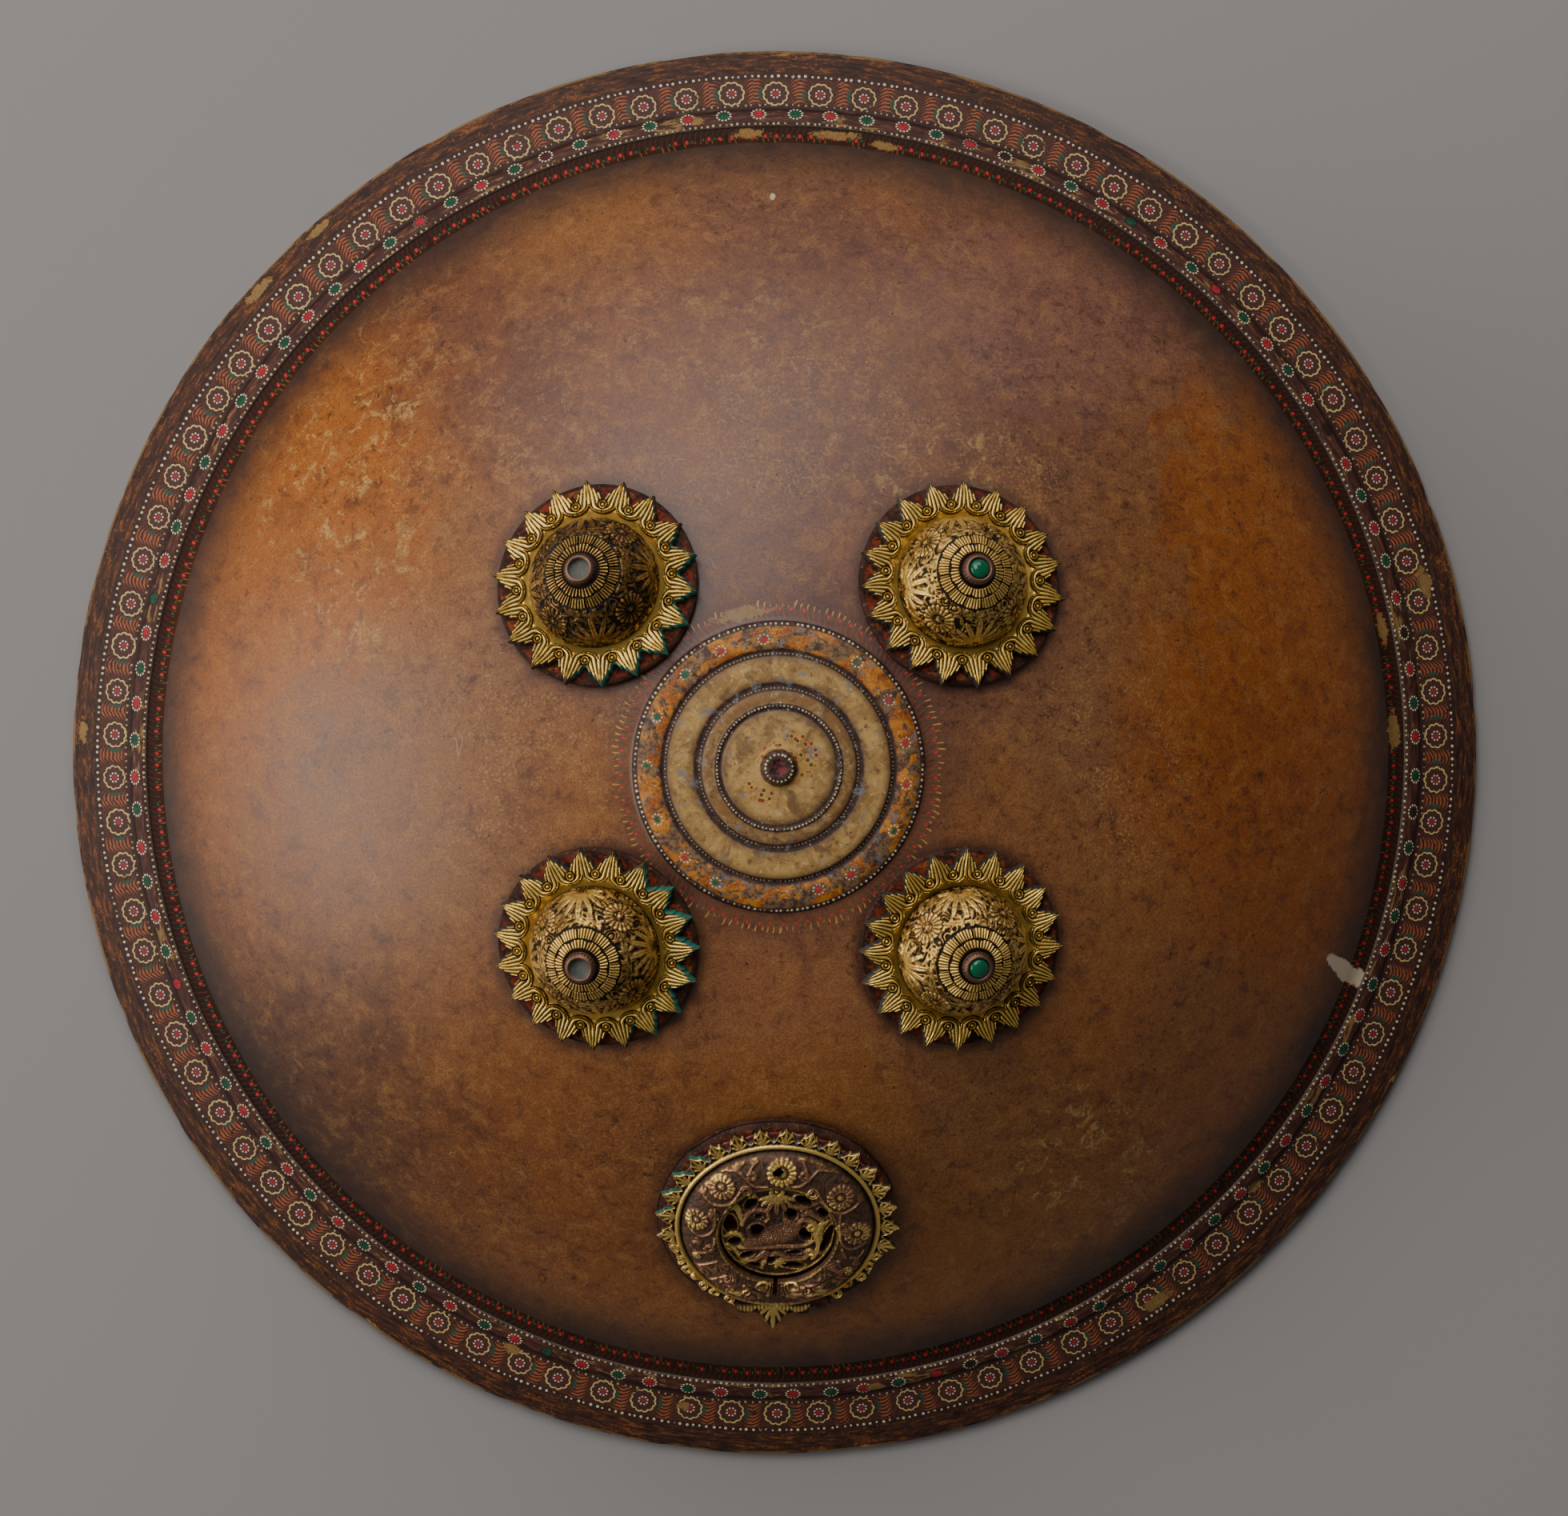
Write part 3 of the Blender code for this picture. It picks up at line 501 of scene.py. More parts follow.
def small_ring(tree, x, y, across, up, number, size, soft=0.1):
    """Mask of a little ring of dots round (x, y) = 0, on an ellipse."""
    u = add(tree, "Math", x, across, operation="DIVIDE")
    v = add(tree, "Math", y, up, operation="DIVIDE")
    rho = add(
        tree, "Math",
        add(tree, "Math", u, u, add(tree, "Math", v, v, operation="MULTIPLY"), operation="MULTIPLY_ADD"),
        operation="SQRT",
    )
    turn_socket = add(
        tree, "Math", add(tree, "Math", v, u, operation="ARCTAN2"), math.tau, operation="DIVIDE"
    )
    _, part = cell_round(tree, turn_socket, number)
    mean = (across + up) / 2
    along = add(tree, "Math", part, math.tau * mean / number, operation="MULTIPLY")
    out = add(tree, "Math", add(tree, "Math", rho, 1, operation="SUBTRACT"), mean, operation="MULTIPLY")
    return disc(tree, along, out, size, soft), rho, turn_socket


def patch(tree, polar, x, y, across, up, wander, lean=0.0, soft=0.35):
    """Mask of a soft irregular patch of the field, placed in millimetres."""
    c, s = math.cos(math.radians(lean)), math.sin(math.radians(lean))
    dx = add(tree, "Math", polar.x, x, operation="SUBTRACT")
    dy = add(tree, "Math", polar.y, y, operation="SUBTRACT")
    u = add(
        tree, "Math", add(tree, "Math", dx, c / across, operation="MULTIPLY"),
        add(tree, "Math", dy, s / across, operation="MULTIPLY"), operation="ADD",
    )
    v = add(
        tree, "Math", add(tree, "Math", dy, c / up, operation="MULTIPLY"),
        add(tree, "Math", dx, s / up, operation="MULTIPLY"), operation="SUBTRACT",
    )
    rho = add(
        tree, "Math",
        add(tree, "Math", u, u, add(tree, "Math", v, v, operation="MULTIPLY"), operation="MULTIPLY_ADD"),
        operation="SQRT",
    )
    edge = add(tree, "Math", rho, wander, operation="ADD")
    return mask(tree, (edge, 1 - soft, 1 + soft, 1.0, 0.0))


# The hide plate's paint.
def boss_shadow(tree, polar, bosses, crest):
    """Mask of painted shade on the field round the pads."""
    wander = add(
        tree, "Math", add(tree, "TexNoise", polar.place, Scale=1 / 9, Detail=3, Roughness=0.55), 0.10, -0.05,
        operation="MULTIPLY_ADD",
    )
    total = None
    for turn_degrees in (45, 135, 225, 315):
        x = bosses.distance / MM * math.cos(math.radians(turn_degrees))
        y = bosses.distance / MM * math.sin(math.radians(turn_degrees))
        size = bosses.pad_radius / MM + 1.6
        here = patch(tree, polar, x, y, size, size, wander, soft=0.07)
        total = here if total is None else add(tree, "Math", total, here, operation="MAXIMUM")
    tilt = math.cos(math.asin(crest.distance / (305 * MM)))
    size = crest.pad_radius / MM + 3
    here = patch(tree, polar, 0, -crest.distance / MM, size, size * tilt, wander, soft=0.1)
    return add(tree, "Math", total, here, operation="MAXIMUM")


def strewn(tree, polar, wander, lean, spots):
    """Mask of soft patches, each given as across, up, half width, half height and share."""
    total = None
    for x, y, across, up, share in spots:
        here = mask(tree, patch(tree, polar, x, y, across, up, wander, lean, 0.6), share)
        total = here if total is None else add(tree, "Math", total, here, operation="MAXIMUM")
    return total


# Patches of the field: across, up, half width, half height, lean, softness, share and colour.
HIDE_PATCHES = (
    (14, 148, 118, 52, 4, 0.5, 0.6, "703C28"),
    (100, 160, 50, 34, -20, 0.5, 0.7, "8E5E4C"),
    (5, 66, 78, 62, 0, 0.5, 0.7, "734838"),
    (10, -66, 84, 44, 0, 0.5, 0.7, "9A6440"),
    (-128, -18, 66, 74, 20, 0.5, 0.4, "92603A"),
    (-172, 90, 48, 80, -32, 0.35, 0.95, "AA5E06"),
    (-200, 36, 28, 54, -8, 0.4, 0.85, "A25A08"),
    (-196, -40, 30, 50, 10, 0.5, 0.5, "93500F"),
    (-112, 150, 34, 44, 30, 0.5, 0.5, "643622"),
    (188, 66, 42, 72, 20, 0.16, 0.9, "9E5406"),
    (174, -14, 50, 70, 24, 0.3, 0.9, "9A5006"),
    (150, -132, 46, 44, 30, 0.6, 0.8, "96582A"),
    (60, -180, 104, 38, 6, 0.5, 0.6, "9C6028"),
    (-120, -112, 60, 48, 40, 0.6, 0.5, "8A5428"),
    (-70, -150, 60, 40, -20, 0.5, 0.5, "7E4418"),
    (98, 12, 26, 44, 0, 0.6, 0.5, "90603C"),
    (-176, -132, 44, 62, 44, 0.9, 0.6, "34201A"),
    (112, -56, 46, 44, 0, 0.5, 0.55, "A46636"),
)


def hide_paint(tree, polar, plate, bosses, crest):
    """Colour, roughness and height of the lacquered hide."""
    broad = add(tree, "TexNoise", polar.place, Scale=1 / 70, Detail=4, Roughness=0.55, Distortion=0.4)
    middle = add(tree, "TexNoise", polar.place, Scale=1 / 19, Detail=5, Roughness=0.62, Distortion=0.6)
    fine = add(tree, "TexNoise", polar.place, Scale=1 / 3.4, Detail=5, Roughness=0.68, Distortion=0.3)
    dust = add(tree, "TexNoise", polar.place, Scale=1 / 0.75, Detail=3, Roughness=0.6)
    wander = add(tree, "Math", middle, 1.7, -0.85, operation="MULTIPLY_ADD")
    wide = add(tree, "Math", broad, 1.5, -0.75, operation="MULTIPLY_ADD")
    tone = coat(tree, plate.hide, plate.hide_orange, (broad, 0.36, 0.62))
    for x, y, across, up, lean, soft, share, hue in HIDE_PATCHES:
        here = patch(tree, polar, x, y, across, up, wide if across > 60 else wander, lean, soft)
        tone = coat(tree, tone, hue, here, share)

    spots = ((-152, 100, 32, 56, 0.85), (60, 104, 40, 18, 0.6), (-98, 118, 36, 30, 0.3))
    spots += ((112, -146, 26, 30, 0.75), (-20, 150, 60, 22, 0.3))
    flecks = strewn(tree, polar, wander, -8, spots)
    worn = mask(
        tree,
        (
            add(tree, "TexNoise", polar.place, Scale=1 / 8.5, Detail=6, Roughness=0.78, Distortion=0.9), 0.53,
            0.6,
        ),
    )
    speckle = mask(
        tree, (add(tree, "TexNoise", polar.place, Scale=1 / 1.7, Detail=4, Roughness=0.7), 0.42, 0.56)
    )
    tone = coat(
        tree, tone, plate.hide_cream, flecks, worn,
        add(tree, "Math", speckle, 0.6, 0.35, operation="MULTIPLY_ADD"),
    )

    mottle = add(tree, "TexNoise", polar.place, Scale=1 / 7.5, Detail=5, Roughness=0.72, Distortion=0.5)
    tone = coat(tree, tone, "4A2418", (middle, 0.44, 0.40), 0.2)
    tone = coat(tree, tone, "B4803E", (mottle, 0.52, 0.62), 0.27)
    tone = coat(tree, tone, "4A2414", (mottle, 0.46, 0.36), 0.42)
    spots = ((-82, 6, 46, 50, 0.8), (122, -4, 24, 46, 0.9), (20, 118, 80, 30, 0.5))
    spots += ((70, 92, 34, 22, 0.8), (0, -126, 90, 26, 0.5), (112, -140, 34, 34, 0.5))
    sandy = strewn(tree, polar, wander, 10, spots)
    grit = mask(
        tree, (add(tree, "TexNoise", polar.place, Scale=1 / 1.15, Detail=3, Roughness=0.7), 0.52, 0.6)
    )
    sand = mask(
        tree, grit,
        (
            add(tree, "TexNoise", polar.place, Scale=1 / 22, Detail=5, Roughness=0.7, Distortion=0.8), 0.45,
            0.55,
        ),
        sandy,
    )
    tone = coat(tree, tone, "BE9254", sand, 0.7)
    pores = mask(tree, (fine, 0.53, 0.66))
    tone = coat(tree, tone, "AE7A3E", pores, (middle, 0.40, 0.58), 0.3)
    pits = mask(tree, (fine, 0.45, 0.33))
    tone = coat(tree, tone, "3A1B0E", pits, (broad, 0.66, 0.4), 0.62)
    specks = mask(tree, (add(tree, "TexVoronoi", polar.place, Scale=1 / 6.5), 0.10, 0.05))
    keep = mask(
        tree, (add(tree, "TexNoise", polar.place, Scale=1 / 24, Detail=2, Roughness=0.55), 0.48, 0.58)
    )
    tone = coat(tree, tone, "24110B", specks, keep, 0.8)
    tone = add(
        tree, "Mix", mask(tree, (dust, 0.40, 0.60), 0.42), tone, "9A6B45", data_type="RGBA",
        blend_type="MULTIPLY",
    )

    lines = add(
        tree, "Math",
        add(
            tree, "Math",
            add(tree, "TexNoise", polar.place, Scale=1 / 42, Detail=1, Roughness=0.4, Distortion=1.2), 0.5,
            operation="SUBTRACT",
        ),
        operation="ABSOLUTE",
    )
    scratch = mask(
        tree, (lines, 0.0022, 0.0006),
        (add(tree, "TexNoise", polar.place, Scale=1 / 11, Detail=2, Roughness=0.55), 0.56, 0.64),
    )
    tone = coat(tree, tone, coat(tree, "2E150C", "B58A62", (broad, 0.48, 0.52)), scratch, 0.6)

    # Painted shade round the pads of the bosses and of the crest.
    dark = plate.pad_shade
    pad_shadow = boss_shadow(tree, polar, bosses, crest)
    tone = coat(tree, tone, dark, pad_shadow, 0.6)
    # Darker towards the edge of the field: dark paint, and painted shade of the hollow before the bead.
    uneven = add(tree, "Math", middle, 18, polar.radius, operation="MULTIPLY_ADD")
    uneven = add(tree, "Math", fine, 7, uneven, operation="MULTIPLY_ADD")
    edge_paint_and_shade = mask(tree, (uneven, 216, 241))
    tone = coat(tree, tone, "24110C", edge_paint_and_shade, 0.94)
    inner = mask(
        tree, (add(tree, "Math", middle, 12, polar.radius, operation="MULTIPLY_ADD"), 60, 74, 1.0, 0.0)
    )
    tone = coat(tree, tone, "4C2E28", inner, 0.5)
    rough = add(
        tree, "Math", add(tree, "Math", fine, 0.22, operation="MULTIPLY"),
        add(tree, "Math", mottle, 0.2, 0.24, operation="MULTIPLY_ADD"), operation="ADD",
    )
    height = add(
        tree, "Math", add(tree, "Math", fine, 0.6, operation="MULTIPLY"),
        add(tree, "Math", dust, 0.4, operation="MULTIPLY"), operation="ADD",
    )
    return tone, rough, height


def fringe(tree, polar, outer, inner, number, ground, shades, ring, drop):
    """Painted fringe: slanted strokes with gold tips, and red and green drops between them."""
    depth = add(
        tree, "Math", add(tree, "Math", outer, polar.radius, operation="SUBTRACT"), outer - inner,
        operation="DIVIDE",
    )
    sweep = add(
        tree, "Math",
        add(tree, "Math", depth, add(tree, "Math", 1.35, depth, operation="SUBTRACT"), operation="MULTIPLY"),
        -1.5, operation="MULTIPLY",
    )
    sweep = add(
        tree, "Math", add(tree, "TexNoise", polar.place, Scale=1 / 5, Detail=1, Roughness=0.55), 0.7, sweep,
        operation="MULTIPLY_ADD",
    )
    index, part = cell_round(tree, polar.turn, number, sweep)
    first, _, _ = dice(tree, index)
    ragged = add(tree, "TexNoise", polar.place, Scale=1 / 1.2, Detail=2, Roughness=0.55)
    wide = add(tree, "Math", ragged, 0.22, 0.01, operation="MULTIPLY_ADD")
    stroke = mask(
        tree,
        (
            add(tree, "Math", wide, add(tree, "Math", part, operation="ABSOLUTE"), operation="SUBTRACT"),
            -0.035, 0.035,
        ),
    )
    longer = add(tree, "Math", first, 0.35, 0.72, operation="MULTIPLY_ADD")
    span = mask(
        tree, (depth, 0.0, 0.12), (add(tree, "Math", longer, depth, operation="SUBTRACT"), -0.04, 0.06)
    )
    thin = mask(tree, (add(tree, "TexNoise", polar.place, Scale=1 / 6, Detail=3, Roughness=0.55), 0.32, 0.44))
    hue = coat(tree, shades[0], shades[1], (depth, 0.55, 0.85))
    tone = coat(tree, ground, hue, stroke, span, thin, 0.9)
    index, part = cell_round(tree, polar.turn, number, add(tree, "Math", sweep, 0.5, operation="ADD"))
    first, _, third = dice(tree, add(tree, "Math", index, 7.5, operation="ADD"))
    x = add(tree, "Math", part, math.tau * ring / number, operation="MULTIPLY")
    y = add(
        tree, "Math", add(tree, "Math", polar.radius, ring, operation="SUBTRACT"),
        add(tree, "Math", first, 0.6, -0.3, operation="MULTIPLY_ADD"), operation="ADD",
    )
    even = mask(
        tree,
        (add(tree, "Math", add(tree, "Math", index, 2, operation="MODULO"), operation="ABSOLUTE"), 0.4, 0.6),
    )
    grown = add(tree, "Math", even, -0.3 * drop, drop, operation="MULTIPLY_ADD")
    shown = mask(tree, (third, 0.12, 0.2))
    drops = mask(tree, disc(tree, x, add(tree, "Math", y, 0.7, operation="MULTIPLY"), grown, 0.12), shown)
    return coat(tree, tone, coat(tree, "C4302E", "2C5A3A", even), drops)


def border_paint(tree, polar, plate):
    """Colour of the bead, the flower band and the plain border, with the border's streaks and chips."""
    radius, place = polar.radius, polar.place
    drawn = polar.streak(tree, 245, 6)
    streaks = add(tree, "TexNoise", drawn, Scale=1 / 7, Detail=5, Roughness=0.7, Distortion=0.5)
    rubbed = add(tree, "TexNoise", place, Scale=1 / 16, Detail=4, Roughness=0.6)
    fleck = add(tree, "TexNoise", place, Scale=1 / 1.1, Detail=3, Roughness=0.7)

    ochre = mask(
        tree,
        (
            add(tree, "Math", streaks, add(tree, "Math", rubbed, 0.7, operation="MULTIPLY"), operation="ADD"),
            0.93, 1.0,
        ),
    )
    tone = coat(tree, "3A1E17", "63382A", (streaks, 0.4, 0.64))
    tone = coat(tree, tone, "9A7842", ochre, 0.75)
    tone = coat(tree, tone, coat(tree, "2A1B1A", "8A8272", fleck), between(tree, radius, 231.0, 231.9, 0.4))
    # Dark groove outside the bead: black paint and painted shade.
    groove = between(tree, radius, 236.9, 238.6, 0.5)
    tone = coat(tree, tone, "2A0F0A", groove, 0.8)

    ground = coat(tree, "2C1B18", plate.band, (fleck, 0.35, 0.65))
    tone = coat(tree, tone, ground, (radius, 238.3, 238.8))

    # Flower band: one flower, one green stroke and a fan of orange strokes to each cell.
    index, part = cell_round(tree, polar.turn, 94)
    pitch = math.tau * 243.9 / 94
    first, second, third = dice(tree, add(tree, "Math", index, 0.5, operation="ADD"))
    across = add(
        tree, "Math", add(tree, "Math", part, pitch, operation="MULTIPLY"),
        add(tree, "Math", first, 1.4, -0.7, operation="MULTIPLY_ADD"), operation="ADD",
    )
    up = add(
        tree, "Math", add(tree, "Math", radius, 243.9, operation="SUBTRACT"),
        add(tree, "Math", second, 0.5, -0.25, operation="MULTIPLY_ADD"), operation="ADD",
    )
    grown = add(tree, "Math", third, 0.5, 4.25, operation="MULTIPLY_ADD")
    u = add(tree, "Math", across, grown, operation="DIVIDE")
    v = add(tree, "Math", up, add(tree, "Math", grown, 0.95, operation="MULTIPLY"), operation="DIVIDE")
    rho = add(
        tree, "Math",
        add(tree, "Math", u, u, add(tree, "Math", v, v, operation="MULTIPLY"), operation="MULTIPLY_ADD"),
        operation="SQRT",
    )
    lobes = add(
        tree, "Math",
        add(
            tree, "Math",
            add(
                tree, "Math", add(tree, "Math", v, u, operation="ARCTAN2"), 5.5, first,
                operation="MULTIPLY_ADD",
            ),
            operation="SINE",
        ),
        operation="ABSOLUTE",
    )
    ring_at = add(
        tree, "Math", add(tree, "Math", lobes, 0.7, operation="POWER"), 0.13, 0.87, operation="MULTIPLY_ADD"
    )
    off_ring = add(tree, "Math", add(tree, "Math", rho, ring_at, operation="SUBTRACT"), operation="ABSOLUTE")
    hand = add(
        tree, "Math", add(tree, "TexNoise", place, Scale=1 / 1.6, Detail=2, Roughness=0.55), 0.09, 0.018,
        operation="MULTIPLY_ADD",
    )
    outline = mask(tree, (add(tree, "Math", hand, off_ring, operation="SUBTRACT"), -0.022, 0.022))
    worn = mask(tree, (add(tree, "TexNoise", place, Scale=1 / 10, Detail=4, Roughness=0.7), 0.33, 0.42))
    inside = mask(tree, (rho, 0.84, 0.92, 1.0, 0.0))

    # Strokes in the gap, measured from the gap's middle, which is the cell's edge.
    _, gap_part = cell_round(tree, polar.turn, 94, 0.5)
    gap_x = add(tree, "Math", gap_part, pitch, operation="MULTIPLY")
    fan = add(tree, "Math", add(tree, "Math", gap_x, gap_x, operation="MULTIPLY"), 0.11, operation="MULTIPLY")
    wavy = add(
        tree, "Math",
        add(
            tree, "Math", add(tree, "TexNoise", place, Scale=1 / 2.6, Detail=2, Roughness=0.55), 1.1, fan,
            operation="MULTIPLY_ADD",
        ),
        add(
            tree, "Math", up, 0.72, add(tree, "Math", gap_x, 0.22, operation="MULTIPLY"),
            operation="MULTIPLY_ADD",
        ),
        operation="ADD",
    )
    lines = add(
        tree, "Math",
        add(tree, "Math", add(tree, "Math", wavy, operation="FRACT"), 0.5, operation="SUBTRACT"),
        operation="ABSOLUTE",
    )
    line = mask(tree, (lines, 0.18, 0.34, 1.0, 0.0))
    gap_zone = mask(tree, (rho, 1.02, 1.12), between(tree, radius, 239.9, 249.4, 0.3))
    strong = add(tree, "Math", between(tree, gap_x, -2.4, 2.0, 1.2), 0.6, 0.35, operation="MULTIPLY_ADD")
    hue = coat(tree, "6A3A2A", plate.orange, strong)
    orange = mask(
        tree, line, gap_zone,
        (add(tree, "TexNoise", place, Scale=1 / 2.6, Detail=3, Roughness=0.7), 0.3, 0.46), strong,
    )
    band_tone = coat(
        tree, tone, "57302A", inside, add(tree, "Math", fleck, 0.6, 0.35, operation="MULTIPLY_ADD")
    )
    band_tone = coat(tree, band_tone, hue, orange)
    bend = add(
        tree, "Math", add(tree, "Math", up, up, operation="MULTIPLY"), 0.1,
        add(tree, "Math", gap_x, 2.2, operation="ADD"), operation="MULTIPLY_ADD",
    )
    leaf = add(
        tree, "Math", 0.62,
        add(tree, "Math", add(tree, "Math", up, up, operation="MULTIPLY"), 0.075, operation="MULTIPLY"),
        operation="SUBTRACT",
    )
    green = mask(
        tree,
        (
            add(tree, "Math", leaf, add(tree, "Math", bend, operation="ABSOLUTE"), operation="SUBTRACT"),
            -0.12, 0.12,
        ),
        (add(tree, "TexNoise", place, Scale=1 / 3, Detail=2, Roughness=0.55), 0.3, 0.4),
    )
    band_tone = coat(tree, band_tone, "1E5240", green, 0.9)
    band_tone = coat(tree, band_tone, coat(tree, plate.gold, "E6D08A", fleck), outline, worn)
    petal, _, _ = small_ring(tree, across, up, 1.62, 1.52, 8, 0.34, 0.1)
    centre = disc(tree, across, up, 0.95, 0.2)
    band_tone = coat(tree, band_tone, "A02834", centre, 0.95)
    band_tone = coat(tree, band_tone, plate.dot, petal, (worn, 0.2, 0.5))

    # Rows of dots, and the jewels on the bead.
    faded = mask(tree, (add(tree, "TexNoise", place, Scale=1 / 7, Detail=4, Roughness=0.75), 0.36, 0.45))
    for ring, number, size, hue in (
        (250.4, 644, 0.47, "E2D3A4"), (239.4, 600, 0.38, "B49A6C"), (232.4, 672, 0.4, "D2C398")
    ):
        row = dot_row(tree, radius, polar.turn, ring, number, size, 0.14, 0.1)
        band_tone = coat(tree, band_tone, hue, row, faded)
    index, part = cell_round(tree, polar.turn, 112)
    first, second, third = dice(tree, add(tree, "Math", index, 3.5, operation="ADD"))
    x = add(
        tree, "Math", add(tree, "Math", part, math.tau * 235.8 / 112, operation="MULTIPLY"),
        add(tree, "Math", first, 1.6, -0.8, operation="MULTIPLY_ADD"), operation="ADD",
    )
    ring_dots, rho, _ = small_ring(
        tree, x, add(tree, "Math", radius, 235.9, operation="SUBTRACT"), 2.5, 1.75, 12, 0.34, 0.1
    )
    gem = mask(tree, (rho, 0.72, 0.84, 1.0, 0.0))
    odd = mask(
        tree,
        (add(tree, "Math", add(tree, "Math", index, 2, operation="MODULO"), operation="ABSOLUTE"), 0.4, 0.6),
    )
    low = coat(tree, "8E1E26", "123C2A", odd)
    gem_tone = coat(tree, low, coat(tree, plate.red, plate.green, odd), (fleck, 0.42, 0.66))
    left = mask(tree, (second, 0.05, 0.1))
    band_tone = coat(tree, band_tone, "26130F", (rho, 1.0, 1.12, 1.0, 0.0), 0.8)
    band_tone = coat(tree, band_tone, gem_tone, gem, left)
    band_tone = coat(tree, band_tone, plate.dot, ring_dots, (third, 0.10, 0.16))

    # Plain border, rubbed and chipped.
    plain = coat(tree, "2A1611", plate.border, (streaks, 0.35, 0.62))
    plain = coat(
        tree, plain, plate.border_worn,
        (
            add(tree, "Math", streaks, add(tree, "Math", fleck, 0.45, operation="MULTIPLY"), operation="ADD"),
            0.76, 0.9,
        ),
        0.7,
    )
    plain = coat(tree, plain, "A5662E", (fleck, 0.58, 0.68), (rubbed, 0.46, 0.6), 0.7)
    line_edge = between(tree, radius, 259.1, 260.2, 0.2)
    plain = coat(tree, plain, "8A6A3C", line_edge, (rubbed, 0.42, 0.54), 0.8)
    worn_edge = add(
        tree, "Math",
        add(
            tree, "Math", add(tree, "TexNoise", drawn, Scale=1 / 10, Detail=5, Roughness=0.75), 20,
            operation="MULTIPLY",
        ),
        radius, operation="ADD",
    )
    chips = mask(
        tree, (worn_edge, 270.6, 271.2),
        (
            add(
                tree, "TexNoise",
                add(tree, "VectorMath", polar.direction, (245, 245, 245), operation="MULTIPLY"), Scale=1 / 40,
                Detail=2, Roughness=0.55,
            ),
            0.47, 0.56,
        ),
    )
    plain = coat(tree, plain, coat(tree, "7A5426", "B48A48", fleck), chips)
    tone = coat(tree, band_tone, plain, (radius, 251.3, 252.0))
    return tone, streaks, chips


def losses(tree, polar, tone, spots):
    """Paint lost down to tan hide, and where. A spot is turn, half width, radius and half depth."""
    ragged = add(
        tree, "Math", add(tree, "TexNoise", polar.place, Scale=1 / 3.0, Detail=6, Roughness=0.8), 3.6, -1.8,
        operation="MULTIPLY_ADD",
    )
    shade = add(tree, "TexNoise", polar.place, Scale=1 / 1.3, Detail=3, Roughness=0.55)
    total = None
    for turn_degrees, half, ring, depth in spots:
        x = ring * math.cos(math.radians(turn_degrees))
        y = ring * math.sin(math.radians(turn_degrees))
        here = patch(tree, polar, x, y, ring * math.radians(half), depth, ragged, turn_degrees + 90, 0.1)
        total = here if total is None else add(tree, "Math", total, here, operation="MAXIMUM")
    return coat(tree, tone, coat(tree, "6E4E26", "A8824A", shade), total), total


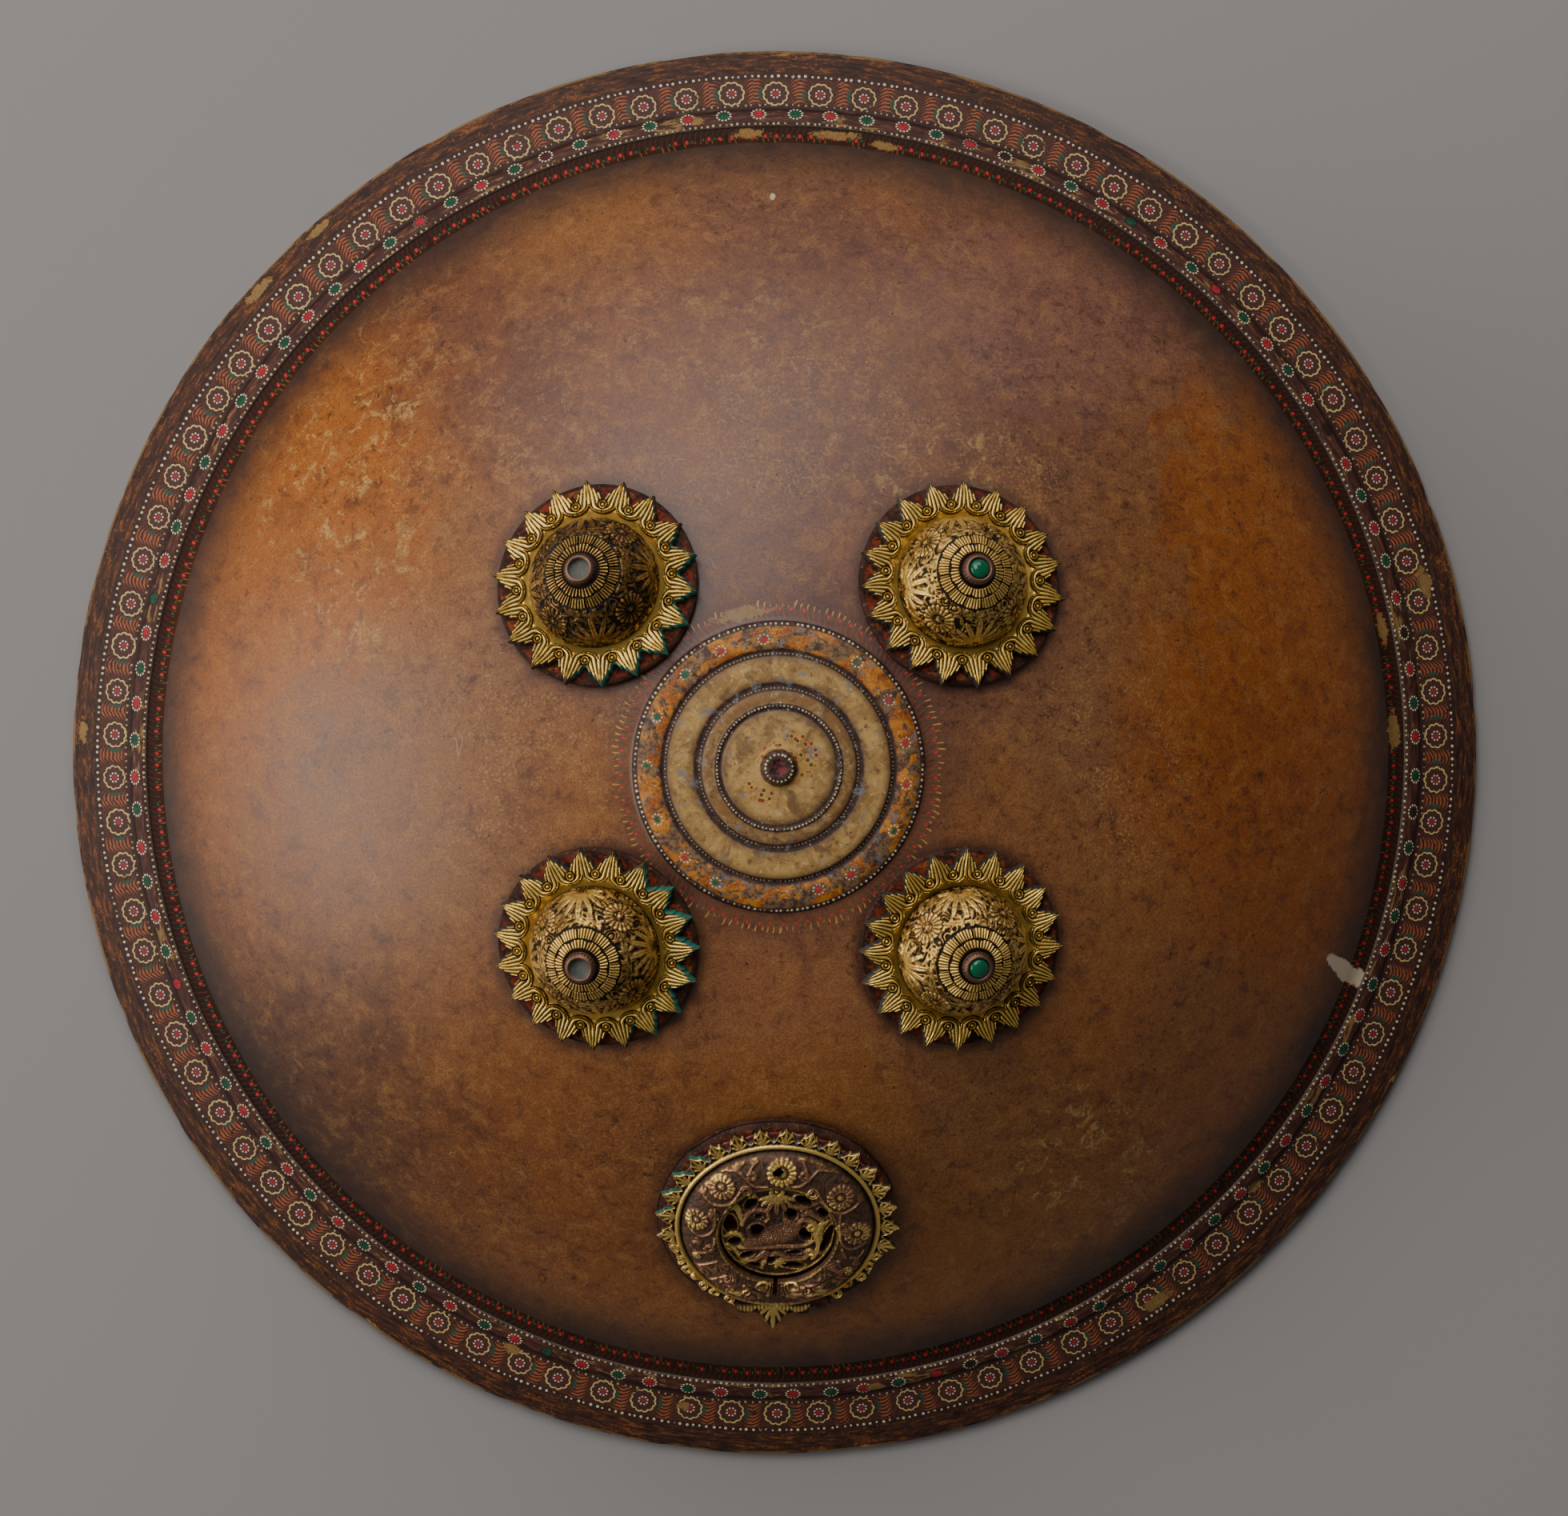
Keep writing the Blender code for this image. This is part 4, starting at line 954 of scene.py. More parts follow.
def medallion_paint(tree, polar, plate):
    """Colour of the turned medallion in the middle, and the grain that roughens it."""
    radius, place = polar.radius, polar.place
    fine = add(tree, "TexNoise", place, Scale=1 / 2.2, Detail=5, Roughness=0.7)
    middle = add(tree, "TexNoise", place, Scale=1 / 8, Detail=5, Roughness=0.65, Distortion=0.5)
    fleck = add(tree, "TexNoise", place, Scale=1 / 0.8, Detail=3, Roughness=0.7)
    hand = add(
        tree, "Math", fine, 0.9, add(tree, "Math", radius, 0.45, operation="SUBTRACT"),
        operation="MULTIPLY_ADD",
    )
    tan = coat(tree, "96703C", "BE9656", (middle, 0.35, 0.62))
    tan = coat(tree, tan, "CEAA6C", (fine, 0.54, 0.7))
    tan = coat(tree, tan, "583A22", (fine, 0.45, 0.32), 0.75)
    stain = mask(
        tree,
        (add(tree, "TexNoise", place, Scale=1 / 11, Detail=5, Roughness=0.7, Distortion=0.6), 0.53, 0.63),
    )
    tan = coat(tree, tan, "5E4028", stain, 0.6)
    # Painted shade: the tan darkens at the edges of its rings, next to the grooves.
    near = add(
        tree, "Math", middle, 3.0, add(tree, "Math", radius, 1.5, operation="SUBTRACT"),
        operation="MULTIPLY_ADD",
    )
    groove_shade = mask(tree, (near, 32.6, 30.0), (near, 28, 29))
    for low, high in ((36.4, 39.0), (16.6, 19.6)):
        groove_shade = add(
            tree, "Math", groove_shade, mask(tree, (near, low, high), (near, high + 1.5, high + 0.5)),
            operation="MAXIMUM",
        )
    tan = coat(tree, tan, "54382A", groove_shade, 0.55)
    dark = coat(tree, "2C1814", "4C3026", (fine, 0.4, 0.65))
    orange = coat(tree, "93470F", "C47A22", (middle, 0.4, 0.6))
    orange = coat(tree, orange, "D8963A", (fleck, 0.5, 0.72))
    orange = coat(tree, orange, "4A2214", (fine, 0.42, 0.32))
    wear = mask(
        tree,
        (add(tree, "TexNoise", place, Scale=1 / 9, Detail=5, Roughness=0.72, Distortion=0.8), 0.485, 0.535),
    )
    grey = coat(tree, "4A3226", "8A6844", (fine, 0.4, 0.62))
    band = coat(tree, grey, orange, wear)

    rings = coat(tree, dark, band, between(tree, hand, 41.3, 49.6, 0.25))
    rings = coat(tree, rings, tan, between(tree, hand, 29.9, 39.0, 0.5))
    narrow = coat(tree, coat(tree, tan, grey, 0.6), coat(tree, "4E3222", "A8783E", fine), wear)
    rings = coat(tree, rings, narrow, between(tree, hand, 22.6, 26.9, 0.3))
    rings = coat(tree, rings, tan, (hand, 19.6, 20.4, 1.0, 0.0))
    blue = mask(
        tree, (add(tree, "TexNoise", place, Scale=1 / 5.6, Detail=4, Roughness=0.6), 0.6, 0.66),
        (fleck, 0.38, 0.5),
    )
    disc_blue = disc(
        tree, add(tree, "Math", polar.x, 12.4, operation="SUBTRACT"),
        add(tree, "Math", polar.y, 5.2, operation="SUBTRACT"), 2.5, 0.5,
    )
    blue = add(tree, "Math", blue, disc_blue, operation="MAXIMUM")
    rings = coat(tree, rings, "76787A", blue, (radius, 49.2, 49.8, 1.0, 0.0), 0.7)
    rings = coat(
        tree, rings, "B9B09A",
        (add(tree, "TexNoise", place, Scale=1 / 1.3, Detail=2, Roughness=0.55), 0.66, 0.7),
        (middle, 0.5, 0.56), 0.8,
    )
    shade = mask(tree, (hand, 39.6, 41.2), (hand, 41.2, 42.2, 1.0, 0.0))
    rings = coat(tree, rings, dark, shade, 0.8)

    # Remains of gold scrolls round the knob.
    wander = add(tree, "Math", middle, 1.6, -0.8, operation="MULTIPLY_ADD")
    left = mask(tree, patch(tree, polar, 4.2, 3.4, 11, 8.6, wander, 20, 0.15), (radius, 6.4, 7.0))
    left = add(
        tree, "Math", left, patch(tree, polar, -7, -8, 7.2, 3.8, wander, -40, 0.15), operation="MAXIMUM"
    )
    curl = add(tree, "TexVoronoi", place, Scale=1 / 2.1, Randomness=0.9)
    gold = between(tree, curl, 0.34, 0.46, 0.05)
    rings = coat(tree, rings, "6A3418", left, (curl, 0.5, 0.38))
    rings = coat(tree, rings, coat(tree, "9E2A34", "2A5A3C", (middle, 0.49, 0.5)), left, (curl, 0.22, 0.16))
    rings = coat(tree, rings, "D89C3C", left, gold)
    arc = mask(
        tree,
        between(tree, add(tree, "Math", polar.x, 0.12, radius, operation="MULTIPLY_ADD"), 6.9, 7.6, 0.2),
        (polar.x, 3, -1),
    )
    rings = coat(tree, rings, "BE9450", arc, (fleck, 0.35, 0.5), 0.9)
    knob = mask(tree, (hand, 6.2, 7.0, 1.0, 0.0))
    rings = coat(tree, rings, coat(tree, "2A1812", "5A3C22", (fine, 0.4, 0.6)), knob)
    rings = coat(tree, rings, coat(tree, "24100F", "7E2A30", (fine, 0.42, 0.6)), (hand, 2.6, 3.1, 1.0, 0.0))

    # Jewels of the outer band.
    index, part = cell_round(tree, polar.turn, 17)
    first, second, third = dice(tree, add(tree, "Math", index, 21.5, operation="ADD"))
    x = add(
        tree, "Math", add(tree, "Math", part, math.tau * 45.4 / 17, operation="MULTIPLY"),
        add(tree, "Math", first, 5, -2.5, operation="MULTIPLY_ADD"), operation="ADD",
    )
    y = add(
        tree, "Math", radius, add(tree, "Math", third, 1.4, 44.9, operation="MULTIPLY_ADD"),
        operation="SUBTRACT",
    )
    ring_dots, rho, _ = small_ring(tree, x, y, 1.95, 1.7, 9, 0.32, 0.1)
    shown = mask(tree, (second, 0.15, 0.22))
    broken = mask(tree, (add(tree, "TexNoise", place, Scale=1 / 2.0, Detail=3, Roughness=0.7), 0.40, 0.5))
    stone_tone = coat(tree, "B02836", "1F5A3C", (third, 0.7, 0.74))
    rings = coat(
        tree, rings, stone_tone, (rho, 0.5, 0.8, 1.0, 0.0), shown,
        add(tree, "Math", broken, 0.7, 0.3, operation="MULTIPLY_ADD"),
    )
    rings = coat(tree, rings, plate.dot, ring_dots, shown, broken)

    kept = mask(tree, (add(tree, "TexNoise", place, Scale=1 / 6, Detail=4, Roughness=0.7), 0.36, 0.46))
    for ring, number, size, hue in (
        (50.4, 168, 0.4, "DCCB9A"), (39.9, 176, 0.27, "A8936A"), (27.9, 126, 0.26, "A48E66"),
        (21.7, 104, 0.33, "CDBB8C"), (4.75, 21, 0.36, "D6C8A0"),
    ):
        row = dot_row(tree, radius, polar.turn, ring, number, size, 0.05, 0.1)
        rings = coat(tree, rings, hue, row, kept)
    return rings, fine


def make_hide_materials(plate, bosses, crest):
    """Lacquered field, its matt edge, painted rim, medallion and bare inside, as the zones are numbered."""
    made = []

    # Lacquered hide of the field, glossy and mottled, with a painted fringe at its two borders.
    # The cove at its edge has the same paint, rubbed matt.
    for name, rough_here, gloss in (
        ("lacquered_hide", 0.44, {"Coat_Weight": 0.2, "Coat_Roughness": 0.38}),
        ("matt_fringe", 0.7, {"Specular_IOR_Level": 0.2}),
    ):
        field, tree, shader = material(name, rough_here, **gloss)
        polar = Polar(tree)
        tone, rough, height = hide_paint(tree, polar, plate, bosses, crest)
        tone = fringe(tree, polar, 231.6, 225.2, 690, tone, ("4A241A", "7E4E2A"), 227.6, 0.56)
        tone = fringe(tree, polar, 51.4, 58.6, 162, tone, ("7E4428", "D09444"), 55.4, 0.46)
        torn = add(
            tree, "Math", add(tree, "TexNoise", polar.place, Scale=1 / 6, Detail=4, Roughness=0.7), 1.3,
            -0.65, operation="MULTIPLY_ADD",
        )
        tear = patch(tree, polar, 210, -79, 9, 3.2, torn, -40, 0.1)
        tear = add(
            tree, "Math", tear, patch(tree, polar, 218.5, -88, 10, 2.6, torn, -72, 0.1), operation="MAXIMUM"
        )
        tear = add(
            tree, "Math", tear, patch(tree, polar, -1.5, 204, 1.0, 1.2, torn, 0, 0.2), operation="MAXIMUM"
        )
        tone = coat(tree, tone, "C9B396", tear)
        spots = ((2.5, 1.6, 227.5, 2.2), (12, 1.4, 228, 1.8), (80, 1.2, 227.5, 1.6), (92.5, 1.3, 228.5, 1.7))
        spots += ((84.5, 2.2, 229, 1.5), (103.7, 10, 55, 2.2))
        tone, lost = losses(tree, polar, tone, spots)
        connect(
            tree, shader, tone, rough if gloss.get("Coat_Weight") else None, height=height, depth=0.10,
            strength=0.7,
        )
        made.append(field)

    # Painted rim outside the field: bead, flower band and plain border.
    rim, tree, shader = material("painted_rim", 0.62, Specular_IOR_Level=0.32)
    polar = Polar(tree)
    tone, streaks, chips = border_paint(tree, polar, plate)
    spots = (
        (97, 0.7, 235, 1.6), (15, 1.2, 248, 2.6), (131, 1.2, 257, 1.6), (138, 1.4, 256.5, 1.8),
        (178, 1.0, 256, 1.6),
    )
    spots += (
        (246, 0.8, 240, 1.8), (262, 0.6, 243, 1.6), (279, 0.8, 236, 1.4), (305, 1.2, 247, 2.2),
        (318, 0.9, 238, 1.5),
    )
    tone, lost = losses(tree, polar, tone, spots)
    height = add(
        tree, "Math", streaks,
        add(tree, "Math", add(tree, "Math", lost, chips, operation="MAXIMUM"), 0.6, operation="MULTIPLY"),
        operation="SUBTRACT",
    )
    connect(tree, shader, tone, height=height, depth=0.22, strength=0.8)
    made.append(rim)

    # Turned medallion, tan where its paint is rubbed through.
    medallion, tree, shader = material("painted_medallion", 0.6, Specular_IOR_Level=0.4)
    tone, fine = medallion_paint(tree, Polar(tree), plate)
    connect(tree, shader, tone, height=fine, depth=0.12, strength=0.8)
    made.append(medallion)

    # Bare inside of the hide, plain and matt.
    inside, tree, shader = material("bare_hide_inside", 0.72)
    place = place_in_mm(tree)
    broad, fine = add(
        tree, "TexNoise", place, Scale=1 / 60, Detail=4, Roughness=0.55
    ), add(tree, "TexNoise", place, Scale=1 / 5, Detail=5, Roughness=0.65)
    tone = coat(tree, "3A2419", "5A3B27", (broad, 0.35, 0.65))
    tone = coat(tree, tone, "6B4A30", (fine, 0.5, 0.7))
    connect(tree, shader, tone, height=fine, depth=0.25)
    made.append(inside)
    return made


def make_metal(name, plate_colour, deep, dark, bosses, rough=0.36, green=False, pink=None, soften=0.0):
    """Gilt or coppery metal, bright on the high spots of its relief and dark in the grooves."""
    made, tree, shader = material(name, rough, 0.8)
    place = place_in_mm(tree)
    relief = add(tree, "Attribute", attribute_name="relief", output="Fac")
    stain = add(tree, "TexNoise", place, Scale=1 / 6, Detail=4, Roughness=0.6)
    fine = add(tree, "TexNoise", place, Scale=1 / 0.9, Detail=4, Roughness=0.65)
    level = add(
        tree, "Math", relief, add(tree, "Math", stain, 0.4, -0.2, operation="MULTIPLY_ADD"), operation="ADD"
    )
    level = add(
        tree, "Math", level, add(tree, "Math", fine, 0.4, -0.2, operation="MULTIPLY_ADD"), operation="ADD"
    )
    hue = deep if pink is None else coat(tree, deep, pink, (stain, 0.5, 0.62))
    tone = coat(tree, dark, hue, (level, 0.10 + soften, 0.42 + soften))
    tone = coat(tree, tone, plate_colour, (level, 0.38 + soften, 0.72 + soften))
    roughness = mask(tree, (level, 0.2, 0.8, rough + 0.2, rough))
    metal = mask(tree, (level, 0.1, 0.5, 0.3, 0.8))
    if green:
        tips = add(tree, "Attribute", attribute_name="tips", output="Fac")
        corroded = mask(
            tree,
            (
                add(
                    tree, "Math", tips, add(tree, "Math", fine, 0.9, -0.45, operation="MULTIPLY_ADD"),
                    operation="ADD",
                ),
                0.62, 0.74,
            ),
        )
        tarnish = mask(
            tree,
            (
                add(
                    tree, "Math", tips, add(tree, "Math", fine, 0.6, -0.3, operation="MULTIPLY_ADD"),
                    operation="ADD",
                ),
                0.22, 0.4,
            ),
            0.75,
        )
        tone = coat(tree, tone, "5A5448", tarnish)
        tone = coat(tree, tone, bosses.verdigris, corroded)
        metal = mask(tree, metal, add(tree, "Math", 1.0, corroded, operation="SUBTRACT"))
        roughness = add(
            tree, "Math", roughness, add(tree, "Math", corroded, 0.8, operation="MULTIPLY"),
            operation="MAXIMUM",
        )
    connect(tree, shader, tone, roughness, metal, fine, 0.12, 0.6)
    return made


def make_leather(name, base, dark, rough=0.6, patch_colour=None):
    """Lacquered or dry leather, with paint left in patches where a colour is given."""
    made, tree, shader = material(name, rough, Specular_IOR_Level=0.25)
    place = place_in_mm(tree)
    broad, fine = add(tree, "TexNoise", place, Scale=1 / 7, Detail=4, Roughness=0.6), add(
        tree, "TexNoise", place, Scale=1 / 1.3, Detail=4, Roughness=0.65
    )
    tone = coat(tree, dark, base, (broad, 0.36, 0.62))
    tone = coat(tree, tone, "7A4E34", (fine, 0.55, 0.72))
    if patch_colour is not None:
        painted = mask(
            tree,
            (
                add(tree, "TexNoise", place, Scale=1 / 5.4, Detail=4, Roughness=0.7, Distortion=0.4), 0.46,
                0.52,
            ),
        )
        inner = add(tree, "Attribute", attribute_name="inner", output="Fac")
        hue = coat(
            tree, patch_colour, "A85A24",
            (add(tree, "TexNoise", place, Scale=1 / 9, Detail=2, Roughness=0.55), 0.48, 0.62),
        )
        tone = coat(tree, tone, hue, painted, inner, (fine, 0.36, 0.5), 0.9)
    connect(tree, shader, tone, height=fine, depth=0.3, strength=0.8)
    return made


# Builders of the pieces. Each is drawn in its own frame and then put in place.
def seat(plate, distance, turn_degrees):
    """Frame of a boss: origin on the dome, local Z along its normal and local Y towards the middle."""
    sphere = plate.dome_radius
    rotation = Matrix.Rotation(
        math.radians(turn_degrees + 90), 4, "Z"
    ) @ Matrix.Rotation(math.asin(distance / sphere), 4, "X")
    return Matrix.Translation((0, 0, dome_centre(plate) * MM)) @ rotation @ Matrix.Translation((0, 0, sphere))


def slope_height(plate, radius):
    """Height of the rim's sloping top, in millimetres."""
    reach = (plate.rim_radius - plate.edge_round) / MM - radius
    return plate.edge_height / MM + reach * math.tan(plate.rim_slope)


def cove_height(plate):
    """Height of the inner foot of the bead, in millimetres."""
    outer = (plate.cove_radius + plate.bead_width) / MM
    return slope_height(plate, outer) + plate.bead_height / MM


def dome_centre(plate):
    """Height of the centre of the dome's sphere, in millimetres."""
    sphere, field = plate.dome_radius / MM, plate.field_radius / MM
    return cove_height(plate) + plate.cove_drop / MM - math.sqrt(sphere**2 - field**2)


# Turned outline of the medallion: radius and lift above the dome, in millimetres.
MEDALLION = (
    (0, 6.15), (2.2, 6.1), (
        2.7, 6.35
    ), (3.4, 6.6), (4.6, 6.55), (5.6, 6.0), (6.4, 4.9), (6.9, 4.1), (7.4, 3.72),
    (8.6, 3.68), (11, 3.62), (14, 3.55), (17, 3.48), (18.9, 3.38), (19.5, 3.2), (19.9, 2.9), (20.4, 2.76),
    (
        20.9, 2.84
    ), (21.3, 3.1), (21.8, 3.26), (22.3, 3.12), (22.7, 2.86), (23.3, 2.84), (24.6, 2.92), (25.8, 2.82),
    (
        26.5, 2.55
    ), (27.0, 2.12), (27.6, 1.9), (28.6, 1.84), (29.4, 1.96), (30.0, 2.2), (30.6, 2.36), (32, 2.44),
    (34.5, 2.5), (37, 2.44), (
        38.4, 2.34
    ), (39.0, 2.12), (39.5, 1.6), (39.9, 1.15), (40.4, 0.98), (40.9, 1.08),
    (41.4, 1.4), (
        42.0, 1.66
    ), (43, 1.88), (44.5, 2.04), (46.2, 2.05), (47.6, 1.84), (48.8, 1.46), (49.5, 1.12),
    (49.9, 0.98), (50.4, 0.98), (50.8, 0.74), (51.2, 0.36), (51.5, 0.06),
)


def plate_outline(plate):
    """Outline of the plate in millimetres: face, rim, foot and inside."""
    sphere, centre = plate.dome_radius / MM, dome_centre(plate)
    rim, edge, cove = plate.rim_radius / MM, plate.edge_round / MM, plate.cove_radius / MM
    field, wall, drop = plate.field_radius / MM, plate.wall / MM, plate.cove_drop / MM
    base, width = cove_height(plate), plate.bead_width / MM
    face = [(radius, centre + math.sqrt(sphere**2 - radius**2) + lift) for radius, lift in MEDALLION]
    face += [(radius, centre + math.sqrt(sphere**2 - radius**2)) for radius in np.linspace(53, field - 2, 46)]
    face += [(radius, centre + math.sqrt(sphere**2 - radius**2)) for radius in (field - 1, field)]
    for share, fall in ((0.16, 0.26), (0.32, 0.5), (0.5, 0.72), (0.66, 0.86), (0.82, 0.95), (1.0, 1.0)):
        face.append((field + (cove - field) * share, base + drop * (1 - fall)))
    foot = slope_height(plate, cove + width)
    for step in range(1, 13):
        around = math.pi * step / 12
        share = (1 - math.cos(around)) / 2
        rise = plate.bead_height / MM * 0.52 * math.sin(around)
        face.append((cove + width * share, base + (foot - base) * share + rise))
    outside = cove + width
    face.append((outside + 0.5, slope_height(plate, outside + 0.5) - 0.12))
    face.append((outside + 1.2, slope_height(plate, outside + 1.2)))
    face += [
        (radius, slope_height(plate, radius)) for radius in np.linspace(outside + 3, rim - edge - 0.6, 10)
    ]
    height = plate.edge_height / MM
    for step in range(0, 5):
        around = math.radians(25 + 65 * step / 4)
        face.append((rim - edge + edge * math.sin(around), height - edge + edge * math.cos(around)))
    face.append((rim, edge))
    for step in range(1, 4):
        around = math.pi / 2 * step / 3
        face.append((rim - edge + edge * math.cos(around), edge - edge * math.sin(around)))
    inside = rim - edge - plate.foot_width / MM
    face += [(inside, 0), (inside - 0.7, 0.5)]
    under = base - wall / math.cos(plate.rim_slope)
    share = 6 / (inside - cove)
    face += [
        (inside - 6, under * share), (inside - 14, under * (14 / (inside - cove))), (cove + 1.5, under - 0.4),
        (cove, under),
    ]
    inner = sphere - wall
    edge_radius = field * inner / sphere
    face += [(radius, centre + math.sqrt(inner**2 - radius**2)) for radius in np.linspace(edge_radius, 0, 22)]
    return face


def make_plate(scene):
    """Hide plate: dome, medallion, bead and rim in one."""
    plate = scene.shield_plate
    piece = turn("hide_plate", plate_outline(plate), plate.steps)
    points = points_of(piece)
    radius = np.hypot(points[:, 0], points[:, 1])
    away = points[:, :2] / np.maximum(radius, 1e-6)[:, None]
    # The hide isn't quite true: the dome sinks a little in places and its edge is cut by hand.
    top = (radius > 55) & (radius < 222) & (points[:, 2] > 15)
    sink = 0.34 * cloud(points, 46, 3) * smooth(radius, 56, 80) * smooth(-radius, -222, -205)
    points[:, 2] -= np.where(top, sink, 0)
    nick = 0.45 * smooth(cloud(away * 245, 9, 5), 0.6, 0.95) + 0.15 * cloud(away * 245, 30, 8)
    near_edge = smooth(radius, 256.5, 259.5)
    points[:, :2] -= away * (nick * near_edge)[:, None]
    move_points(piece, points)
    materials = make_hide_materials(plate, scene.shield_bosses, scene.shield_crest)
    for each in materials:
        piece.data.materials.append(each)
    count_faces = len(piece.data.polygons)
    centres, normals = np.empty(count_faces * 3), np.empty(count_faces * 3)
    piece.data.polygons.foreach_get("center", centres)
    piece.data.polygons.foreach_get("normal", normals)
    centres, normals = centres.reshape(-1, 3) / MM, normals.reshape(-1, 3)
    out = np.hypot(centres[:, 0], centres[:, 1])
    zone = np.select([out < 51.5, out < plate.field_radius / MM, out < plate.cove_radius / MM], [3, 0, 1], 2)
    under = (normals[:, 2] < -0.02) & (out < (plate.rim_radius - plate.edge_round) / MM)
    zone = np.where(under, 4, zone)
    piece.data.polygons.foreach_set("material_index", zone.astype(np.int32))
    return finish_piece(piece, None, ("shield_plate",), sharp=42)


def leaf_edge(share, tip, valley):
    """Radius of a leaf's lobed edge, from its valley (share 0) to its tip (share 1)."""
    lobes = 1.15 * bump(share, 0.34, 0.1) + 0.85 * bump(share, 0.6, 0.075) - 0.3 * bump(share, 0.46, 0.05)
    return valley + (tip - valley) * share**1.5 + lobes


def sector(degrees, centre, half):
    """Soft mask of a range of angles."""
    away = np.abs((degrees - centre + 180) % 360 - 180)
    return smooth(-away, -half - 14, -half + 6)


# Each boss: name, turn, leaves, whether its stone is left, and green tips by angle, half width and strength.
BOSSES = (
    ("upper_right", 45, 19, True, ((-25, 40, 0.5), (80, 20, 0.4), (0, 180, 0.34))),
    ("upper_left", 135, 18, False, ((100, 66, 1.0), (190, 30, 0.5), (0, 180, 0.34))),
    ("lower_left", 225, 19, False, ((40, 62, 1.0), (250, 40, 0.5), (0, 180, 0.34))),
    ("lower_right", 315, 20, True, ((150, 24, 0.5), (0, 180, 0.34))),
)


def make_boss_pad(scene, name, place, paint):
    """Round leather pad under a boss."""
    s = scene.shield_bosses
    sphere, radius, top = scene.shield_plate.dome_radius / MM, s.pad_radius / MM, s.pad_top / MM
    under = [
        (r, s.pad_seat / MM - sphere + math.sqrt(sphere**2 - r**2)) for r in np.linspace(radius - 0.3, 0, 9)
    ]
    outline = [(r, top) for r in np.linspace(0, radius - 1.9, 12)]
    outline += [
        (radius - 1.2, top - 0.06), (radius - 0.6, top - 0.28), (radius - 0.15, top - 0.7),
        (radius, top - 1.3),
    ]
    outline += [(radius, 0), (radius - 0.1, under[0][1] + 0.4)] + under
    piece = turn(name, outline, PAD_STEPS)
    points = points_of(piece)
    out = np.hypot(points[:, 0], points[:, 1])
    seed = seed_of(name)
    wobble = 1 - 0.013 * smooth(out, 20, 36) * cloud(
        points[:, :2] / np.maximum(out, 1)[:, None] * 36, 13, seed
    )
    points[:, :2] *= wobble[:, None]
    dent = 0.22 * cloud(points, 4.5, seed) * smooth(out, 8, 12)
    points[:, 2] -= np.where(points[:, 2] > top - 0.1, dent, 0)
    move_points(piece, points)
    store(piece, "inner", smooth(-out, -35.2, -34.4))
    return finish_piece(piece, paint, (name,), place)


